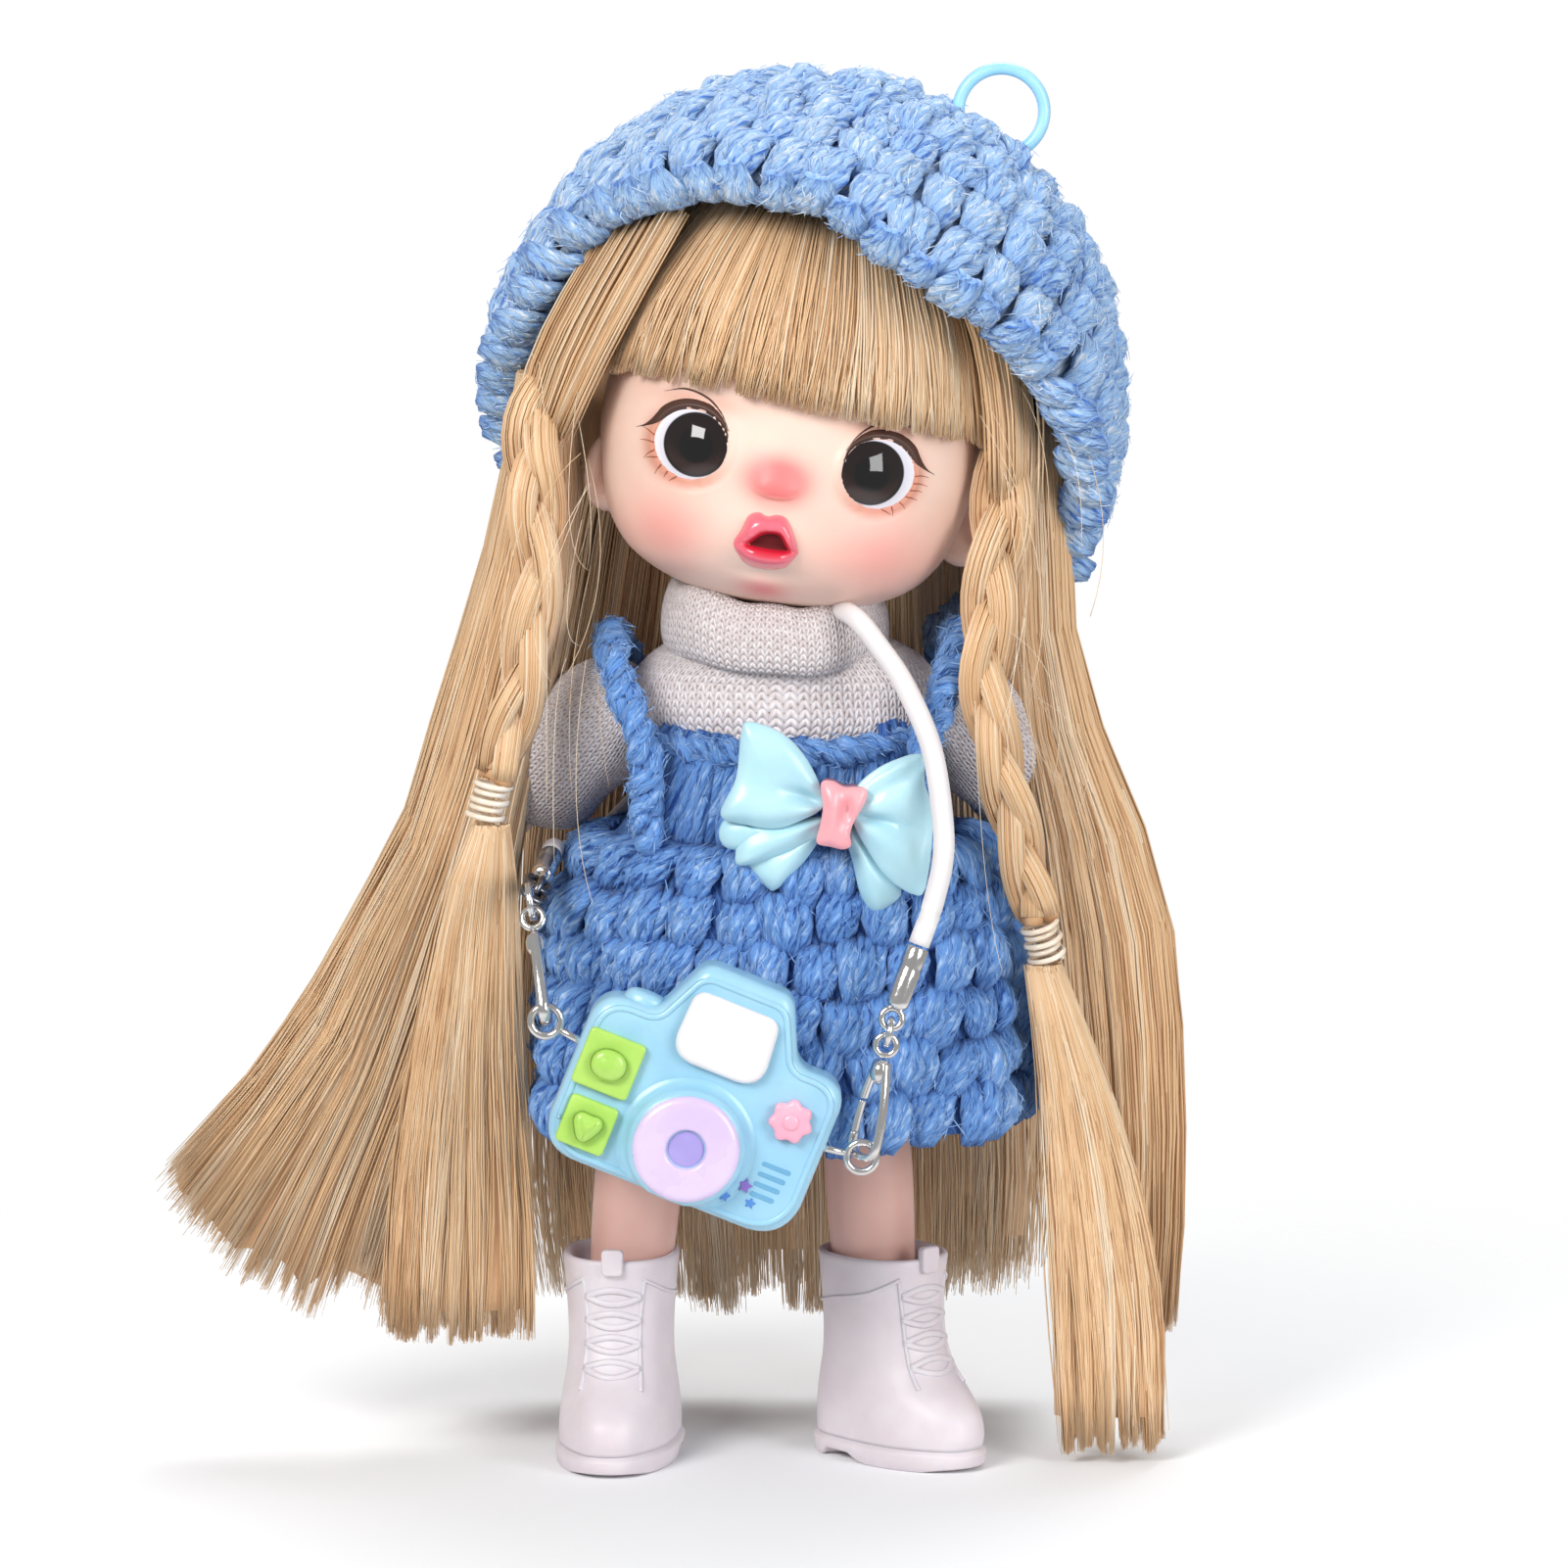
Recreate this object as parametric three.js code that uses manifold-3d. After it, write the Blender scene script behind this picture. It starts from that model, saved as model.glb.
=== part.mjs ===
// A standing fashion doll that hangs as a pendant: moulded jointed body, rooted hair with two
// braids, crocheted hat and pinafore, knitted sweater, boots, and a toy camera on a clip-on strap.
// Millimetres, +Z up. The doll faces -Y; "right" and "left" are the doll's own sides.

import * as THREE from 'three';
import { mergeVertices } from 'three/addons/utils/BufferGeometryUtils.js';
import Module from 'manifold-3d';

const wasm = await Module();
wasm.setup();

// Driving dimensions

const FIT_GAP = 0.3;
const CLOTH_GAP = 0.5;

const NECK_X = -2.5;
const NECK_Y = 2;
const NECK_Z = 101.5;
const HEAD_ROLL = 9;
const HEAD_WIDTH = 43;
const HEAD_HEIGHT = 53;
const FACE_DEPTH = 19.5;
const SKULL_DEPTH = 21;
const CHIN_RISE = 2;
const EYE_SPACING = 21.4;
const EYE_RISE = 19.9;
const EYE_RADIUS = 6;
const EYE_SINK = 5;
const EYE_OPENING_RADIUS = 4.4;
const NOSE_RISE = 16.6;
const NOSE_RADIUS = 1.9;
const MOUTH_RISE = 11;
const LIP_WIDTH = 7.4;
const LIP_HEIGHT = 5.6;
const LIP_POUT = 2.1;
const EAR_RISE = 13.6;
const EAR_HEIGHT = 10;
const EAR_THICKNESS = 4;
const NECK_BALL_RADIUS = 4.2;
const NECK_RADIUS = 3.2;

const SHOULDER_HALF_WIDTH = 17;
const SHOULDER_Z = 89.5;
const SHOULDER_Y = 3;
const HIP_Z = 62;
const RIGHT_HIP_X = -15;
const LEFT_HIP_X = 8.5;
const TORSO_DEPTH = 19;
const ARM_PLANE_X = 19;
const ARM_SPLAY = 33;
const ARM_SWING_BACK = 40;
const UPPER_ARM_LENGTH = 17;
const UPPER_ARM_RADIUS = 3.6;
const FOREARM_LENGTH = 14;
const FOREARM_RADIUS = 3;
const HAND_LENGTH = 8.5;
const HAND_WIDTH = 6.4;
const HAND_THICKNESS = 3.2;
const SHOULDER_PEG_RADIUS = 1.5;
const SHOULDER_PEG_LENGTH = 5;
const THIGH_RADIUS = 5.9;
const SHIN_RADIUS = 5.2;
const SOCKET_SHARE = 0.62;
const KNEE_Z = 43.5;
const ANKLE_Z = 9;
const RIGHT_FOOT_X = -19.5;
const LEFT_FOOT_X = 11.2;
const FOOT_LENGTH = 16;
const FOOT_WIDTH = 8.4;
const RIGHT_TOE_TURN = -6;
const LEFT_TOE_TURN = 33;

const BOOT_TOP_Z = 24.5;
const BOOT_SHAFT_WIDTH = 13.6;
const BOOT_SHAFT_DEPTH = 14.6;
const BOOT_SOLE_WIDTH = 14.6;
const BOOT_SOLE_LENGTH = 24;
const BOOT_SOLE_THICKNESS = 2.6;
const BOOT_HEEL_LENGTH = 8;
const BOOT_ARCH_RISE = 1.1;
const BOOT_TAB_WIDTH = 2.6;
const BOOT_TAB_HEIGHT = 3.2;
const BOOT_LACE_COUNT = 4;
const BOOT_LACE_SPACING = 2.7;
const BOOT_LACE_WIDTH = 6.4;

const SWEATER_WALL = 1.2;
const COLLAR_RADIUS = 12.4;
const COLLAR_BOTTOM_Z = 95.2;
const COLLAR_TOP_Z = 105.4;
const SLEEVE_RADIUS = 7.2;
const SLEEVE_LENGTH = 15.2;
const SLEEVE_WALL = 1.2;

const DRESS_WALL = 3.2;
const DRESS_HEM_Z = 41;
const DRESS_WAIST_Z = 71.5;
const DRESS_HEM_HALF_WIDTH = 29.6;
const DRESS_HEM_HALF_DEPTH = 23;
const DRESS_WAIST_HALF_WIDTH = 24.4;
const DRESS_WAIST_HALF_DEPTH = 17.8;
const DRESS_FOLDS = 9;
const DRESS_FOLD_DEPTH = 0.7;
const NECKLINE_Z = 86;
const NECKLINE_HALF_WIDTH = 12.6;
const STRAP_RISE = 97.6;
const ARMHOLE_HEIGHT = 24;

const HAT_X = 3;
const HAT_Y = 8;
const HAT_Z = 128;
const HAT_OUTER_RADIUS = 37.4;
const HAT_WALL = 4.2;
const HAT_TIP_BACK = 46;
const HAT_TIP_SIDE = 18;
const HAT_ROWS = 7;
const HAT_ROW_PUFF = 0.8;
const BRIM_DROP = 8;
const BRIM_FLARE = 1.6;
const LOOP_RADIUS = 5.1;
const LOOP_RISE = 2.2;
const LOOP_LEAN = 35;
const LOOP_SWING = 20;
const LOOP_WIRE_RADIUS = 0.75;

const HAIR_CAP_THICKNESS = 4.6;
const FRINGE_THICKNESS = 2.4;
const FRINGE_CUT_RISE = 26;
const FRINGE_TOP_RISE = 46;
const BRAID_RADIUS = 2.9;
const BRAID_BULGES = 7;
const BRAID_BULGE_DEPTH = 0.13;
const HAIR_GAP = 0.5;
const ELASTIC_WIRE_RADIUS = 0.28;
const ELASTIC_PITCH = 1.05;
const ELASTIC_TURNS = 4;

const CAMERA_WIDTH = 31;
const CAMERA_HEIGHT = 20;
const CAMERA_DEPTH = 7;
const CAMERA_CORNER = 4.4;
const CAMERA_TILT = 22;
const CAMERA_X = -11.4;
const CAMERA_Y = -25.4;
const CAMERA_Z = 46.6;
const PRISM_WIDTH = 12.6;
const PRISM_HEIGHT = 5;
const LENS_BARREL_RADIUS = 6.9;
const LENS_BARREL_LENGTH = 3;
const LENS_RING_RADIUS = 6.1;
const LENS_RING_WALL = 3.4;
const LENS_BUTTON_RADIUS = 2.3;
const TRIM_THICKNESS = 1.2;
const FLASH_COVER_SIZE = 11;
const UPPER_TILE_SIZE = 6.6;
const LOWER_TILE_SIZE = 5.6;
const FLOWER_RADIUS = 2.7;
const GRILLE_SLOTS = 4;
const GRILLE_PITCH = 1.2;
const LUG_RING_RADIUS = 1.75;
const LUG_WIRE_RADIUS = 0.4;
const LUG_SHANK_LENGTH = 4;

const STRAP_CORD_RADIUS = 1.5;
const FERRULE_RADIUS = 1.35;
const FERRULE_LENGTH = 7.6;
const LINK_WIRE_RADIUS = 0.4;
const LINK_RING_RADIUS = 1.5;
const EYE_RING_RADIUS = 1.2;
const SPLIT_RING_RADIUS = 2;
const CHAIN_LINKS = 3;
const CLASP_WIDTH = 4.8;
const HOOK_WIDTH = 4.8;
const CLASP_BAR = 0.9;
const CLASP_TURN = 45;
const HOOK_TURN = 90;
const CLASP_THICKNESS = 1.3;

const BOW_X = 5.8;
const BOW_Z = 80.6;
const BOW_TILT = 14;
const BOW_LOOP_LENGTH = 12.5;
const BOW_LOOP_HEIGHT = 13;
const BOW_TAIL_LENGTH = 12;
const BOW_THICKNESS = 3.4;
const BOW_KNOT_WIDTH = 5;
const BOW_KNOT_HEIGHT = 6.6;

// Routes and outlines that are chosen by eye: [x, y, z] along a strand, and level sections of the
// loose hair as [height, least x, greatest x, y, half depth]

const RIGHT_BRAID_ROUTE = [
  [-26.5, -3, 131], [-29.4, -8.6, 122], [-28.6, -10, 109], [-30.6, -10.5, 95], [-34, -10, 83],
];
const LEFT_BRAID_ROUTE = [
  [27, -2, 124], [25.6, -8, 115], [23.6, -11.5, 96], [25.8, -11.5, 83.5], [28.6, -9.5, 72],
  [30, -8.5, 66],
];
const RIGHT_TAIL_ROWS = [
  [77.5, -36.8, -32.2, -9.6, 2.3], [70, -40, -31.4, -8, 2.4], [55, -43.5, -31, -6, 2.8],
  [40, -46.5, -30, -4, 3], [28, -48.5, -29, -3, 3], [14.5, -50, -28.6, -3, 2.6],
];
const LEFT_TAIL_ROWS = [
  [60.6, 28.2, 32.8, -8.2, 2.3], [50, 29.4, 37, -6.5, 2.6], [35, 30, 42, -5, 3],
  [18, 30.4, 45.5, -4, 3], [1.2, 30.8, 46.5, -4, 2.6],
];
const RIGHT_LOCK_ROWS = [
  [130, -31.5, -25, 0, 4.6], [112, -34.8, -24, 4, 5], [93, -40.6, -27, 5, 5.5], [75, -46.4, -31, 6, 5],
  [62, -54.5, -32.5, 6, 4.6], [50, -61.5, -33, 6, 4.4], [35, -75.4, -33, 6, 4], [24, -67, -32, 6, 4],
  [16, -58, -31, 6, 3.6], [13, -53, -31, 6, 3],
];
const LEFT_LOCK_ROWS = [
  [124, 25.4, 33, 2, 4.6], [112, 25.5, 34, 4, 5], [100, 26, 34.5, 5, 5.5], [83, 27, 38.3, 6, 5],
  [72, 29, 43, 6, 5], [60, 30, 46.4, 6, 4.6], [46, 31, 48.5, 6, 4.4], [30, 32, 48.7, 6, 4],
  [12, 33, 47.5, 6, 3],
];
const BACK_HAIR_ROWS = [
  [138, -19, 25, 19, 5], [118, -25, 28, 20, 6], [104, -27, 29, 20.2, 3.2], [96, -29, 30, 21.2, 2.6],
  [84, -32, 32, 25.5, 4.4],
  [66, -34, 34, 29.5, 4], [42, -36, 37, 31, 4], [20, -36, 38, 31, 3.6], [11, -34, 36, 31, 2.6],
];
const STRAP_ROUTE = [
  [17, -23.6, 69.5], [18.4, -23.4, 75.5], [18.3, -22.6, 81], [17, -20.6, 88.6], [14.4, -16.4, 96.2],
  [12.9, -9.5, 100.6], [14, 0, 100.4], [12, 10.5, 98.6], [5, 15.4, 93.6], [-3, 17.4, 88.4],
  [-8.5, 19.6, 84.4], [-15, 19.2, 79.6], [-22.9, 13.4, 72.4], [-27.4, 6, 72.2],
];
const FERRULE_TIP = [12.9, -25, 58.4];
const FRONT_LUG = [9, -25.4, 41];
const REAR_LUG = [-27.6, -25.4, 57];
const REAR_HOOK_TOP = [-29.5, -18.8, 70];
const CHAIN_AIM = [-27.4, 0, 73.4];

// Materials

const paint = (color, roughness, metalness = 0) =>
  new THREE.MeshStandardMaterial({ color, roughness, metalness });

const SKIN = paint(0xf6dccb, 0.5);
const EYE = paint(0x2a1712, 0.12);
const HAIR = paint(0xdcb887, 0.45);
const HAT_YARN = paint(0x70a0e4, 0.95);
const DRESS_YARN = paint(0x558cd7, 0.95);
const LOOP_RUBBER = paint(0xaae1fa, 0.45);
const KNIT = paint(0xe1d4d0, 0.95);
const BOOT_VINYL = paint(0xeee6e8, 0.5);
const CLEAR_ELASTIC = paint(0xe8e4da, 0.25);
const CAMERA_RESIN = paint(0xa5d7ee, 0.35);
const WHITE_RESIN = paint(0xf6f4f4, 0.35);
const LAVENDER_RESIN = paint(0xd9c4ee, 0.35);
const VIOLET_RESIN = paint(0x8f88d8, 0.3);
const GREEN_RESIN = paint(0xa9d94f, 0.35);
const PINK_RESIN = paint(0xfab0b8, 0.35);
const BOW_RESIN = paint(0xb4deeb, 0.35);
const CORD_WHITE = paint(0xf4f2f2, 0.55);
const STEEL = paint(0xc4c6ca, 0.2, 1);
const DARK_STEEL = paint(0x3c3e46, 0.35, 1);

// Solids

const UP = new THREE.Vector3(0, 0, 1);
const vec = (x, y, z) => new THREE.Vector3(x, y, z);
const rad = THREE.MathUtils.degToRad;

/** Geometry with shared vertices and nothing but positions. */
function weld(geometry) {
  const bare = new THREE.BufferGeometry();
  bare.setAttribute('position', geometry.getAttribute('position').clone());
  if (geometry.index) bare.setIndex(geometry.index.clone());
  return mergeVertices(bare, 1e-4);
}

/** Manifold solid of a closed geometry, turned inside out if its faces point inwards. */
function solid(geometry, matrix = new THREE.Matrix4()) {
  const welded = weld(geometry.clone().applyMatrix4(matrix));
  const vertProperties = new Float32Array(welded.getAttribute('position').array);
  const triVerts = new Uint32Array(welded.index.array);
  const body = new wasm.Manifold(new wasm.Mesh({ numProp: 3, vertProperties, triVerts }));
  if (body.volume() > 0) return body;
  for (let i = 0; i < triVerts.length; i += 3) {
    [triVerts[i], triVerts[i + 1]] = [triVerts[i + 1], triVerts[i]];
  }
  return new wasm.Manifold(new wasm.Mesh({ numProp: 3, vertProperties, triVerts }));
}

/** Named mesh of a solid, keeping only its largest closed body. */
function piece(name, body, material) {
  const largest = body.decompose().reduce((a, b) => (b.volume() > a.volume() ? b : a));
  const { vertProperties, triVerts } = largest.getMesh();
  const geometry = new THREE.BufferGeometry();
  geometry.setAttribute('position', new THREE.BufferAttribute(new Float32Array(vertProperties), 3));
  geometry.setIndex(new THREE.BufferAttribute(new Uint32Array(triVerts), 1));
  geometry.computeVertexNormals();
  const mesh = new THREE.Mesh(geometry, material);
  mesh.name = name;
  return mesh;
}

/** Closed skin over rings of equally many points, capped at both ends. */
function loft(rings) {
  const sides = rings[0].length;
  const points = rings.flat();
  const index = [];
  for (let i = 0; i + 1 < rings.length; i += 1) {
    for (let j = 0; j < sides; j += 1) {
      const a = i * sides + j;
      const b = i * sides + ((j + 1) % sides);
      index.push(a, b, a + sides, b, b + sides, a + sides);
    }
  }
  const last = (rings.length - 1) * sides;
  for (let j = 1; j + 1 < sides; j += 1) {
    index.push(0, j + 1, j);
    index.push(last, last + j, last + j + 1);
  }
  const geometry = new THREE.BufferGeometry().setFromPoints(points);
  geometry.setIndex(index);
  return geometry;
}

/** Superellipse ring in a level plane, with its own front and back depth. */
function ovalRing({ x = 0, y = 0, z, halfWidth, front, back = front, sides = 24, square = 2 }) {
  const ring = [];
  for (let j = 0; j < sides; j += 1) {
    const angle = (2 * Math.PI * j) / sides;
    const c = Math.cos(angle);
    const s = Math.sin(angle);
    const reach = 1 / (Math.abs(c) ** square + Math.abs(s) ** square) ** (1 / square);
    ring.push(vec(x + c * reach * halfWidth, y + s * reach * (s < 0 ? front : back), z));
  }
  return ring;
}

/** Tube of round section along a path; a list of points is joined by a smooth curve. */
function tube(path, radius, { sides = 8, steps = 24, closed = false } = {}) {
  const curve = Array.isArray(path) ? new THREE.CatmullRomCurve3(path, closed) : path;
  const corners = Array.from({ length: sides }, (_, i) => {
    const a = (2 * Math.PI * i) / sides;
    return new THREE.Vector2(radius * Math.cos(a), radius * Math.sin(a));
  });
  const section = new THREE.Shape(corners);
  return new THREE.ExtrudeGeometry(section, { steps, extrudePath: curve });
}

/** Matrix that places a shape built along +Z at `from`, pointing towards `to`. */
function along(from, to) {
  const turn = new THREE.Quaternion().setFromUnitVectors(UP, to.clone().sub(from).normalize());
  return new THREE.Matrix4().compose(from, turn, vec(1, 1, 1));
}

/** Outline of a plain round bar, for `revolve`. */
const bar = (radius, length, start = 0) => [[0, start], [radius, start], [radius, length], [0, length]];

/** Solid of revolution about +Z from [radius, height] pairs. */
function revolve(profile, sides = 20) {
  const points = profile.map(([r, h]) => new THREE.Vector2(Math.max(r, 0), h));
  return new THREE.LatheGeometry(points, sides).rotateX(Math.PI / 2);
}

/** Sphere about a point. */
const sphere = (r, at, columns, rows) => ellipsoid(r, r, r, at, columns, rows);

/** Ellipsoid of three half-sizes. */
function ellipsoid(rx, ry, rz, at, columns = 20, rows = 14) {
  const ball = new THREE.SphereGeometry(1, columns, rows).rotateX(Math.PI / 2);
  return ball.scale(rx, ry, rz).translate(at.x, at.y, at.z);
}

/** Smooth value at `t` of a curve through equally spaced values. */
function sample(values, t) {
  const curve = new THREE.SplineCurve(values.map((v, i) => new THREE.Vector2(i, v)));
  return curve.getPoint(THREE.MathUtils.clamp(t, 0, 1)).y;
}

// Head: built in its own frame, with its origin at the neck pivot and the face towards -Y

const headFrame = new THREE.Matrix4()
  .makeRotationY(rad(HEAD_ROLL))
  .setPosition(NECK_X, NECK_Y, NECK_Z);
const inHead = (x, y, z) => vec(x, y, z).applyMatrix4(headFrame);

const HEAD_WIDTHS = [0.36, 0.74, 0.93, 1, 0.99, 0.95, 0.86, 0.7, 0.46, 0.1];
const FACE_DEPTHS = [0.36, 0.82, 0.97, 1, 0.97, 0.95, 0.88, 0.72, 0.46, 0.1];
const SKULL_DEPTHS = [0.3, 0.52, 0.76, 0.93, 1, 1, 0.93, 0.77, 0.5, 0.1];

/** Egg-shaped head, wide at the cheeks, offset outwards by `grow`. */
function headEgg(grow = 0, sides = 16, rows = 10) {
  const rings = [];
  for (let i = 0; i <= rows; i += 1) {
    const t = 0.5 - 0.5 * Math.cos((Math.PI * i) / rows);
    const stretch = grow * (2 * t - 1);
    rings.push(ovalRing({
      z: CHIN_RISE + HEAD_HEIGHT * t + stretch,
      halfWidth: (HEAD_WIDTH / 2) * sample(HEAD_WIDTHS, t) + grow,
      front: FACE_DEPTH * sample(FACE_DEPTHS, t) + grow,
      back: SKULL_DEPTH * sample(SKULL_DEPTHS, t) + grow,
      sides,
      square: 2.25,
    }));
  }
  return solid(loft(rings));
}

/** Depth of the face's front surface at a height above the neck pivot. */
function faceFront(rise, x = 0) {
  const t = (rise - CHIN_RISE) / HEAD_HEIGHT;
  const halfWidth = (HEAD_WIDTH / 2) * sample(HEAD_WIDTHS, t);
  return -FACE_DEPTH * sample(FACE_DEPTHS, t) * (1 - Math.abs(x / halfWidth) ** 2.25) ** (1 / 2.25);
}

function eyeCentre(side) {
  const x = (side * EYE_SPACING) / 2;
  return vec(x, faceFront(EYE_RISE, x) + EYE_SINK, EYE_RISE);
}

/** Shell-shaped ear; with `grow`, the plain room that it takes. */
function ear(side, grow = 0) {
  const at = vec(side * (HEAD_WIDTH / 2 + EAR_THICKNESS * 0.1), EAR_THICKNESS * 0.6, EAR_RISE);
  const half = [EAR_THICKNESS / 2 + grow, EAR_THICKNESS * 0.7 + grow, EAR_HEIGHT / 2 + grow];
  const rim = solid(ellipsoid(...half, at, 8, 6));
  if (grow > 0) return rim;
  const bowl = vec(at.x + side * EAR_THICKNESS * 0.3, at.y - EAR_THICKNESS * 0.6, at.z);
  const hollow = ellipsoid(EAR_THICKNESS / 4, EAR_THICKNESS / 2, EAR_HEIGHT * 0.3, bowl, 6, 5);
  return rim.subtract(solid(hollow));
}

function headShell() {
  let head = headEgg();
  for (const side of [-1, 1]) {
    head = head.add(ear(side));
    const centre = eyeCentre(side);
    const socket = sphere(EYE_RADIUS + FIT_GAP, centre, 10, 7);
    const reach = EYE_RADIUS * 2;
    const bore = new THREE.CylinderGeometry(EYE_OPENING_RADIUS, EYE_OPENING_RADIUS, reach, 14);
    head = head.subtract(solid(socket));
    head = head.subtract(solid(bore.translate(centre.x, centre.y - reach / 2, centre.z)));
  }
  const noseAt = vec(0, faceFront(NOSE_RISE) + NOSE_RADIUS * 0.3, NOSE_RISE);
  head = head.add(solid(ellipsoid(NOSE_RADIUS, NOSE_RADIUS, NOSE_RADIUS * 0.8, noseAt, 10, 6)));
  const mouthAt = vec(0, faceFront(MOUTH_RISE) + LIP_POUT * 0.3, MOUTH_RISE);
  head = head.add(solid(ellipsoid(LIP_WIDTH / 2, LIP_POUT, LIP_HEIGHT / 2, mouthAt, 12, 8)));
  const partAt = vec(0, mouthAt.y - LIP_POUT, MOUTH_RISE);
  head = head.subtract(
    solid(ellipsoid(LIP_WIDTH * 0.28, LIP_POUT * 0.55, LIP_HEIGHT * 0.16, partAt, 10, 6)),
  );
  const neckSocket = sphere(NECK_BALL_RADIUS + FIT_GAP, neckBallCentre(), 12, 8);
  const neckMouth = revolve(bar(NECK_RADIUS * 1.25, HEAD_HEIGHT / 4));
  const below = neckBallCentre().z - HEAD_HEIGHT / 4;
  head = head.subtract(solid(neckSocket));
  return head.subtract(solid(neckMouth.translate(0, 0, below)));
}

function neckBallCentre() {
  return vec(0, 0, CHIN_RISE + NECK_BALL_RADIUS * 1.3);
}

function buildHead() {
  const group = new THREE.Group();
  group.add(piece('head_shell', headShell().transform(headFrame.elements), SKIN));
  for (const [name, side] of [['right_eye', -1], ['left_eye', 1]]) {
    const eye = solid(sphere(EYE_RADIUS, eyeCentre(side), 10, 7), headFrame);
    group.add(piece(name, eye, EYE));
  }
  return group;
}

// Torso and limbs

/** Sections of the torso from hips to neck: height, half width and half depth. */
function torsoRows() {
  const half = SHOULDER_HALF_WIDTH;
  const deep = TORSO_DEPTH / 2;
  const hipMid = (RIGHT_HIP_X + LEFT_HIP_X) / 2;
  const rows = [
    [HIP_Z + THIGH_RADIUS + CLOTH_GAP, 15.4, deep * 0.98],
    [HIP_Z + 10, 15.6, deep],
    [HIP_Z + 17, 13.4, deep * 0.94],
    [HIP_Z + 23, 13.8, deep],
    [SHOULDER_Z, half, deep * 0.98],
    [SHOULDER_Z + 3.6, half * 0.82, deep * 0.8],
    [SHOULDER_Z + 6, NECK_RADIUS * 1.6, NECK_RADIUS * 1.5],
  ];
  return rows.map(([z, halfWidth, front]) => {
    const t = (z - HIP_Z) / (SHOULDER_Z - HIP_Z);
    const x = THREE.MathUtils.lerp(hipMid / 2, 0, THREE.MathUtils.clamp(t, 0, 1));
    return { x, y: NECK_Y, z, halfWidth, front };
  });
}

function torsoBlock(grow = 0, sides = 14) {
  const rings = torsoRows().map((row, i, all) => {
    const lift = i === 0 ? -grow : i === all.length - 1 ? grow : 0;
    const spread = { halfWidth: row.halfWidth + grow, front: row.front + grow };
    return ovalRing({ ...row, ...spread, z: row.z + lift, sides, square: 2.4 });
  });
  return solid(loft(rings));
}

/** Peg from the shoulders up into the ball of the neck. */
function neckStalk(radius, sides = 10) {
  const foot = vec(NECK_X * 0.7, NECK_Y, SHOULDER_Z + 2);
  const head = neckBallCentre().applyMatrix4(headFrame);
  const length = foot.distanceTo(head);
  return solid(revolve(bar(radius, length), sides), along(foot, head));
}

function neckConnector() {
  const centre = neckBallCentre().applyMatrix4(headFrame);
  return solid(sphere(NECK_BALL_RADIUS, centre, 12, 8)).add(neckStalk(NECK_RADIUS));
}

/** Straight limb of two end radii with rounded ends, from one point to another. */
function limb(from, to, r0, r1, sides = 9) {
  const length = from.distanceTo(to);
  const rings = [[0, 0]];
  for (const a of [30, 62]) rings.push([r0 * Math.sin(rad(a)), r0 * (0.45 - 0.45 * Math.cos(rad(a)))]);
  rings.push([r0, r0 * 0.45], [(r0 + r1) / 2, length / 2], [r1, length - r1 * 0.45]);
  for (const a of [62, 30]) {
    rings.push([r1 * Math.sin(rad(a)), length - r1 * (0.45 - 0.45 * Math.cos(rad(a)))]);
  }
  rings.push([0, length]);
  return solid(revolve(rings, sides), along(from, to));
}

function armDirection(side) {
  const splay = rad(ARM_SPLAY);
  const swing = rad(ARM_SWING_BACK);
  const down = Math.cos(splay);
  return vec(side * Math.sin(splay), down * Math.sin(swing), -down * Math.cos(swing));
}

function armPoint(side, reach) {
  const shoulder = vec(side * (ARM_PLANE_X + UPPER_ARM_RADIUS * 0.6), SHOULDER_Y, SHOULDER_Z);
  return shoulder.addScaledVector(armDirection(side), reach);
}

const ELBOW_REACH = UPPER_ARM_LENGTH;
const WRIST_REACH = ELBOW_REACH + FOREARM_LENGTH;
const HAND_REACH = WRIST_REACH + HAND_LENGTH;

/** Joint ball of a limb. */
function ball(centre, radius) {
  return solid(sphere(radius, centre, 9, 6));
}

/** Half-space to the outside of a plane square to X, as a large block. */
function outside(side, x) {
  const size = HEAD_HEIGHT * 6;
  return solid(new THREE.BoxGeometry(size, size, size).translate(side * (x + size / 2), 0, 0));
}

function upperArm(side, grow = 0) {
  const from = armPoint(side, -UPPER_ARM_RADIUS);
  const end = armPoint(side, ELBOW_REACH - FOREARM_RADIUS * SOCKET_SHARE);
  const socket = ball(armPoint(side, ELBOW_REACH), FOREARM_RADIUS + FIT_GAP - grow);
  const arm = limb(from, end, UPPER_ARM_RADIUS + grow, FOREARM_RADIUS + grow).subtract(socket);
  return arm.intersect(outside(side, ARM_PLANE_X + FIT_GAP - grow)).add(shoulderPeg(side, grow));
}

/** Peg on the shoulder's turning axis, from the arm into the torso. */
function shoulderPeg(side, grow = 0) {
  const from = vec(side * (ARM_PLANE_X - SHOULDER_PEG_LENGTH - grow), SHOULDER_Y, SHOULDER_Z);
  const to = vec(side * (ARM_PLANE_X + UPPER_ARM_RADIUS), SHOULDER_Y, SHOULDER_Z);
  const profile = bar(SHOULDER_PEG_RADIUS + grow, from.distanceTo(to));
  return solid(revolve(profile, 14), along(from, to));
}

function forearm(side, grow = 0) {
  const r = FOREARM_RADIUS + grow;
  const elbow = armPoint(side, ELBOW_REACH - grow);
  const shaft = limb(elbow, armPoint(side, WRIST_REACH + grow), r * 0.9, r * 0.82);
  return shaft.add(ball(armPoint(side, ELBOW_REACH), r));
}

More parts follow.
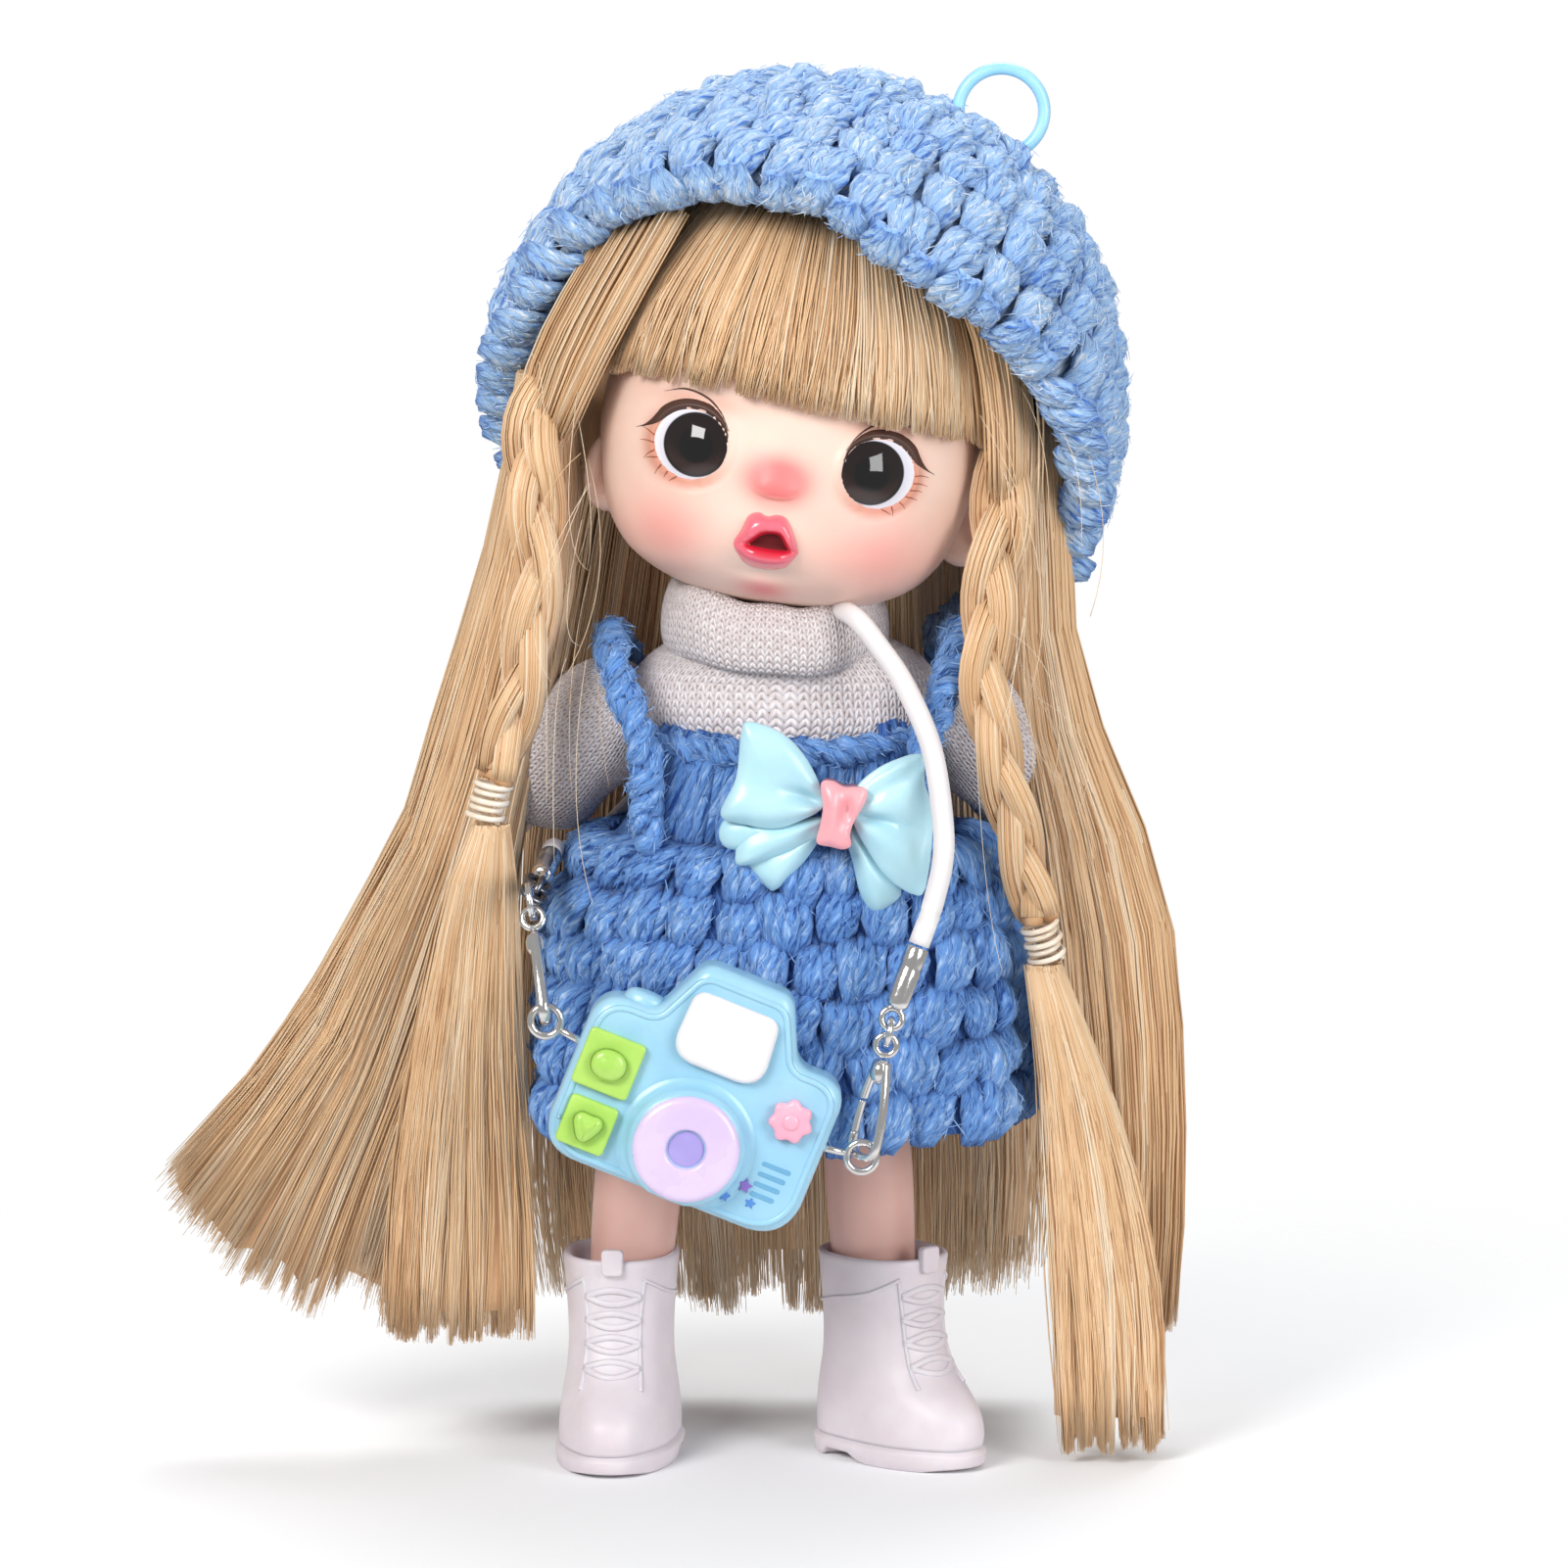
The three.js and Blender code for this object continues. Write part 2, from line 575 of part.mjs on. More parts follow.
function hand(side, grow = 0) {
  const from = armPoint(side, WRIST_REACH + FIT_GAP);
  const half = HAND_LENGTH / 2;
  const palmSize = [HAND_THICKNESS / 2 + grow, HAND_WIDTH / 2 + grow, half + grow];
  const palm = ellipsoid(...palmSize, vec(0, 0, half), 8, 6);
  const thumbAt = vec(0, -HAND_WIDTH * 0.5, HAND_LENGTH * 0.45);
  const thumbSize = HAND_THICKNESS * 0.4 + grow;
  const thumb = ellipsoid(thumbSize, thumbSize, HAND_LENGTH * 0.3 + grow, thumbAt, 6, 4);
  return solid(palm, along(from, armPoint(side, HAND_REACH)))
    .add(solid(thumb, along(from, armPoint(side, HAND_REACH))));
}

function wholeArm(side, grow) {
  return upperArm(side, grow).add(forearm(side, grow)).add(hand(side, grow));
}

const legHip = (side) => vec(side < 0 ? RIGHT_HIP_X : LEFT_HIP_X, NECK_Y, HIP_Z);
const legAnkle = (side) => vec(side < 0 ? RIGHT_FOOT_X : LEFT_FOOT_X, NECK_Y, ANKLE_Z);
const legKnee = (side) => {
  const hip = legHip(side);
  return hip.lerp(legAnkle(side), (HIP_Z - KNEE_Z) / (HIP_Z - ANKLE_Z));
};

function thigh(side) {
  const knee = legKnee(side);
  const end = knee.clone().lerp(legHip(side), (SHIN_RADIUS * SOCKET_SHARE) / (HIP_Z - KNEE_Z));
  const top = legHip(side).add(vec(0, 0, THIGH_RADIUS));
  return limb(top, end, THIGH_RADIUS, SHIN_RADIUS).subtract(ball(knee, SHIN_RADIUS + FIT_GAP));
}

function shin(side, grow = 0) {
  const r = SHIN_RADIUS + grow;
  const foot = legAnkle(side).add(vec(0, 0, FIT_GAP - grow));
  return limb(legKnee(side), foot, r * 0.94, r * 0.94).add(ball(legKnee(side), r));
}

/** Turns a shape drawn toe-forward about the ankle's upright axis. */
function footFrame(side) {
  const turn = rad(side < 0 ? RIGHT_TOE_TURN : LEFT_TOE_TURN);
  return new THREE.Matrix4().makeRotationZ(turn).setPosition(legAnkle(side).setZ(0));
}

/** Share of the foot's height, with the width that it has there. */
const FOOT_TAPERS = [[0, 0.86], [0.35, 1], [0.75, 0.9], [1, 0.62]];

function foot(side, grow = 0) {
  const bottom = BOOT_SOLE_THICKNESS + FIT_GAP - grow;
  const top = ANKLE_Z - FIT_GAP * 2;
  const rings = FOOT_TAPERS.map(([t, taper]) => {
    const z = THREE.MathUtils.lerp(bottom, top + grow, t);
    const half = FOOT_WIDTH / 2;
    const front = (FOOT_LENGTH - half) * (1 - 0.55 * t * t) + grow;
    const halfWidth = half * taper + grow;
    return ovalRing({ z, halfWidth, front, back: halfWidth, sides: 14 });
  });
  return solid(loft(rings), footFrame(side));
}

function buildBody() {
  const group = new THREE.Group();
  const socket = neckStalk(NECK_RADIUS + FIT_GAP);
  const pegs = shoulderPeg(-1, FIT_GAP).add(shoulderPeg(1, FIT_GAP));
  group.add(piece('torso', torsoBlock().subtract(socket).subtract(pegs), SKIN));
  group.add(piece('neck_ball', neckConnector(), SKIN));
  for (const [label, side] of [['right', -1], ['left', 1]]) {
    group.add(piece(`${label}_upper_arm`, upperArm(side), SKIN));
    group.add(piece(`${label}_forearm`, forearm(side), SKIN));
    group.add(piece(`${label}_hand`, hand(side), SKIN));
    group.add(piece(`${label}_thigh`, thigh(side), SKIN));
    group.add(piece(`${label}_shin`, shin(side), SKIN));
    group.add(piece(`${label}_foot`, foot(side), SKIN));
  }
  return group;
}

// Boots: moulded shell with heel, arch, welt, laced front and pull tab

function bootOutline(z, t) {
  const wide = THREE.MathUtils.lerp(BOOT_SOLE_WIDTH, BOOT_SHAFT_WIDTH, Math.min(1, t * 1.6)) / 2;
  const heel = BOOT_SHAFT_DEPTH / 2;
  const toeReach = BOOT_SOLE_LENGTH - heel;
  const instep = sample([1, 0.99, 0.93, 0.78, 0.62, 0.55, 0.53, 0.53, 0.54], t);
  return ovalRing({ z, halfWidth: wide, front: toeReach * instep, back: heel, sides: 14, square: 2.3 });
}

function boot(side) {
  const rings = [];
  const levels = [0, 0.105, 0.2, 0.32, 0.45, 0.6, 1];
  for (const t of levels) rings.push(bootOutline(BOOT_TOP_Z * t, t));
  let shell = solid(loft(rings));
  const archLength = BOOT_SOLE_LENGTH * 0.3;
  const archY = BOOT_SHAFT_DEPTH / 2 - BOOT_HEEL_LENGTH - archLength / 2;
  const arch = new THREE.BoxGeometry(BOOT_SOLE_WIDTH * 2, archLength, BOOT_ARCH_RISE * 2);
  shell = shell.subtract(solid(arch.translate(0, archY, 0)));
  const front = (z) => bootOutline(z, z / BOOT_TOP_Z).reduce((m, p) => Math.min(m, p.y), 0);
  const laceZ = BOOT_TOP_Z - BOOT_TAB_HEIGHT - BOOT_LACE_SPACING * BOOT_LACE_COUNT;
  for (let i = 0; i < BOOT_LACE_COUNT; i += 1) {
    const z = laceZ + BOOT_LACE_SPACING * i;
    const lace = ellipsoid(BOOT_LACE_WIDTH / 2, 0.9, 0.8, vec(0, front(z) + 0.6, z), 8, 4);
    shell = shell.add(solid(lace));
  }
  const tabZ = BOOT_TOP_Z - BOOT_TAB_HEIGHT * 0.2;
  const tab = new THREE.BoxGeometry(BOOT_TAB_WIDTH, BOOT_TAB_WIDTH * 0.5, BOOT_TAB_HEIGHT);
  shell = shell.add(solid(tab.translate(0, front(BOOT_TOP_Z) + BOOT_TAB_WIDTH * 0.2, tabZ)));
  const legWell = shin(side, FIT_GAP).add(foot(side, FIT_GAP));
  const ankle = legAnkle(side);
  const shaft = revolve(bar(SHIN_RADIUS + FIT_GAP, BOOT_TOP_Z));
  const way = solid(shaft.translate(ankle.x, ankle.y, ANKLE_Z - SHIN_RADIUS / 2));
  return shell.transform(footFrame(side).elements).subtract(legWell).subtract(way);
}

function buildBoots() {
  const group = new THREE.Group();
  group.add(piece('right_boot', boot(-1), BOOT_VINYL));
  group.add(piece('left_boot', boot(1), BOOT_VINYL));
  return group;
}

// Sweater: torso skin with a folded collar, and two loose sleeves

/** Everything below, or everything above, a level, as a large block. */
function levelBlock(z, direction) {
  const size = HEAD_HEIGHT * 6;
  return solid(new THREE.BoxGeometry(size, size, size).translate(0, 0, z + (direction * size) / 2));
}

const SWEATER_HEM_Z = DRESS_WAIST_Z - 2;

function collarRing(inner, outer, bottom, top) {
  const fold = (outer - inner) * 0.35;
  const profile = [
    [inner, bottom], [outer - fold, bottom], [outer, bottom + fold], [outer, top - fold],
    [outer - fold, top], [inner + fold, top], [inner, top - fold], [inner, bottom],
  ];
  const neck = THREE.MathUtils.lerp(NECK_X, 0, 0.5);
  return solid(revolve(profile, 14).translate(neck, NECK_Y - 1, 0));
}

function sweaterOuter(grow = 0) {
  const collar = collarRing(0, COLLAR_RADIUS + grow, COLLAR_BOTTOM_Z - grow, COLLAR_TOP_Z + grow);
  const skin = torsoBlock(CLOTH_GAP + SWEATER_WALL + grow);
  return skin.subtract(levelBlock(SWEATER_HEM_Z - grow, -1)).add(collar);
}

function sweaterBody() {
  const wall = SWEATER_WALL;
  const throat = collarRing(0, COLLAR_RADIUS - wall * 2, COLLAR_BOTTOM_Z + wall, COLLAR_TOP_Z + wall * 3);
  const room = torsoBlock(CLOTH_GAP).add(neckStalk(NECK_RADIUS + CLOTH_GAP));
  const pegs = shoulderPeg(-1, CLOTH_GAP).add(shoulderPeg(1, CLOTH_GAP));
  const chin = headEgg(CLOTH_GAP * 2, 12, 6).transform(headFrame.elements);
  return sweaterOuter().subtract(throat).subtract(room).subtract(pegs).subtract(chin);
}

function sleeveTube(side, inset) {
  const lead = SLEEVE_RADIUS * 0.6;
  const start = armPoint(side, -lead);
  const total = SLEEVE_LENGTH + lead;
  const puff = [0.66, 0.88, 1, 1, 0.98, 0.93];
  const spare = Math.abs(inset);
  const profile = [[0, -spare], [SLEEVE_RADIUS * puff[0] - inset, -spare]];
  for (let i = spare === 0 ? 0 : 1; i < puff.length; i += 1) {
    profile.push([SLEEVE_RADIUS * puff[i] - inset, (total * i) / (puff.length - 1)]);
  }
  profile.push([SLEEVE_RADIUS * puff.at(-1) - inset, total + spare], [0, total + spare]);
  return solid(revolve(profile, 12), along(start, armPoint(side, SLEEVE_LENGTH)));
}

function sleeve(side) {
  const shell = sleeveTube(side, 0).intersect(outside(side, ARM_PLANE_X + FIT_GAP));
  return shell.subtract(sleeveTube(side, SLEEVE_WALL));
}

// Dress: crocheted pinafore with a flared skirt, front and back bib, and shoulder straps

function dressOuter(inset = 0, folds = DRESS_FOLD_DEPTH) {
  const bibWidth = ARM_PLANE_X - CLOTH_GAP / 2;
  const wide = DRESS_HEM_HALF_WIDTH;
  const deepest = DRESS_HEM_HALF_DEPTH;
  const skirtZ = (t) => THREE.MathUtils.lerp(DRESS_HEM_Z, DRESS_WAIST_Z, t);
  const rows = [
    [DRESS_HEM_Z - inset, wide, deepest, 1],
    [skirtZ(0.3), wide * 0.97, deepest * 0.96, 0.8],
    [skirtZ(0.68), wide * 0.91, deepest * 0.88, 0.4],
    [DRESS_WAIST_Z, DRESS_WAIST_HALF_WIDTH, DRESS_WAIST_HALF_DEPTH, 0],
    [DRESS_WAIST_Z + DRESS_WALL * 1.5, bibWidth + CLOTH_GAP, DRESS_WAIST_HALF_DEPTH * 0.9, 0],
    [NECKLINE_Z, bibWidth, DRESS_WAIST_HALF_DEPTH * 0.86, 0],
    [STRAP_RISE - DRESS_WALL, bibWidth, DRESS_WAIST_HALF_DEPTH * 0.78, 0],
    [STRAP_RISE, bibWidth * 0.84, DRESS_WAIST_HALF_DEPTH * 0.5, 0],
  ];
  const rings = rows.map(([z, halfWidth, deep, sway]) => {
    const size = { halfWidth: halfWidth - inset, front: deep - inset };
    const ring = ovalRing({ y: NECK_Y, z, ...size, sides: DRESS_FOLDS * 3, square: 2.2 });
    ring.forEach((p, j) => {
      const dip = 1 - Math.cos((2 * Math.PI * DRESS_FOLDS * j) / ring.length);
      const wave = 1 - (folds * sway * dip) / halfWidth;
      p.set(p.x * wave, NECK_Y + (p.y - NECK_Y) * wave, p.z);
    });
    return ring;
  });
  return { rings, solid: solid(loft(rings)) };
}

function dress() {
  const skirtRoom = solid(loft(dressOuter(DRESS_WALL).rings.slice(0, 4)));
  const reach = ARM_PLANE_X * 2;
  const neckline = new THREE.BoxGeometry(NECKLINE_HALF_WIDTH * 2, reach * 2, reach)
    .translate(0, NECK_Y, NECKLINE_Z + reach / 2);
  let body = dressOuter().solid.subtract(skirtRoom).subtract(sweaterOuter(CLOTH_GAP));
  body = body.subtract(solid(neckline));
  const armholeZ = DRESS_WAIST_Z + DRESS_WALL + ARMHOLE_HEIGHT / 2;
  for (const side of [-1, 1]) {
    const at = vec(side * (ARM_PLANE_X + DRESS_WALL * 0.3), SHOULDER_Y, armholeZ);
    const hole = ellipsoid(DRESS_WALL * 1.9, TORSO_DEPTH / 2, ARMHOLE_HEIGHT / 2, at, 12, 8);
    body = body.subtract(solid(hole));
  }
  const torsoRoom = torsoBlock(CLOTH_GAP + SWEATER_WALL);
  return body.subtract(torsoRoom);
}

function buildClothes() {
  const group = new THREE.Group();
  group.add(piece('sweater_body', sweaterBody(), KNIT));
  group.add(piece('right_sleeve', sleeve(-1), KNIT));
  group.add(piece('left_sleeve', sleeve(1), KNIT));
  group.add(piece('dress', dress(), DRESS_YARN));
  return group;
}

// Hat: crocheted bowl with rows of puffs and a rolled brim, tipped back and to the side

const hatFrame = new THREE.Matrix4()
  .makeRotationY(rad(HAT_TIP_SIDE))
  .multiply(new THREE.Matrix4().makeRotationX(-rad(HAT_TIP_BACK)))
  .setPosition(HAT_X, HAT_Y, HAT_Z);

function hatBowl() {
  const inner = HAT_OUTER_RADIUS - HAT_WALL;
  const open = Math.acos(-BRIM_DROP / HAT_OUTER_RADIUS);
  const profile = [];
  const insideSteps = 5;
  for (let i = 0; i <= insideSteps; i += 1) {
    const a = (open * i) / insideSteps;
    profile.push([inner * Math.sin(a), inner * Math.cos(a)]);
  }
  const rim = HAT_OUTER_RADIUS * Math.sin(open) + BRIM_FLARE;
  profile.push([rim - HAT_WALL * 0.5, -BRIM_DROP - HAT_WALL * 0.5]);
  profile.push([rim, -BRIM_DROP - HAT_WALL * 0.3]);
  const steps = HAT_ROWS * 2;
  for (let i = steps; i >= 0; i -= 1) {
    const a = (open * i) / steps;
    const puff = i % 2 === 0 ? 0 : -HAT_ROW_PUFF;
    const flare = BRIM_FLARE * (i / steps) ** 6;
    const reach = HAT_OUTER_RADIUS + puff;
    profile.push([(reach + flare) * Math.sin(a), reach * Math.cos(a)]);
  }
  return solid(revolve(profile, 20), hatFrame);
}

const loopHeading = () => vec(Math.sin(rad(LOOP_LEAN)), 0, Math.cos(rad(LOOP_LEAN)));
const overHat = (reach) => vec(HAT_X, HAT_Y, HAT_Z).addScaledVector(loopHeading(), reach);
const loopCentre = () => overHat(HAT_OUTER_RADIUS + LOOP_RISE);
const loopHinge = () => overHat(HAT_OUTER_RADIUS - HAT_WALL / 2);

/** Yarn ring threaded through the hat's wall, swung by `swing` degrees, offset by `grow`. */
function loopRing(swing = 0, grow = 0) {
  const out = loopHeading();
  const hinge = loopHinge();
  const tangent = vec(out.z, 0, -out.x);
  const ring = new THREE.TorusGeometry(LOOP_RADIUS, LOOP_WIRE_RADIUS + grow, 6, 16).rotateX(Math.PI / 2);
  const at = loopCentre();
  const move = new THREE.Matrix4().makeTranslation(hinge.x, hinge.y, hinge.z)
    .multiply(new THREE.Matrix4().makeRotationAxis(tangent, rad(swing)))
    .multiply(new THREE.Matrix4().makeTranslation(at.x - hinge.x, at.y - hinge.y, at.z - hinge.z));
  return solid(ring, move);
}

function buildHat() {
  const group = new THREE.Group();
  let hat = hatBowl();
  for (const swing of [-LOOP_SWING, LOOP_SWING]) {
    hat = hat.subtract(loopRing(swing, FIT_GAP * 1.5));
  }
  group.add(piece('hat', hat, HAT_YARN));
  group.add(piece('hanging_loop', loopRing(), LOOP_RUBBER));
  return group;
}

// Hair: fringe, cap with the back fall, two side locks, and two braids with elastics and tails

const HAT_ROOM = HAT_OUTER_RADIUS - HAT_WALL - HAIR_GAP * 2;
const route = (points) => points.map((p) => vec(...p));

/** Loose hair with rounded level sections, given as [height, least x, greatest x, y, half depth]. */
function hairFall(rows, grow = 0) {
  const rings = rows.map(([z, low, high, y, deep], i) => {
    const lift = i === 0 ? grow : i === rows.length - 1 ? -grow : 0;
    const size = { halfWidth: (high - low) / 2 + grow, front: deep + grow };
    return ovalRing({ x: (low + high) / 2, y, z: z + lift, ...size, sides: 11, square: 2.5 });
  });
  return solid(loft(rings));
}

/** Round strand along a route with a radius that changes with the share of its length. */
function strand(points, radiusAt, sides = 7, steps = 21) {
  const curve = new THREE.CatmullRomCurve3(points);
  const { normals, binormals } = curve.computeFrenetFrames(steps);
  const rings = [];
  for (let i = 0; i <= steps; i += 1) {
    const centre = curve.getPointAt(i / steps);
    const ring = [];
    for (let j = 0; j < sides; j += 1) {
      const a = (2 * Math.PI * j) / sides;
      const r = radiusAt(i / steps);
      const point = centre.clone().addScaledVector(normals[i], r * Math.cos(a));
      ring.push(point.addScaledVector(binormals[i], r * Math.sin(a)));
    }
    rings.push(ring);
  }
  return solid(loft(rings));
}

function braid(points, grow = 0) {
  const bulge = (t) => 1 - BRAID_BULGE_DEPTH * (1 + Math.cos(2 * Math.PI * BRAID_BULGES * t));
  const taper = (t) => 1 - BRAID_TAPER * t * t;
  return strand(route(points), (t) => BRAID_RADIUS * bulge(t) * taper(t) + grow);
}

/** Helix wound about a braid's end: turns, pitch and radius in real sizes. */
class Winding extends THREE.Curve {
  constructor(radius, pitch, turns) {
    super();
    Object.assign(this, { radius, pitch, turns });
  }

  getPoint(t, target = new THREE.Vector3()) {
    const a = 2 * Math.PI * this.turns * t;
    return target.set(this.radius * Math.cos(a), this.radius * Math.sin(a), this.pitch * this.turns * t);
  }

  /** Least clear space between one turn's wire and the next. */
  leastGap(wireRadius, samples = 240) {
    const points = Array.from({ length: samples + 1 }, (_, i) => this.getPoint(i / samples));
    const apart = samples / this.turns / 2;
    let least = Infinity;
    points.forEach((p, i) => {
      for (let j = i + Math.ceil(apart); j < points.length; j += 1) {
        least = Math.min(least, p.distanceTo(points[j]));
      }
    });
    return least - 2 * wireRadius;
  }
}

/** Share of a braid's radius that is left at its end, and the gathered hair's radius there. */
const BRAID_TAPER = 0.35;
const STEM_RADIUS = BRAID_RADIUS * (1 - BRAID_TAPER) * (1 - 2 * BRAID_BULGE_DEPTH);

/** Point and heading at the end of a braid, where its elastic is wound. */
function braidEnd(points) {
  const curve = new THREE.CatmullRomCurve3(route(points));
  return { at: curve.getPointAt(1), heading: curve.getTangentAt(1) };
}

function hairElastic(points) {
  const { at, heading } = braidEnd(points);
  const core = STEM_RADIUS + ELASTIC_WIRE_RADIUS + FIT_GAP;
  const winding = new Winding(core, ELASTIC_PITCH, ELASTIC_TURNS);
  const gap = winding.leastGap(ELASTIC_WIRE_RADIUS);
  console.log('least gap between elastic turns (mm):', gap.toFixed(3));
  const wire = tube(winding, ELASTIC_WIRE_RADIUS, { sides: 5, steps: 10 * ELASTIC_TURNS });
  return solid(wire, along(at.clone().addScaledVector(heading, FIT_GAP), at.clone().add(heading)));
}

/** Gathered hair inside an elastic, from the braid's end into the tail. */
function tailStem(points) {
  const { at, heading } = braidEnd(points);
  const from = at.clone().addScaledVector(heading, FIT_GAP);
  const to = at.clone().addScaledVector(heading, ELASTIC_PITCH * ELASTIC_TURNS + BRAID_RADIUS);
  return strand([from, to], () => STEM_RADIUS, 7, 2);
}

function fringe() {
  const shell = headEgg(HAIR_GAP + FRINGE_THICKNESS).subtract(headEgg(HAIR_GAP));
  const tall = FRINGE_TOP_RISE - FRINGE_CUT_RISE;
  const window = new THREE.BoxGeometry(HEAD_WIDTH * 1.5, HEAD_WIDTH, tall)
    .translate(0, -HEAD_WIDTH / 2 - EAR_THICKNESS, FRINGE_CUT_RISE + tall / 2);
  return shell.intersect(solid(window)).transform(headFrame.elements);
}

function hairCap() {
  const shell = headEgg(HAIR_CAP_THICKNESS, 14, 8).subtract(headEgg(HAIR_GAP * 2.2, 14, 8));
  const size = HEAD_HEIGHT * 3;
  const block = new THREE.BoxGeometry(size, size, size);
  const face = block.clone().translate(0, -size / 2 - EAR_THICKNESS + HAIR_GAP, 0);
  const nape = block.clone().translate(0, 0, EAR_RISE - EAR_HEIGHT - size / 2);
  return shell.subtract(solid(face)).subtract(solid(nape)).transform(headFrame.elements);
}

/** Everything that loose hair lies around, offset by the hair's clearance. */
function hairObstacles() {
  let all = headEgg(HAIR_GAP).transform(headFrame.elements);
  for (const side of [-1, 1]) {
    all = all.add(wholeArm(side, HAIR_GAP));
    all = all.add(sleeveTube(side, -HAIR_GAP));
    all = all.add(ear(side, HAIR_GAP).transform(headFrame.elements));
  }
  const skirt = dressOuter(-HAIR_GAP, 0).solid;
  return all.add(sweaterOuter(HAIR_GAP)).add(skirt).add(strapCord(HAIR_GAP));
}

function buildHair() {
  const group = new THREE.Group();
  const obstacles = hairObstacles();
  const earRoom = ear(-1, HAIR_GAP).add(ear(1, HAIR_GAP)).transform(headFrame.elements);
  const hatRoom = solid(sphere(HAT_ROOM, vec(HAT_X, HAT_Y, HAT_Z), 14, 10));
  const hatKeepOut = (body) => body.subtract(hatShadow());
  const rightBraid = braid(RIGHT_BRAID_ROUTE);
  const leftBraid = braid(LEFT_BRAID_ROUTE);
  const braidRoom = braid(RIGHT_BRAID_ROUTE, HAIR_GAP).add(braid(LEFT_BRAID_ROUTE, HAIR_GAP));
  const cap = hairCap().subtract(earRoom).intersect(hatRoom);
  const fall = hatKeepOut(hairFall(BACK_HAIR_ROWS).subtract(obstacles));
  const back = cap.add(fall).subtract(braidRoom);
  const front = fringe().intersect(hatRoom).subtract(cap.add(braidRoom));
  group.add(piece('fringe', front, HAIR));
  group.add(piece('back_hair', back, HAIR));
  const capRoom = headEgg(HAIR_CAP_THICKNESS + HAIR_GAP, 14, 8).transform(headFrame.elements);
  const taken = hairFall(BACK_HAIR_ROWS, HAIR_GAP).add(capRoom).add(braidRoom).add(obstacles);
  const sides = [
    ['right', RIGHT_LOCK_ROWS, RIGHT_TAIL_ROWS, RIGHT_BRAID_ROUTE, rightBraid],
    ['left', LEFT_LOCK_ROWS, LEFT_TAIL_ROWS, LEFT_BRAID_ROUTE, leftBraid],
  ];
  for (const [label, lockRows, tailRows, braidRoute, plait] of sides) {
    const tail = hairFall(tailRows).add(tailStem(braidRoute));
    const tailRoom = hairFall(tailRows, HAIR_GAP);
    const lock = hairFall(lockRows).subtract(taken).subtract(tailRoom);
    group.add(piece(`${label}_side_lock`, hatKeepOut(lock), HAIR));
    group.add(piece(`${label}_braid`, hatKeepOut(plait.subtract(obstacles)), HAIR));
    const elasticRoom = elasticSleeve(braidRoute);
    group.add(piece(`${label}_braid_tail`, tail.subtract(obstacles).subtract(elasticRoom), HAIR));
    group.add(piece(`${label}_hair_elastic`, hairElastic(braidRoute), CLEAR_ELASTIC));
  }
  return group;
}

/** Room that the wound elastic takes around a tail's stem. */
function elasticSleeve(points) {
  const { at, heading } = braidEnd(points);
  const inner = STEM_RADIUS;
  const outer = inner * 3;
  const length = ELASTIC_PITCH * ELASTIC_TURNS + ELASTIC_WIRE_RADIUS * 2 + FIT_GAP * 2;
  const profile = [[inner, 0], [outer, 0], [outer, length], [inner, length], [inner, 0]];
  return solid(revolve(profile, 9), along(at, at.clone().add(heading)));
}

/** The hat's wall with its clearance, so that hair stays out of it. */
function hatShadow() {
  const middle = vec(0, 0, 0);
  const shell = sphere(HAT_OUTER_RADIUS + BRIM_FLARE + HAIR_GAP * 3, middle, 14, 10);
  const hollow = sphere(HAT_ROOM, middle, 14, 10);
  const wall = solid(shell).subtract(solid(hollow));
  const rim = -BRIM_DROP - HAT_WALL * 0.5 - FIT_GAP;
  return wall.subtract(levelBlock(rim, -1)).transform(hatFrame.elements);
}

// Toy camera: cast body with prism hump, lens barrel, seats for the trim, and screw-eye lugs

const cameraFrame = new THREE.Matrix4()
  .makeRotationY(rad(CAMERA_TILT))
  .setPosition(CAMERA_X, CAMERA_Y, CAMERA_Z);
const CAMERA_MIDDLE = 1;
const CAMERA_FRONT = -CAMERA_DEPTH / 2;
const LENS_AT = vec(CAMERA_MIDDLE + 0.4, CAMERA_FRONT, -3.2);
const FLASH_RISE = CAMERA_HEIGHT / 2 + PRISM_HEIGHT / 2 - FLASH_COVER_SIZE * 0.18;
const FLASH_AT = vec(CAMERA_MIDDLE, CAMERA_FRONT, FLASH_RISE);
const UPPER_TILE_AT = vec(CAMERA_MIDDLE - CAMERA_WIDTH * 0.37, CAMERA_FRONT, CAMERA_HEIGHT * 0.12);
const LOWER_TILE_AT = vec(CAMERA_MIDDLE - CAMERA_WIDTH * 0.36, CAMERA_FRONT, -CAMERA_HEIGHT * 0.26);
const FLOWER_AT = vec(CAMERA_MIDDLE + CAMERA_WIDTH * 0.34, CAMERA_FRONT, CAMERA_HEIGHT * 0.2);
const GRILLE_AT = vec(CAMERA_MIDDLE + CAMERA_WIDTH * 0.36, CAMERA_FRONT, -CAMERA_HEIGHT * 0.18);

/** Rounded rectangle outline about its middle. */
function roundedRect(width, height, corner) {
  const w = width / 2;
  const h = height / 2;
  const shape = new THREE.Shape();
  shape.absarc(w - corner, h - corner, corner, 0, Math.PI / 2);
  shape.absarc(corner - w, h - corner, corner, Math.PI / 2, Math.PI);
  shape.absarc(corner - w, corner - h, corner, Math.PI, Math.PI * 1.5);
  shape.absarc(w - corner, corner - h, corner, Math.PI * 1.5, Math.PI * 2);
  return shape;
}

/** Plate in the upright plane, with its back at y = 0 and its front towards -Y. */
function plate(shape, depth) {
  const settings = { depth, curveSegments: 2, bevelEnabled: false };
  return new THREE.ExtrudeGeometry(shape, settings).rotateX(Math.PI / 2);
}

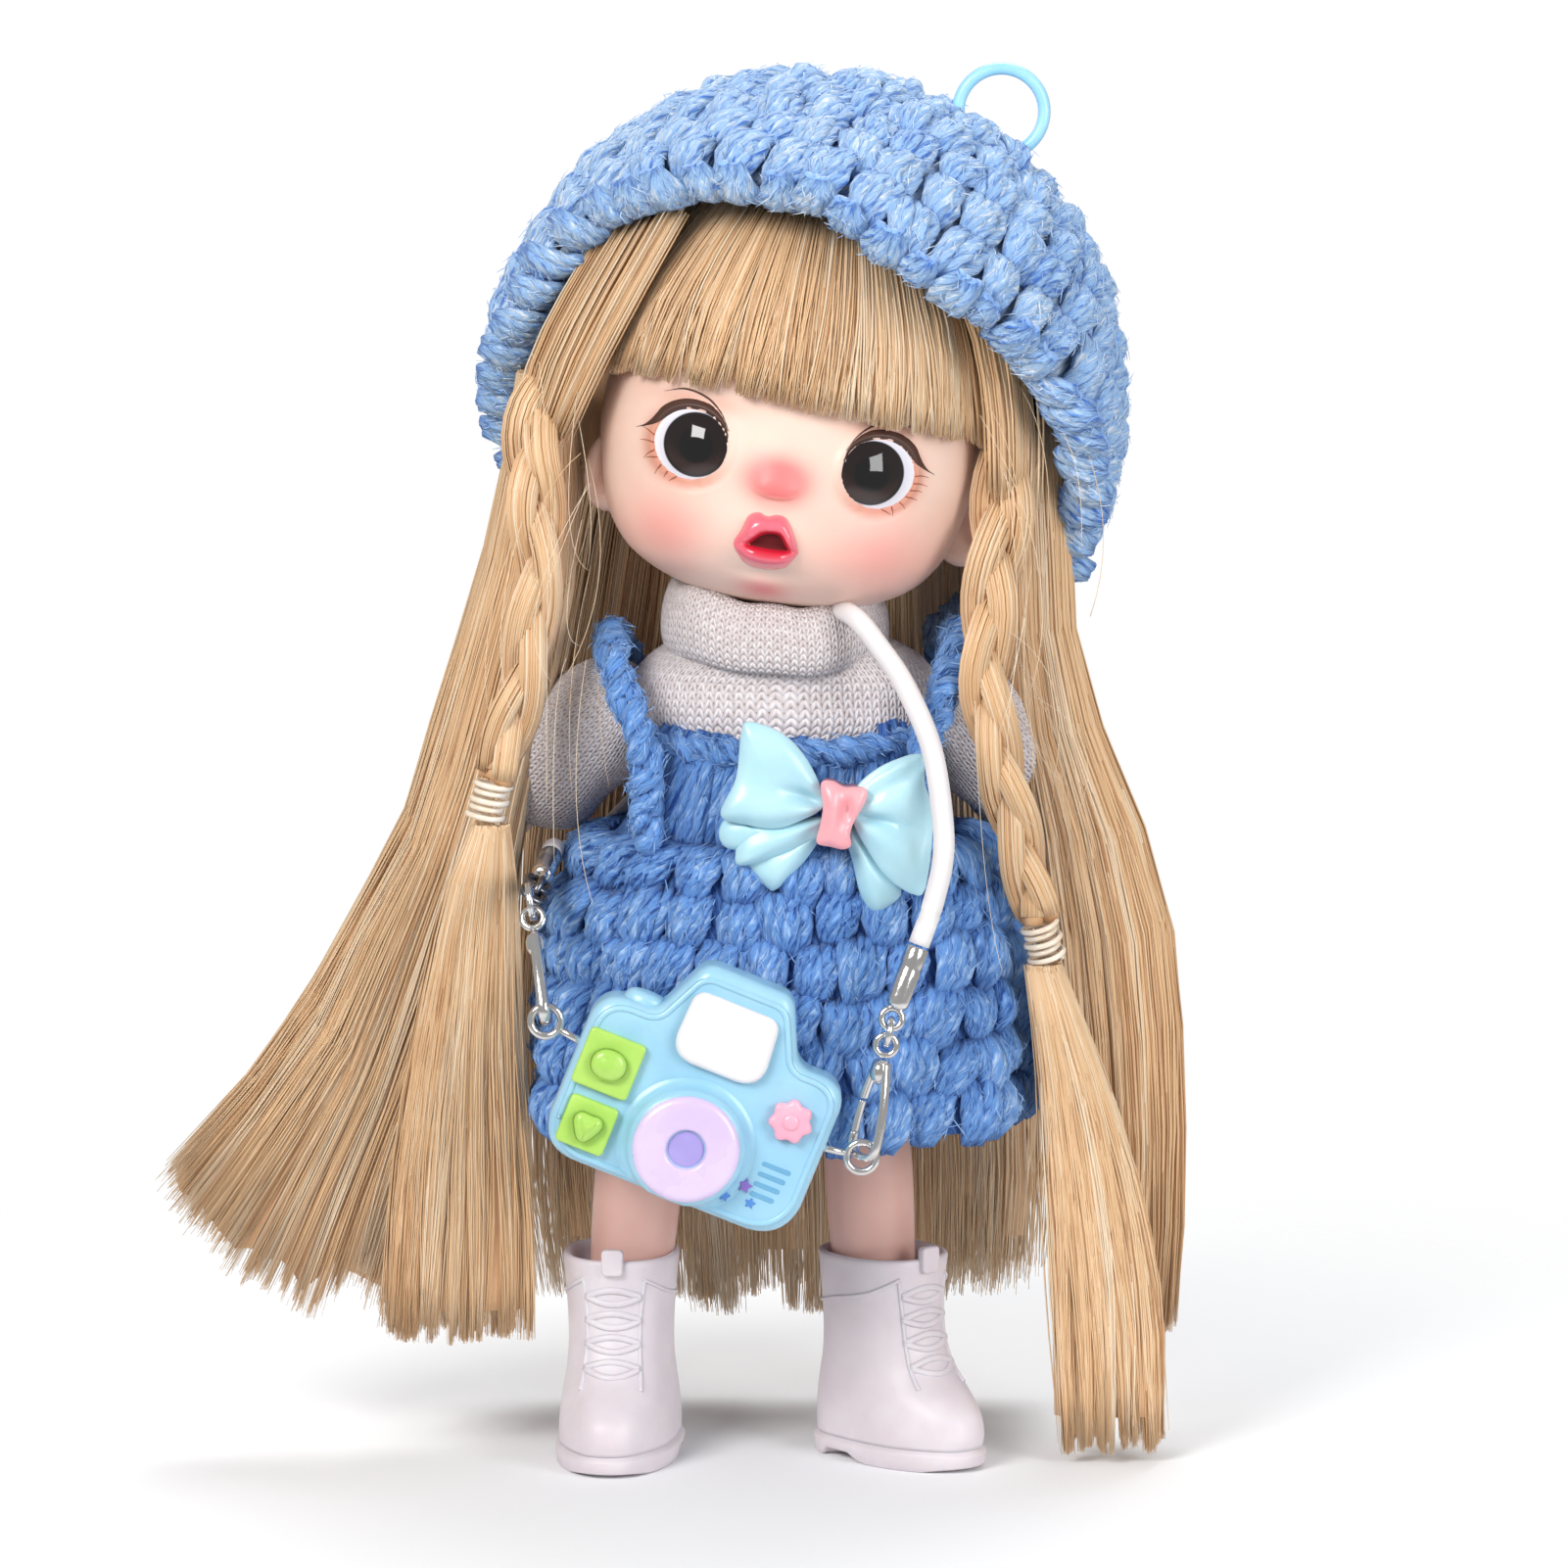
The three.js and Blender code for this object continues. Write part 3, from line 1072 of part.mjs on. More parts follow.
function disc(radius, depth, at, sides = 18) {
  const profile = [[0, 0], [radius, 0], [radius, depth * 0.75], [radius - depth * 0.25, depth], [0, depth]];
  return solid(revolve(profile, sides).rotateX(Math.PI / 2).translate(at.x, at.y, at.z));
}

function flowerShape(radius, petals = 6) {
  const points = [];
  const samples = petals * 4;
  for (let i = 0; i < samples; i += 1) {
    const a = (2 * Math.PI * i) / samples;
    const r = radius * (0.84 + 0.16 * Math.cos(petals * a));
    points.push(new THREE.Vector2(r * Math.cos(a), r * Math.sin(a)));
  }
  return new THREE.Shape(points);
}

function onFace(shape, at, depth) {
  return solid(plate(shape, depth).translate(at.x, at.y, at.z));
}

/** Trim pieces that sit in shallow seats in the camera's front. */
function trimSolids(grow = 0) {
  const sunk = TRIM_THICKNESS / 2;
  const seat = (at) => vec(at.x, at.y + sunk + grow, at.z);
  const deep = TRIM_THICKNESS + sunk + grow;
  const square = (size) => roundedRect(size + 2 * grow, size + 2 * grow, size * 0.12);
  const dome = (at, wide, tall) => {
    const top = vec(at.x, at.y - TRIM_THICKNESS * 0.8, at.z);
    return solid(ellipsoid(wide, TRIM_THICKNESS, tall, top, 10, 6));
  };
  const coverWide = FLASH_COVER_SIZE + 2 * grow;
  const coverTall = FLASH_COVER_SIZE * 0.9 + 2 * grow;
  const cover = roundedRect(coverWide, coverTall, FLASH_COVER_SIZE * 0.22);
  const ringSeat = vec(LENS_AT.x, LENS_AT.y - LENS_BARREL_LENGTH + sunk + grow, LENS_AT.z);
  const ring = disc(LENS_RING_RADIUS + grow, deep, ringSeat);
  const bore = revolve(bar(LENS_BUTTON_RADIUS + FIT_GAP, deep * 2, -deep), 20).rotateX(Math.PI / 2);
  const hole = solid(bore.translate(ringSeat.x, ringSeat.y, ringSeat.z));
  const upperDome = UPPER_TILE_SIZE * 0.32;
  return {
    flash_cover: onFace(cover, seat(FLASH_AT), deep),
    lens_ring: grow ? ring : ring.subtract(hole),
    lens_button: disc(LENS_BUTTON_RADIUS + grow, deep * 0.7, ringSeat, 18),
    upper_green_tile: onFace(square(UPPER_TILE_SIZE), seat(UPPER_TILE_AT), deep)
      .add(dome(UPPER_TILE_AT, upperDome, upperDome)),
    lower_green_tile: onFace(square(LOWER_TILE_SIZE), seat(LOWER_TILE_AT), deep)
      .add(dome(LOWER_TILE_AT, LOWER_TILE_SIZE * 0.34, LOWER_TILE_SIZE * 0.26)),
    flower_button: onFace(flowerShape(FLOWER_RADIUS + grow), seat(FLOWER_AT), deep),
  };
}

/** Screw eye: an upright ring beside the camera, with a shank into the body. */
function lug(at, towards, grow = 0) {
  const centre = vec(...at);
  const ring = new THREE.TorusGeometry(LUG_RING_RADIUS, LUG_WIRE_RADIUS + grow, 6, 12);
  const axis = vec(0, 1, 0);
  const shankWay = towards.clone().sub(centre).normalize();
  const from = centre.clone().addScaledVector(shankWay, LUG_RING_RADIUS);
  const to = from.clone().addScaledVector(shankWay, LUG_SHANK_LENGTH + grow);
  const shank = revolve(bar(LUG_WIRE_RADIUS + grow, from.distanceTo(to)), 8);
  return solid(ring, along(centre, centre.clone().add(axis))).add(solid(shank, along(from, to)));
}

const lugSeat = (side, rise) =>
  vec(CAMERA_MIDDLE + side * CAMERA_WIDTH * 0.3, 0, CAMERA_HEIGHT * rise).applyMatrix4(cameraFrame);
const frontLugSeat = () => lugSeat(1, 0.05);
const rearLugSeat = () => lugSeat(-1, 0.1);

function cameraBody() {
  const block = plate(roundedRect(CAMERA_WIDTH, CAMERA_HEIGHT, CAMERA_CORNER), CAMERA_DEPTH);
  let body = solid(block.translate(CAMERA_MIDDLE, CAMERA_DEPTH / 2, 0));
  const humpSide = [[0.62, 0], [0.46, 0.9], [0.36, 1.1]];
  const corner = (side) => ([x, z]) => new THREE.Vector2(side * x * PRISM_WIDTH, z * PRISM_HEIGHT);
  const hump = new THREE.Shape([...humpSide.map(corner(1)), ...humpSide.map(corner(-1)).reverse()]);
  const humpFoot = CAMERA_HEIGHT / 2 - PRISM_HEIGHT * 0.1;
  const prism = plate(hump, CAMERA_DEPTH).translate(CAMERA_MIDDLE, CAMERA_DEPTH / 2, humpFoot);
  body = body.add(solid(prism));
  body = body.add(disc(LENS_BARREL_RADIUS, LENS_BARREL_LENGTH, LENS_AT));
  const bump = vec(CAMERA_MIDDLE - CAMERA_WIDTH * 0.32, 0, CAMERA_HEIGHT / 2);
  const bumpSize = [CAMERA_DEPTH * 0.42, CAMERA_DEPTH * 0.3, TRIM_THICKNESS * 0.7];
  body = body.add(solid(ellipsoid(...bumpSize, bump, 12, 6)));
  for (const trim of Object.values(trimSolids(FIT_GAP))) body = body.subtract(trim);
  for (let i = 0; i < GRILLE_SLOTS; i += 1) {
    const rise = (i - (GRILLE_SLOTS - 1) / 2) * GRILLE_PITCH;
    const slot = new THREE.BoxGeometry(CAMERA_WIDTH * 0.1, TRIM_THICKNESS, GRILLE_PITCH / 2)
      .translate(GRILLE_AT.x, GRILLE_AT.y, GRILLE_AT.z + rise);
    body = body.subtract(solid(slot));
  }
  body = body.transform(cameraFrame.elements);
  body = body.subtract(lug(FRONT_LUG, frontLugSeat(), FIT_GAP));
  return body.subtract(lug(REAR_LUG, rearLugSeat(), FIT_GAP));
}

function buildCamera() {
  const group = new THREE.Group();
  group.add(piece('camera_body', cameraBody(), CAMERA_RESIN));
  const looks = {
    flash_cover: WHITE_RESIN, lens_ring: LAVENDER_RESIN, lens_button: VIOLET_RESIN,
    upper_green_tile: GREEN_RESIN, lower_green_tile: GREEN_RESIN, flower_button: PINK_RESIN,
  };
  for (const [name, body] of Object.entries(trimSolids())) {
    group.add(piece(name, body.transform(cameraFrame.elements), looks[name]));
  }
  group.add(piece('front_lug', lug(FRONT_LUG, frontLugSeat()), STEEL));
  group.add(piece('rear_lug', lug(REAR_LUG, rearLugSeat()), STEEL));
  return group;
}

// Strap: white cord between two ferrules, chain and split ring behind, clip-on hooks at both ends

const INTERLOCK = 2 * LINK_WIRE_RADIUS + FIT_GAP;

function strapCord(grow = 0) {
  const rear = rearFerruleEnds();
  const front = frontFerruleEnds();
  const gap = FIT_GAP - grow;
  const start = front.top.clone().addScaledVector(front.way, gap);
  const end = rear.top.clone().addScaledVector(rear.way, gap);
  const lead = STRAP_CORD_RADIUS * 2;
  const points = [
    start, start.clone().addScaledVector(front.way, lead), ...route(STRAP_ROUTE),
    end.clone().addScaledVector(rear.way, lead), end,
  ];
  return solid(tube(points, STRAP_CORD_RADIUS + grow, { sides: 8, steps: 34 }));
}

/** Ferrule's tip, its cord end and its heading from tip to cord. */
function frontFerruleEnds() {
  const tip = vec(...FERRULE_TIP);
  const way = vec(...STRAP_ROUTE[0]).sub(tip).normalize();
  return { tip, way, top: tip.clone().addScaledVector(way, FERRULE_LENGTH) };
}

const hookHeading = () => vec(...REAR_HOOK_TOP).sub(vec(...REAR_LUG)).normalize();
const hookEyeAt = () => {
  const drop = EYE_RING_RADIUS + SPLIT_RING_RADIUS - INTERLOCK;
  return vec(...REAR_HOOK_TOP).addScaledVector(hookHeading(), -drop);
};
const chainHeading = () => vec(...CHAIN_AIM).sub(vec(...REAR_HOOK_TOP)).normalize();

function chainAt(index) {
  const first = SPLIT_RING_RADIUS + LINK_RING_RADIUS - INTERLOCK;
  const pitch = 2 * LINK_RING_RADIUS - INTERLOCK;
  return vec(...REAR_HOOK_TOP).addScaledVector(chainHeading(), first + pitch * index);
}

function rearFerruleEnds() {
  const way = chainHeading();
  const eye = chainAt(CHAIN_LINKS - 1).addScaledVector(way, LINK_RING_RADIUS + EYE_RING_RADIUS - INTERLOCK);
  const tip = eye.clone().addScaledVector(way, EYE_RING_RADIUS);
  return { tip, way, top: tip.clone().addScaledVector(way, FERRULE_LENGTH), eye };
}

/** Ring of wire whose plane holds `heading`; `turned` swaps it to the other upright plane. */
function wireRing(radius, centre, heading, turned) {
  const across = vec(0, 1, 0).cross(heading).normalize();
  const normal = turned ? across : across.clone().cross(heading).normalize();
  const ring = new THREE.TorusGeometry(radius, LINK_WIRE_RADIUS, 5, 10);
  return solid(ring, along(centre, centre.clone().add(normal)));
}

function ferrule({ tip, way, top }, turned) {
  const length = tip.distanceTo(top);
  const r = FERRULE_RADIUS;
  const profile = [[0, 0], [r * 0.6, 0], [r, r * 0.5], [r, length], [0, length]];
  const eye = tip.clone().addScaledVector(way, -EYE_RING_RADIUS);
  return solid(revolve(profile, 14), along(tip, top)).add(wireRing(EYE_RING_RADIUS, eye, way, turned));
}

/** Flat spring clip from its eye down to the bar that carries the lug. */
function clip(eye, rod, width, turn) {
  const way = rod.clone().sub(eye).normalize();
  const length = eye.distanceTo(rod) + CLASP_BAR / 2;
  const across = vec(0, 1, 0).cross(way).normalize().applyAxisAngle(way, rad(turn));
  const face = way.clone().cross(across).normalize();
  const frame = new THREE.Matrix4().makeBasis(across, way, face).setPosition(eye);
  const outline = (inset) => {
    const w = width / 2 - inset;
    const top = EYE_RING_RADIUS + inset * 2.2;
    const bottom = length - inset;
    const shape = new THREE.Shape().moveTo(-w * 0.36, top);
    shape.lineTo(w * 0.36, top);
    shape.bezierCurveTo(w * 0.8, length * 0.4, w, length * 0.55, w, bottom - w * 0.9);
    shape.bezierCurveTo(w, bottom - w * 0.2, w * 0.5, bottom, 0, bottom);
    shape.bezierCurveTo(-w * 0.5, bottom, -w, bottom - w * 0.2, -w, bottom - w * 0.9);
    shape.bezierCurveTo(-w, length * 0.55, -w * 0.8, length * 0.4, -w * 0.36, top);
    return shape;
  };
  const slab = (shape, depth) => {
    const settings = { depth, bevelEnabled: false, curveSegments: 3 };
    return solid(new THREE.ExtrudeGeometry(shape, settings).translate(0, 0, -depth / 2));
  };
  const ring = slab(outline(0), CLASP_THICKNESS).subtract(slab(outline(CLASP_BAR), CLASP_THICKNESS * 2));
  const gateTop = length * 0.46;
  const gateEnd = length * 0.8;
  const gateRegion = (gap) => {
    const tall = gateEnd - gateTop - 2 * gap;
    const block = new THREE.BoxGeometry(width, tall, CLASP_THICKNESS * 3);
    return solid(block.translate(width / 2 + FIT_GAP, (gateTop + gateEnd) / 2, 0));
  };
  const body = ring.subtract(gateRegion(0)).transform(frame.elements);
  const gate = ring.intersect(gateRegion(FIT_GAP)).transform(frame.elements);
  const pivot = vec(width / 2 - CLASP_BAR / 2, gateTop + FIT_GAP, 0).applyMatrix4(frame);
  return { body, gate, pivot, face, way };
}

function clasps() {
  const front = frontFerruleEnds();
  const eye = front.tip.clone().addScaledVector(front.way, -EYE_RING_RADIUS);
  const lugAt = vec(...FRONT_LUG);
  const way = lugAt.clone().sub(eye).normalize();
  const link = eye.clone().addScaledVector(way, EYE_RING_RADIUS + LINK_RING_RADIUS - INTERLOCK);
  const claspEye = link.clone().addScaledVector(way, EYE_RING_RADIUS + LINK_RING_RADIUS - INTERLOCK);
  const lobster = clip(claspEye, lugAt, CLASP_WIDTH, CLASP_TURN);
  const hookBase = hookEyeAt();
  const hook = clip(hookBase, vec(...REAR_LUG), HOOK_WIDTH, HOOK_TURN);
  return { way, link, claspEye, lobster, hookBase, hook };
}

function buildStrap() {
  const group = new THREE.Group();
  const { way, link: linkAt, claspEye, lobster, hookBase, hook } = clasps();
  const front = frontFerruleEnds();
  const rear = rearFerruleEnds();
  group.add(piece('strap_cord', strapCord(), CORD_WHITE));
  group.add(piece('front_ferrule', ferrule(front, false), STEEL));
  group.add(piece('ferrule_link', wireRing(LINK_RING_RADIUS, linkAt, way, true), STEEL));
  const claspRing = wireRing(EYE_RING_RADIUS, claspEye, way, false);
  const hookRing = wireRing(EYE_RING_RADIUS, hookBase, hook.way, false);
  const splitRing = wireRing(SPLIT_RING_RADIUS, vec(...REAR_HOOK_TOP), hookHeading(), true);
  group.add(piece('lobster_body', lobster.body.add(claspRing), STEEL));
  group.add(piece('lobster_lever', lobster.gate, STEEL));
  group.add(piece('hook_body', hook.body.add(hookRing), STEEL));
  group.add(piece('hook_gate', hook.gate, STEEL));
  group.add(piece('split_ring', splitRing, STEEL));
  for (let i = 0; i < CHAIN_LINKS; i += 1) {
    const link = wireRing(LINK_RING_RADIUS, chainAt(i), chainHeading(), i % 2 === 1);
    group.add(piece(`chain_link_${i + 1}`, link, DARK_STEEL));
  }
  group.add(piece('rear_ferrule', ferrule(rear, CHAIN_LINKS % 2 === 1), STEEL));
  return group;
}

// Bow: cast loops and tails with a hollow behind the knot, sewn to the bib

const BOW_BACK_Y = NECK_Y - DRESS_WAIST_HALF_DEPTH - CLOTH_GAP * 1.6;

function bowFrame() {
  return new THREE.Matrix4().makeRotationY(rad(BOW_TILT)).setPosition(BOW_X, BOW_BACK_Y, BOW_Z);
}

function bowLobe(side) {
  const l = BOW_LOOP_LENGTH;
  const h = BOW_LOOP_HEIGHT / 2;
  const shape = new THREE.Shape().moveTo(0, h * 0.3);
  shape.bezierCurveTo(side * l * 0.3, h * 0.6, side * l * 0.6, h * 1.15, side * l * 0.92, h * 1.05);
  shape.bezierCurveTo(side * l * 1.02, h * 0.4, side * l * 1.02, -h * 0.4, side * l * 0.84, -h * 0.86);
  shape.bezierCurveTo(side * l * 0.6, -h * 0.8, side * l * 0.3, -h * 0.5, 0, -h * 0.3);
  return shape;
}

function bowTail(side) {
  const l = BOW_TAIL_LENGTH;
  const w = BOW_LOOP_HEIGHT * 0.3;
  const shape = new THREE.Shape().moveTo(side * w * 0.1, 0);
  shape.bezierCurveTo(side * w * 0.6, -l * 0.4, side * w, -l * 0.7, side * w * 1.1, -l);
  shape.lineTo(side * w * 2, -l * 0.78);
  shape.bezierCurveTo(side * w * 1.8, -l * 0.4, side * w * 1.2, -l * 0.2, side * w * 0.9, 0);
  return shape;
}

function buildBow() {
  const group = new THREE.Group();
  const thin = BOW_THICKNESS * 0.5;
  const bridge = roundedRect(BOW_KNOT_WIDTH, BOW_KNOT_HEIGHT * 0.7, BOW_KNOT_WIDTH * 0.2);
  let bow = solid(plate(bridge, thin));
  for (const side of [-1, 1]) {
    bow = bow.add(solid(plate(bowLobe(side), BOW_THICKNESS)));
    bow = bow.add(solid(plate(bowTail(side), thin)));
    const dentSize = [BOW_LOOP_LENGTH * 0.34, BOW_THICKNESS * 0.5, BOW_LOOP_HEIGHT * 0.2];
    const dent = ellipsoid(...dentSize, vec(side * BOW_LOOP_LENGTH * 0.62, -BOW_THICKNESS, 0), 10, 6);
    bow = bow.subtract(solid(dent));
  }
  const knotDeep = BOW_THICKNESS * 1.15;
  const knotAt = vec(0, -thin - FIT_GAP, 0);
  const knotPlate = (grow) => {
    const wide = BOW_KNOT_WIDTH + grow * 2;
    const outline = roundedRect(wide, BOW_KNOT_HEIGHT + grow * 2, BOW_KNOT_WIDTH * 0.3);
    return solid(plate(outline, knotDeep).translate(knotAt.x, knotAt.y + grow, knotAt.z));
  };
  bow = bow.subtract(knotPlate(FIT_GAP));
  group.add(piece('bow', bow.transform(bowFrame().elements), BOW_RESIN));
  group.add(piece('bow_knot', knotPlate(0).transform(bowFrame().elements), PINK_RESIN));
  return group;
}

// Assembly: the origin is set at the middle of the footprint, on the ground under the soles

const doll = new THREE.Group();
doll.add(buildHead(), buildBody(), buildBoots(), buildClothes(), buildHair());
doll.add(buildHat(), buildCamera(), buildStrap(), buildBow());

const bounds = new THREE.Box3().setFromObject(doll);
const footing = bounds.getCenter(vec(0, 0, 0)).setZ(bounds.min.z);
doll.position.copy(footing).negate();

/** Turning points and directions of the moving pieces, in the doll's frame. */
function pivots() {
  const { link, lobster, hook } = clasps();
  const place = (at, axis) => ({ at: at.clone().sub(footing).toArray(), axis: axis.toArray() });
  const out = loopHeading();
  const list = {
    head_turn: place(inHead(0, 0, 0), inHead(0, 0, 1).sub(inHead(0, 0, 0))),
    loop_swing: place(loopHinge(), vec(out.z, 0, -out.x)),
    camera_swing: place(link, vec(...REAR_HOOK_TOP).sub(link).normalize()),
    lobster_lever: place(lobster.pivot, lobster.face),
    hook_gate: place(hook.pivot, hook.face),
    hook_swivel: place(hookEyeAt(), hook.way),
  };
  for (const [label, side] of [['right', -1], ['left', 1]]) {
    list[`${label}_shoulder`] = place(vec(side * ARM_PLANE_X, SHOULDER_Y, SHOULDER_Z), vec(1, 0, 0));
    list[`${label}_elbow`] = place(armPoint(side, ELBOW_REACH), vec(1, 0, 0));
    list[`${label}_wrist`] = place(armPoint(side, WRIST_REACH), armDirection(side));
    list[`${label}_hip`] = place(legHip(side), vec(1, 0, 0));
    list[`${label}_knee`] = place(legKnee(side), vec(1, 0, 0));
  }
  return list;
}

doll.userData.pivots = pivots();

export default doll;
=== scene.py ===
"""Dressed model of a standing jointed doll that hangs as a pendant.

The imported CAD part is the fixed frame. Each sub-assembly below builds its own visible pieces in
millimetres in the doll's frame (face towards -Y, "right" and "left" are the doll's own), and they
are stored in metres in the row frame.
"""

import logging
import math
from dataclasses import dataclass
from enum import Enum
from typing import Any, Callable, Iterable, Sequence

import bpy
import numpy as np
from mathutils import Matrix, Vector


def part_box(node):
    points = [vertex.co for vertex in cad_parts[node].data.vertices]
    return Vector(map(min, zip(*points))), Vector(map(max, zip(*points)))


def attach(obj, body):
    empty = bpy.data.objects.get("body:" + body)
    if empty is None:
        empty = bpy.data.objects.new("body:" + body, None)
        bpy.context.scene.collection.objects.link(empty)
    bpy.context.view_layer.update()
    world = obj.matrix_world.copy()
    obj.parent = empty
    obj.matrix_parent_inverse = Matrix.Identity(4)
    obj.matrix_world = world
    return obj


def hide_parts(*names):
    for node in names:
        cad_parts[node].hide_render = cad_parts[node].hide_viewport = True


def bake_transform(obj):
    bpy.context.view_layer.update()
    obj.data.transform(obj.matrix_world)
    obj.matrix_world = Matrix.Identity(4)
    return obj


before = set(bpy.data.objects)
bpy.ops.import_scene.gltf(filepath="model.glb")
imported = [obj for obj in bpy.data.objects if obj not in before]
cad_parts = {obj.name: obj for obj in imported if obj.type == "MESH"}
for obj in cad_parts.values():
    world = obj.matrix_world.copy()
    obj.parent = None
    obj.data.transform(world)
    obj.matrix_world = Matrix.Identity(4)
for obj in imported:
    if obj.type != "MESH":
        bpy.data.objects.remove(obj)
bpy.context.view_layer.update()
LOG = logging.getLogger("doll")

MM = 0.001
FACE_SPAN = 60.0
EYE_X = 11.0
EYE_RISE = 20.1
FACE_SHIFT = -0.6
ARM_WAY = (0.5446, 0.5391, -0.6425)
SHOULDER = (21.16, 3.0, 89.5)
FACING_CAMERA = np.array([0, -1.0, 0])
Point = tuple[float, float, float]
Flat = tuple[float, float]
Colour = Point
Piece = bpy.types.Object
Array = np.ndarray


def srgb(red: int, green: int, blue: int) -> Colour:
    """Linear colour of 8-bit display values."""
    return tuple(((c / 255 + 0.055) / 1.055) ** 2.4 if c > 10 else c / 3294.6 for c in (red, green, blue))


def doll_origin() -> Array:
    """Where the doll frame's origin lies in the row frame, in millimetres, read off the torso."""
    low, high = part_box("torso")
    middle = (low + high) / 2
    return np.array([middle.x / MM, middle.y / MM - 2.0, 0.0])


ORIGIN = doll_origin()


def row(points: Any) -> Array:
    """Points of the doll's frame, in millimetres, as row-frame metres."""
    return (np.asarray(points, float) + ORIGIN) * MM


def turn(axis: str, degrees: float) -> Array:
    """Rotation matrix about a named axis."""
    return np.array(Matrix.Rotation(math.radians(degrees), 3, axis))


def unit(vectors: Array) -> Array:
    """Vectors of length one along the last axis."""
    return vectors / np.maximum(np.linalg.norm(vectors, axis=-1, keepdims=True), 1e-9)


def smoothstep(low: float, high: float, x: Any) -> Any:
    """Smooth rise from 0 at `low` to 1 at `high`."""
    t = np.clip((np.asarray(x, float) - low) / (high - low), 0, 1)
    return t * t * (3 - 2 * t)


def circle(count: int) -> Array:
    """Evenly spaced angles once around, in radians."""
    return 2 * np.pi * np.arange(count) / count


def bend(values: Array, power: float) -> Array:
    """Cosines or sines pushed out from a circle towards a rounded square."""
    return np.sign(values) * np.abs(values) ** (2 / power)


def ring_quads(rings: int, sides: int, around: bool = True) -> tuple[Array, Array]:
    """Quads between neighbouring rings of points.

    Args:
        rings: how many rings there are.
        sides: points in each ring.
        around: whether each ring is closed.

    Returns:
        Faces of shape (n, 4), and their UVs of shape (n, 4, 2) as shares of the ring and of the length.
    """
    i, j = np.meshgrid(np.arange(rings - 1), np.arange(sides if around else sides - 1), indexing="ij")
    k = (j + 1) % sides
    faces = np.stack([i * sides + j, i * sides + k, (i + 1) * sides + k, (i + 1) * sides + j], -1)
    corners = ((0, 0), (0, 1), (1, 1), (1, 0))
    uv = np.stack([np.stack([(j + b) / sides, (i + a) / (rings - 1)], -1) for a, b in corners], 2)
    return faces.reshape(-1, 4), uv.reshape(-1, 4, 2)


def spline(knots: Any, count: int) -> Array:
    """Smooth curve through points, sampled evenly along its length.

    Args:
        knots: points, shape (n, dimensions).
        count: how many samples to return.

    Returns:
        Samples of shape (count, dimensions).
    """
    p = np.asarray(knots, float)
    p = np.vstack([2 * p[0] - p[1], p, 2 * p[-1] - p[-2]])
    t = np.linspace(0, 1, 24, endpoint=False)[:, None]
    runs = []
    for a, b, c, d in zip(p, p[1:], p[2:], p[3:]):
        runs.append(0.5 * (2 * b + (c - a) * t + (2 * a - 5 * b + 4 * c - d) * t**2
                           + (3 * b - a - 3 * c + d) * t**3))
    dense = np.vstack([*runs, p[-2][None]])
    steps = np.r_[0, np.cumsum(np.linalg.norm(np.diff(dense, axis=0), axis=1))]
    where = np.linspace(0, steps[-1], count)
    return np.stack([np.interp(where, steps, dense[:, i]) for i in range(dense.shape[1])], axis=1)


class Side(Enum):
    """One of the doll's own two sides; the value is the sign of its x."""

    RIGHT = -1
    LEFT = 1

    @property
    def label(self) -> str:
        """Word that the names of this side's nodes and pieces start with."""
        return self.name.lower()

    def mirrored(self, vector: Sequence[float]) -> Array:
        """A vector given for the left side, on this side."""
        return np.array([self.value * vector[0], vector[1], vector[2]])


class Wire:
    """A socket of a shader graph that takes part in arithmetic."""

    def __init__(self, graph: "Graph", socket: Any) -> None:
        """Wraps an output socket of a node in `graph`."""
        self.graph = graph
        self.socket = socket

    def maths(self, operation: str, *others: Any) -> "Wire":
        """Math node of this value and others."""
        values = dict(enumerate((self, *others)))
        return self.graph.node("ShaderNodeMath", {"operation": operation}, values)

    def __add__(self, other: Any) -> "Wire":
        """Sum."""
        return self.maths("ADD", other)

    __radd__ = __add__

    def __mul__(self, other: Any) -> "Wire":
        """Product."""
        return self.maths("MULTIPLY", other)

    __rmul__ = __mul__

    def __sub__(self, other: Any) -> "Wire":
        """Difference."""
        return self.maths("SUBTRACT", other)

    def __rsub__(self, other: Any) -> "Wire":
        """Difference from a plain number."""
        return self.graph.node("ShaderNodeMath", {"operation": "SUBTRACT"}, {0: other, 1: self})

    def __truediv__(self, other: Any) -> "Wire":
        """Quotient."""
        return self.maths("DIVIDE", other)

    def __pow__(self, other: Any) -> "Wire":
        """Power."""
        return self.maths("POWER", other)

    def sine(self) -> "Wire":
        """Sine of an angle in radians."""
        return self.maths("SINE")

    def ramp(self, low: float, high: float) -> "Wire":
        """Smooth rise from 0 at `low` to 1 at `high`."""
        settings = {"interpolation_type": "SMOOTHSTEP"}
        return self.graph.node("ShaderNodeMapRange", settings, {0: self, 1: low, 2: high})


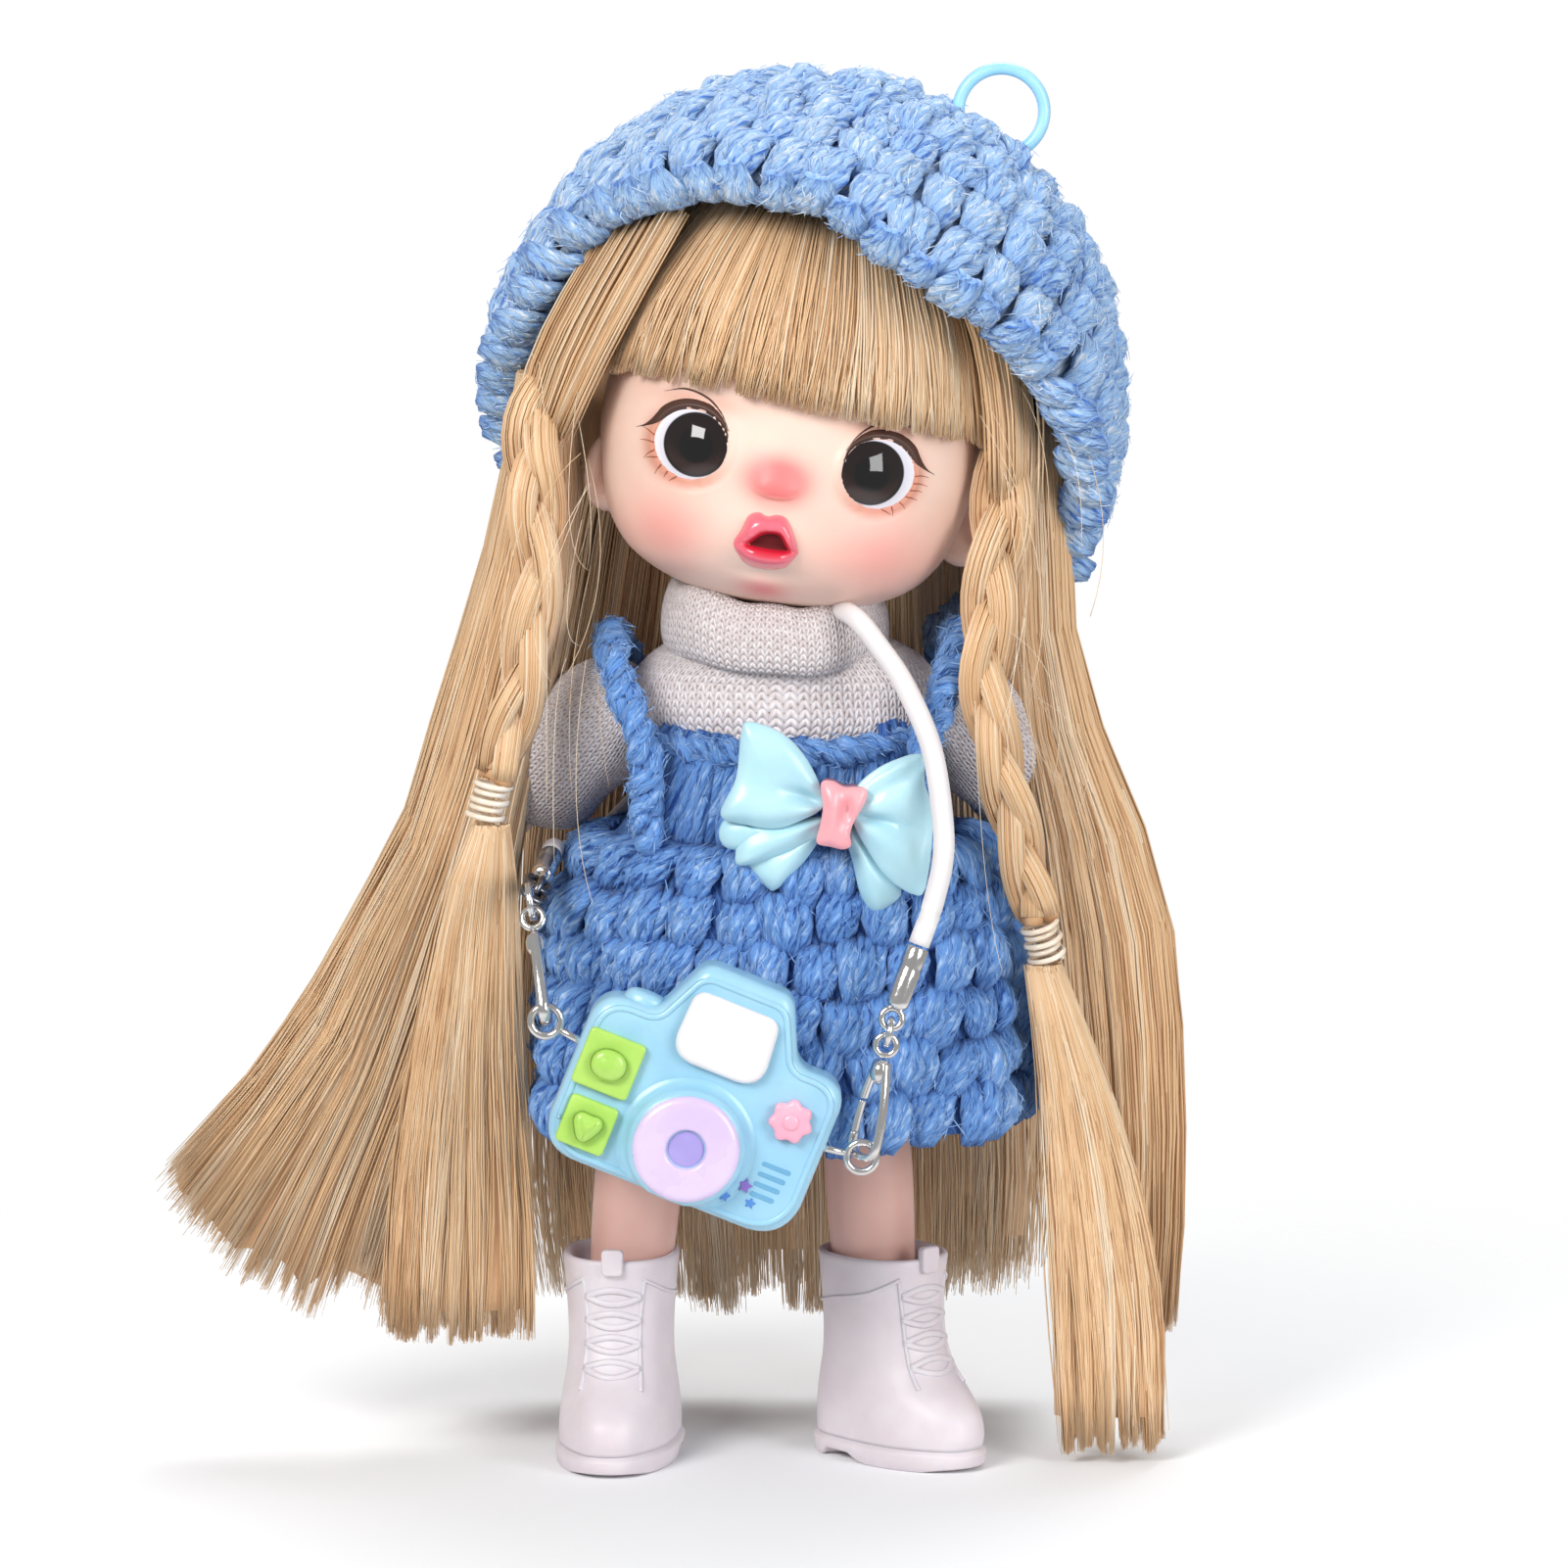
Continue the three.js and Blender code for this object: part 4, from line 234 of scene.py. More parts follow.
class Graph:
    """Node graph of one material."""

    def __init__(self, name: str) -> None:
        """Makes an empty material with one Principled shader."""
        self.material = bpy.data.materials.new(name)
        self.material.use_nodes = True
        self.tree = self.material.node_tree
        self.shader = self.tree.nodes["Principled BSDF"]

    def node(self, kind: str, settings: dict | None = None, inputs: dict | None = None, out: Any = 0) -> Wire:
        """Adds a node.

        Args:
            kind: the node's type name.
            settings: properties to set first; "stops" fills a colour ramp.
            inputs: values or wires by socket name or number.
            out: name or number of the output to return.

        Returns:
            The chosen output.
        """
        made = self.tree.nodes.new(kind)
        for key, value in (settings or {}).items():
            if key == "stops":
                self.fill_ramp(made.color_ramp, value)
            else:
                setattr(made, key, value)
        for key, value in (inputs or {}).items():
            self.feed(made.inputs[key], value)
        return Wire(self, made.outputs[out])

    def fill_ramp(self, ramp: Any, stops: Sequence[tuple[float, Colour]]) -> None:
        """Sets a colour ramp's stops."""
        while len(ramp.elements) < len(stops):
            ramp.elements.new(0.5)
        for element, (place, colour) in zip(ramp.elements, stops):
            element.position = place
            element.color = (*colour, 1)

    def feed(self, socket: Any, value: Any) -> None:
        """Links a wire to a socket, or sets the socket's value."""
        if isinstance(value, Wire):
            self.tree.links.new(value.socket, socket)
        elif socket.type == "RGBA" and len(value) == 3:
            socket.default_value = (*value, 1)
        else:
            socket.default_value = value

    def mix(self, share: Any, a: Any, b: Any) -> Wire:
        """Colour between `a` and `b`."""
        return self.node("ShaderNodeMix", {"data_type": "RGBA"}, {0: share, 6: a, 7: b}, 2)

    def attribute(self, name: str) -> Wire:
        """Number stored on the piece's points."""
        return self.node("ShaderNodeAttribute", {"attribute_name": name}, out="Fac")

    def uv(self) -> tuple[Wire, Wire, Wire]:
        """UV vector and its two numbers."""
        vector = self.node("ShaderNodeTexCoord", out="UV")
        split = self.node("ShaderNodeSeparateXYZ", inputs={0: vector})
        return vector, split, Wire(self, split.socket.node.outputs[1])

    def place(self) -> Wire:
        """Object coordinates."""
        return self.node("ShaderNodeTexCoord", out="Object")

    def stretch(self, vector: Wire, scale: Sequence[float], shift: Sequence[float] = (0, 0, 0)) -> Wire:
        """Vector scaled and shifted for a texture."""
        return self.node("ShaderNodeMapping", inputs={0: vector, 1: shift, 3: scale})

    def noise(self, vector: Wire, scale: float, detail: float = 2.0) -> Wire:
        """Noise between 0 and 1."""
        return self.node("ShaderNodeTexNoise", inputs={"Vector": vector, "Scale": scale, "Detail": detail})

    def bump(self, height: Wire, strength: float, distance: float) -> Wire:
        """Normal of a height map, with its depth in metres."""
        return self.node("ShaderNodeBump",
                         inputs={"Strength": strength, "Distance": distance, "Height": height})

    def finish(self, **inputs: Any) -> bpy.types.Material:
        """Feeds the shader's sockets by name and returns the material."""
        for key, value in inputs.items():
            self.feed(self.shader.inputs[key.replace("_", " ").title().replace("Ior", "IOR")], value)
        return self.material


@dataclass(frozen=True)
class Yarn:
    """Soft plied yarn with pale loose fibres; its colour follows the strand's UV, with painted shade in the ply
    grooves and on points deep in the work.
    """

    name: str
    light: Colour
    middle: Colour
    dark: Colour
    plies: int = 4
    twist: float = 3.0

    def material(self) -> bpy.types.Material:
        """Makes the material."""
        g = Graph(self.name)
        vector, u, v = g.uv()
        wander = g.noise(g.stretch(vector, (3, 3, 1)), 1.0, 2.0) * 0.5
        wound = u * self.plies + v * self.twist + wander
        ply = (wound * math.pi).sine().maths("ABSOLUTE")
        along = g.node("ShaderNodeCombineXYZ", None, {0: wound * 5.5, 1: v * 4.5 - u * 2.0})
        hairs = g.noise(along, 1.0, 4.0).ramp(0.28, 0.72)
        depth = g.attribute("depth")
        tone = g.attribute("tone")
        # painted shade: the grooves between plies and points low in the work (small depth) are darker
        shade = (ply * 0.36 + hairs * 0.55 + tone * 0.4 - 0.2) * (depth * 0.8 + 0.2)
        colour = g.mix(shade.ramp(0.02, 0.42), self.dark, self.middle)
        colour = g.mix(shade.ramp(0.45, 1.0), colour, self.light)
        normal = g.bump(ply * 0.7 + hairs * 0.5, 0.9, 0.0006)
        return g.finish(base_color=colour, roughness=0.92, sheen_weight=0.35, sheen_roughness=0.45,
                        sheen_tint=self.light, specular_ior_level=0.15, normal=normal)


@dataclass(frozen=True)
class Fuzz:
    """Loose fibre ends that stand off the yarn."""

    name: str
    light: Colour
    middle: Colour

    def material(self) -> bpy.types.Material:
        """Makes the material."""
        g = Graph(self.name)
        tone = g.attribute("tone")
        return g.finish(base_color=g.mix(tone, self.middle, self.light), roughness=0.9, sheen_weight=0.3,
                        sheen_tint=self.light, specular_ior_level=0.1)


@dataclass(frozen=True)
class Hair:
    """Straight glossy doll hair; each strand carries its own tone, and points with a low depth get painted
    shade.
    """

    name: str
    light: Colour
    middle: Colour
    dark: Colour

    def material(self) -> bpy.types.Material:
        """Makes the material."""
        g = Graph(self.name)
        vector, _, _ = g.uv()
        tone = g.attribute("tone")
        depth = g.attribute("depth")
        streak = g.noise(g.stretch(vector, (40, 0.6, 1)), 1.0, 3.0)
        shade = tone * 0.7 + streak * 0.45 - 0.08
        colour = g.mix(shade.ramp(0.0, 0.5), self.dark, self.middle)
        colour = g.mix(shade.ramp(0.45, 1.0), colour, self.light)
        # painted shade: a low depth mixes the colour towards the dark one
        colour = g.mix(depth, g.mix(0.6, colour, self.dark), colour)
        normal = g.bump(streak, 0.35, 0.0003)
        return g.finish(base_color=colour, roughness=0.34 + streak * 0.16, coat_weight=0.12,
                        specular_ior_level=0.55, normal=normal)


@dataclass(frozen=True)
class Cast:
    """Cast or moulded plastic with a faint mottle, a soft gloss and fine mould texture."""

    name: str
    colour: Colour
    deep: Colour
    roughness: float = 0.34
    coat: float = 0.25
    grain: float = 0.00002
    glow: float = 0.08

    def material(self) -> bpy.types.Material:
        """Makes the material."""
        g = Graph(self.name)
        place = g.place()
        mottle = g.noise(place, 160.0, 3.0)
        fine = g.noise(place, 3200.0, 2.0)
        colour = g.mix(mottle.ramp(0.3, 0.75), self.deep, self.colour)
        return g.finish(base_color=colour, roughness=self.roughness + mottle * 0.1, coat_weight=self.coat,
                        coat_roughness=0.2, subsurface_weight=self.glow, subsurface_scale=0.002,
                        normal=g.bump(fine, 0.5, self.grain))


@dataclass(frozen=True)
class Metal:
    """Plated metal with fine scuffs."""

    name: str
    colour: Colour
    roughness: float

    def material(self) -> bpy.types.Material:
        """Makes the material."""
        g = Graph(self.name)
        place = g.place()
        scuff = g.noise(place, 2400.0, 3.0)
        cloud = g.noise(place, 300.0, 2.0)
        return g.finish(base_color=g.mix(cloud, tuple(c * 0.86 for c in self.colour), self.colour),
                        metallic=1.0, roughness=self.roughness + scuff.ramp(0.45, 0.9) * 0.18,
                        normal=g.bump(scuff, 0.25, 0.00002))


class Mesh:
    """Growing mesh in the doll's frame, in millimetres, with UVs and point attributes."""

    def __init__(self) -> None:
        """Starts with nothing."""
        self.points: list[Array] = []
        self.faces: list[Array] = []
        self.uvs: list[Array] = []
        self.tone: list[Array] = []
        self.depth: list[Array] = []
        self.count = 0

    def add(self, points: Array, faces: Array, uv: Array, tone: Any = 0.5, depth: Any = 1.0) -> None:
        """Adds points and faces.

        Args:
            points: shape (n, 3), in millimetres.
            faces: shape (m, k), indices into `points`.
            uv: shape (n, 2), one for each point, or (m, k, 2), one for each face corner.
            tone: light or dark share of each point.
            depth: how far each point stands out of the work, 0 to 1; the yarn and hair finishes paint shade
                where it is low.
        """
        n = len(points)
        self.points.append(points)
        self.faces.append(faces + self.count)
        self.uvs.append((uv[faces] if uv.ndim == 2 else uv).reshape(-1, 2))
        self.tone.append(np.broadcast_to(tone, n))
        self.depth.append(np.broadcast_to(depth, n))
        self.count += n

    def grid(self, points: Array, tone: Any = 0.5, depth: Any = 1.0, around: bool = True, caps: bool = True,
             uv_scale: Flat = (1, 1)) -> None:
        """Adds a skin over rings of points.

        Args:
            points: shape (rings, sides, 3).
            tone: as for `add`.
            depth: as for `add`.
            around: whether each ring is closed.
            caps: whether the two end rings are closed with a fan.
            uv_scale: UV units over the ring and along the rings.
        """
        rings, sides, _ = points.shape
        faces, uv = ring_quads(rings, sides, around)
        start = self.count
        tones = np.broadcast_to(tone, points.shape[:2]).reshape(-1)
        depths = np.broadcast_to(depth, points.shape[:2]).reshape(-1)
        self.add(points.reshape(-1, 3), faces, uv * np.array(uv_scale), tones, depths)
        if caps and around:
            ends = [(start, points[0], 1), (start + (rings - 1) * sides, points[-1], -1)]
            for first, ring, way in ends:
                hub = self.count
                a = np.arange(sides)
                fan = np.stack([np.full(sides, hub), first + (a + 1) % sides, first + a][::way], 1)
                self.points.append(ring.mean(0)[None])
                self.faces.append(fan)
                self.uvs.append(np.zeros((sides * 3, 2)))
                at = first - start
                self.tone.append(tones[at:at + 1])
                self.depth.append(depths[at:at + 1])
                self.count += 1

    def strands(self, paths: Array, radius: Any, sides: int, face: Array, tone: Any = 0.5, depth: Any = 1.0,
                flat: float = 1.0, turns: float = 1.0) -> None:
        """Adds closed tubes along many paths at once.

        Args:
            paths: shape (strands, points, 3).
            radius: number or array that fits (strands, points).
            sides: corners of a tube's section.
            face: direction that a tube's broad side faces, fits (strands, points, 3).
            tone: number or one for each strand.
            depth: number or array that fits (strands, points).
            flat: thickness along `face` as a share of the width.
            turns: UV length of a whole strand.
        """
        n, s, _ = paths.shape
        along = unit(np.gradient(paths, axis=1))
        face = np.broadcast_to(face, paths.shape)
        face = unit(face - (face * along).sum(-1, keepdims=True) * along)
        side = np.cross(along, face)
        angle = circle(sides)
        r = np.broadcast_to(radius, (n, s))[:, :, None, None]
        c, d = np.cos(angle)[None, None, :, None], np.sin(angle)[None, None, :, None]
        points = paths[:, :, None] + r * (c * side[:, :, None] + flat * d * face[:, :, None])
        quads, uv = ring_quads(s, sides)
        uv = uv * np.array([1, turns])
        start = (np.arange(n) * s * sides)[:, None, None]
        tones = np.repeat(np.broadcast_to(tone, n), s * sides)
        depths = np.repeat(np.broadcast_to(depth, (n, s)).reshape(-1), sides)
        base = self.count
        uvs = np.broadcast_to(uv.reshape(1, -1, 2), (n, quads.size, 2)).copy()
        uvs[:, :, 1] += (np.arange(n) * 0.37 % 1)[:, None]
        self.add(points.reshape(-1, 3), (start + quads[None]).reshape(-1, 4), uvs.reshape(-1, 4, 2),
                 tones, depths)
        a = np.arange(sides)
        for ring, order in ((0, a[::-1]), (s - 1, a)):
            caps = base + start[:, :, 0] + ring * sides + order[None]
            self.faces.append(caps)
            self.uvs.append(np.zeros((caps.size, 2)))

    def build(self, name: str, material: bpy.types.Material) -> Piece:
        """Makes a smooth-shaded object of the mesh, in the row frame."""
        points = row(np.concatenate(self.points))
        loops = np.concatenate([f.reshape(-1) for f in self.faces])
        sizes = np.concatenate([np.full(len(f), f.shape[1]) for f in self.faces])
        mesh = bpy.data.meshes.new(name)
        mesh.vertices.add(len(points))
        mesh.vertices.foreach_set("co", points.reshape(-1))
        mesh.loops.add(len(loops))
        mesh.loops.foreach_set("vertex_index", loops)
        mesh.polygons.add(len(sizes))
        mesh.polygons.foreach_set("loop_start", np.r_[0, np.cumsum(sizes)[:-1]])
        mesh.polygons.foreach_set("use_smooth", np.ones(len(sizes), bool))
        mesh.update(calc_edges=True)
        mesh.uv_layers.new(name="UVMap").data.foreach_set("uv", np.concatenate(self.uvs).reshape(-1))
        for key, values in (("tone", self.tone), ("depth", self.depth)):
            flat = np.concatenate(values).astype(np.float32)
            mesh.attributes.new(key, "FLOAT", "POINT").data.foreach_set("value", flat)
        mesh.materials.append(material)
        made = bpy.data.objects.new(name, mesh)
        bpy.context.scene.collection.objects.link(made)
        return made


SKY_YARN = Yarn("sky_yarn", srgb(236, 246, 255), srgb(166, 207, 253), srgb(74, 124, 214))
SKY_FUZZ = Fuzz("sky_fuzz", srgb(228, 242, 255), srgb(146, 192, 250))
DENIM_YARN = Yarn("denim_yarn", srgb(184, 214, 250), srgb(110, 160, 228), srgb(40, 80, 162))
DENIM_FUZZ = Fuzz("denim_fuzz", srgb(170, 206, 248), srgb(88, 140, 214))
BLONDE = Hair("blonde_hair", srgb(255, 243, 220), srgb(239, 199, 152), srgb(176, 114, 68))
# lighter copy of the blonde: painted light for the back hair, which hangs in shade
LIT_BLONDE = Hair("pale_blonde_hair", srgb(255, 245, 226), srgb(248, 215, 172), srgb(208, 152, 104))


def loose_fibres(fuzz: Mesh, paths: Array, radius: Array, face: Array, tone: Array, each: int,
                 rng: np.random.Generator) -> None:
    """Adds short fibres that lie along yarn strands and lift off at their ends.

    Args:
        fuzz: mesh that takes the fibres.
        paths: the strands' paths, shape (n, points, 3).
        radius: the strands' radii, shape (n, points).
        face: outward direction of each strand, shape (n, 3).
        tone: light or dark share of each strand.
        each: fibres on one strand.
        rng: random numbers.
    """
    n, s, _ = paths.shape
    pick = np.repeat(np.arange(n), each)
    m = len(pick)
    along = unit(np.gradient(paths, axis=1))
    where = rng.integers(1, s - 1, m)
    side = unit(np.cross(along[pick, where], face[pick]))
    angle = rng.uniform(-1.35, 1.35, m)[:, None]
    around = np.cos(angle) * face[pick] + np.sin(angle) * side
    root = paths[pick, where] + around * radius[pick, where][:, None] * 0.95
    run = along[pick, where] * rng.choice([-1, 1], m)[:, None] + side * rng.normal(0.3, 0.45, (m, 1))
    reach = rng.uniform(0.6, 1.7, (m, 1))
    rise = rng.uniform(0.02, 0.3, (m, 1))
    lines = np.stack([root, root + run * reach * 0.5 + around * rise * 0.65,
                      root + run * reach + around * rise * 0.8], 1)
    shades = np.clip(tone[pick] + rng.normal(0.02, 0.22, m), 0, 1)
    fuzz.strands(lines, rng.uniform(0.045, 0.085, (m, 1)) * np.array([1.0, 0.95, 0.4]), 3,
                 around[:, None], shades)


@dataclass
class Puffs:
    """Crochet puff stitches laid over a surface: a few plump strands each, with loose fibres.

    Attributes:
        width: stitch pitch along the row.
        height: stitch pitch across the rows.
        lift: how far a puff stands off the surface.
        yarn_radius: thickest radius of one strand.
        seed: start of the random numbers.
    """

    width: float
    height: float
    lift: float
    yarn_radius: float
    seed: int
    strands: int = 5
    fibres: int = 6
    gather: float = 0.74

    def lay(self, at: Array, across: Array, down: Array, out: Array, yarn: Mesh, fuzz: Mesh | None) -> None:
        """Adds one puff at each place.

        Args:
            at: places on the surface, shape (n, 3).
            across: unit vectors along the row.
            down: unit vectors across the rows.
            out: outward unit vectors.
            yarn: mesh that takes the strands.
            fuzz: mesh that takes the loose fibres, if any.
        """
        rng = np.random.default_rng(self.seed)
        n, s, k = len(at), 7, self.strands
        t = np.linspace(0, 1, s)
        belly = np.sin(np.pi * np.clip(t, 0.02, 0.98))
        offset = np.linspace(-self.gather, self.gather, k)[None, :, None] + rng.normal(0, 0.08, (n, k, 1))
        grow = np.clip(rng.normal(1.02, 0.1, (n, 1, 1)), 0.8, 1.2)
        lean = rng.normal(0.14, 0.2, (n, 1, 1))
        at = at + across * rng.normal(0, 0.07, (n, 1)) * self.width
        at = at + down * rng.normal(0, 0.06, (n, 1)) * self.height
        spread = 0.42 + 0.5 * t + 0.24 * belly
        p = self.width * grow * (0.5 * offset * spread + lean * (t - 0.5) + rng.normal(0, 0.03, (n, k, s)))
        q = self.height * grow * (0.5 - t) * 1.16 + rng.normal(0, 0.1, (n, k, s))
        h = self.lift * grow * (belly**0.8 * (1.15 - 0.9 * np.abs(offset) ** 2) - 0.25
                                + rng.normal(0, 0.08, (n, k, 1)))
        paths = (at[:, None, None] + p[..., None] * across[:, None, None] + q[..., None] * down[:, None, None]
                 + h[..., None] * out[:, None, None]).reshape(n * k, s, 3)
        radius = self.yarn_radius * (0.62 + 0.38 * belly**0.7) * rng.normal(1, 0.08, (n * k, 1))
        tone = np.clip(np.repeat(rng.normal(0.52, 0.12, n), k) + rng.normal(0, 0.12, n * k), 0, 1)
        face = np.repeat(out, k, axis=0)[:, None]
        # strand ends that dive into the work get a low depth: painted shade
        yarn.strands(paths, radius, 6, face, tone, np.clip(0.1 + belly, 0, 1)[None], flat=0.92, turns=1.0)
        if fuzz is not None:
            loose_fibres(fuzz, paths, radius, face[:, 0], tone, self.fibres, rng)


@dataclass
class Hat:
    """Crocheted hat with a rolled brim, tipped back and to the side, and its hanging loop."""

    centre: Point = (3.0, 8.0, 128.0)
    tip_side: float = 18.0
    tip_back: float = 46.0
    outer: float = 37.4
    wall: float = 4.2
    brim_drop: float = 8.0
    brim_push: float = 0.18
    flare: float = 1.6
    rows: int = 10
    stitch_width: float = 5.7
    stitch_sink: float = 2.2
    edge_width: float = 5.0
    edge_height: float = 5.4
    inner_rows: int = 3
    inner_stitches: int = 44
    push_heading: float = 128.0
    push_spread: float = 38.0
    loop_radius: float = 5.1
    loop_wire: float = 0.75
    loop_rise: float = 2.2
    loop_lean: float = 35.0
    flat: Flat = (0.108, 0.108)
    flat_area: float = 0.00916

    def turned(self, local: Array) -> Array:
        """Vectors of the hat's own frame in the doll's frame."""
        return local @ (turn("Y", self.tip_side) @ turn("X", -self.tip_back)).T

    def slack(self, a: Array, angle: Array) -> Array:
        """Polar angle that the brim loses where it is pushed up over the forehead."""
        off = np.degrees(np.angle(np.exp(1j * (a + math.radians(self.push_heading)))))
        return self.brim_push * np.exp(-((off / self.push_spread) ** 4)) * np.clip(angle / 1.78, 0, 1.1) ** 2

    def ring(self, angle: float, count: int, radius: float,
             shift: float) -> tuple[Array, Array, Array, Array]:
        """Places and directions of one row of stitches.

        Args:
            angle: polar angle from the crown, in radians.
            count: stitches in the row.
            radius: distance from the hat's centre.
            shift: start of the row, as a share of a stitch.

        Returns:
            Places, directions along the row, directions to the brim and outward directions.
        """
        a = 2 * np.pi * (np.arange(count) + shift) / count
        c, s, z = np.cos(a), np.sin(a), np.zeros(count)
        tip = angle - self.slack(a, np.array(angle))
        out = np.stack([np.sin(tip) * c, np.sin(tip) * s, np.cos(tip)], 1)
        down = np.stack([np.cos(tip) * c, np.cos(tip) * s, -np.sin(tip)], 1)
        across = np.stack([-s, c, z], 1)
        at = np.array(self.centre) + radius * self.turned(out)
        return at, self.turned(across), self.turned(down), self.turned(out)

    def build(self) -> list[Piece]:
        """Makes the hat, its fuzz and the loop."""
        open_angle = math.acos(-self.brim_drop / self.outer)
        pitch = self.outer * open_angle / self.rows
        puffs = Puffs(width=self.stitch_width, height=pitch * 1.04, lift=2.1, yarn_radius=1.08,
                      seed=3, fibres=7)
        yarn, fuzz, ground = Mesh(), Mesh(), Mesh()
        self.shell(ground, open_angle)
        for i in range(self.rows):
            angle = open_angle * (i + 0.5) / self.rows
            flare = self.flare * ((i + 0.5) / self.rows) ** 6
            count = max(5, round(2 * math.pi * self.outer * math.sin(angle) / puffs.width))
            puffs.seed = 30 + i
            radius = self.outer - self.stitch_sink + flare
            puffs.lay(*self.ring(angle, count, radius, 0.5 * (i % 2) + 0.13 * i), yarn, fuzz)
        self.brim(yarn, fuzz, open_angle)
        wool = SKY_YARN.material()
        hat = yarn.build("hat_crochet", wool)
        loose = fuzz.build("hat_fuzz", SKY_FUZZ.material())
        lining = ground.build("hat_lining", wool)
        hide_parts("hat")
        for piece in (hat, loose, lining):
            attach(piece, "head")
        return [hat, loose, lining, self.loop()]

    def shell(self, yarn: Mesh, open_angle: float) -> None:
        """Adds the close inner fabric that the puffs stand on; its high tone is painted light that brightens
        the hat's shaded inside.
        """
        inner = np.linspace(0.01, open_angle, 20)
        angle = np.r_[inner, inner[::-1]][:, None]
        radius = np.repeat([self.outer - self.wall + 0.4, self.outer - 1.9], 20)[:, None]
        a = circle(72)
        tip = angle - self.slack(a[None], angle)
        out = np.stack([np.sin(tip) * np.cos(a), np.sin(tip) * np.sin(a), np.cos(tip)], -1)
        local = radius[..., None] * out
        # tone 0.95: painted light on the shaded inside of the hat and between the puffs
        yarn.grid(np.array(self.centre) + self.turned(local)[::-1], 0.95, 1.0, uv_scale=(60, 22))

    def brim(self, yarn: Mesh, fuzz: Mesh, open_angle: float) -> None:
        """Adds the rolled edge and the first rows of the inside."""
        edge = Puffs(self.edge_width, self.edge_height, lift=1.3, yarn_radius=1.05, seed=71, fibres=7)
        count = round(2 * math.pi * (self.outer + self.flare) / edge.width)
        at, across, down, out = self.ring(open_angle + 0.03, count, self.outer - 1.2, 0.3)
        edge.lay(at, across, out, down, yarn, fuzz)
        radius = self.outer - self.wall + 0.7
        for i in range(self.inner_rows):
            lining = Puffs(self.edge_width, self.edge_height, lift=0.9, yarn_radius=0.95, seed=80 + i,
                           strands=4, fibres=4)
            angle, count = open_angle - 0.1 - 0.15 * i, self.inner_stitches - i
            at, across, down, out = self.ring(angle, count, radius, 0.4 * i)
            lining.lay(at, -across, down, -out, yarn, fuzz)

    def loop(self) -> Piece:
        """Makes the rubber loop, thickened where its ends meet inside the hat."""
        lean = math.radians(self.loop_lean)
        heading = np.array([math.sin(lean), 0, math.cos(lean)])
        middle = np.array(self.centre) + heading * (self.outer + self.loop_rise)
        a = np.linspace(0, 2 * np.pi, 65)[:-1]
        side = np.array([heading[2], 0, -heading[0]])
        path = middle + self.loop_radius * (np.cos(a)[:, None] * -heading + np.sin(a)[:, None] * side)
        b = circle(14)
        out = unit(path - middle)
        swell = self.loop_wire * (1 + 0.25 * np.exp(-((np.minimum(a, 2 * np.pi - a) / 0.35) ** 2)))
        tube = path[:, None] + swell[:, None, None] * (np.cos(b)[None, :, None] * out[:, None]
                                                       + np.sin(b)[None, :, None] * FACING_CAMERA)
        mesh = Mesh()
        mesh.grid(np.concatenate([tube, tube[:1]]), caps=False)
        finish = Cast("loop_rubber", srgb(172, 226, 250), srgb(150, 212, 242),
                      roughness=0.3, coat=0.3)
        made = mesh.build("hanging_loop_rubber", finish.material())
        weld(made)
        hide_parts("hanging_loop")
        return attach(made, "loop")


def select_only(piece: Piece) -> None:
    """Leaves one object selected and active."""
    bpy.ops.object.select_all(action="DESELECT")
    piece.select_set(True)
    bpy.context.view_layer.objects.active = piece


def weld(piece: Piece, distance: float = 1e-6) -> None:
    """Merges doubled points and turns faces outwards."""
    select_only(piece)
    bpy.ops.object.mode_set(mode="EDIT")
    bpy.ops.mesh.select_all(action="SELECT")
    bpy.ops.mesh.remove_doubles(threshold=distance)
    bpy.ops.mesh.normals_make_consistent(inside=False)
    bpy.ops.object.mode_set(mode="OBJECT")


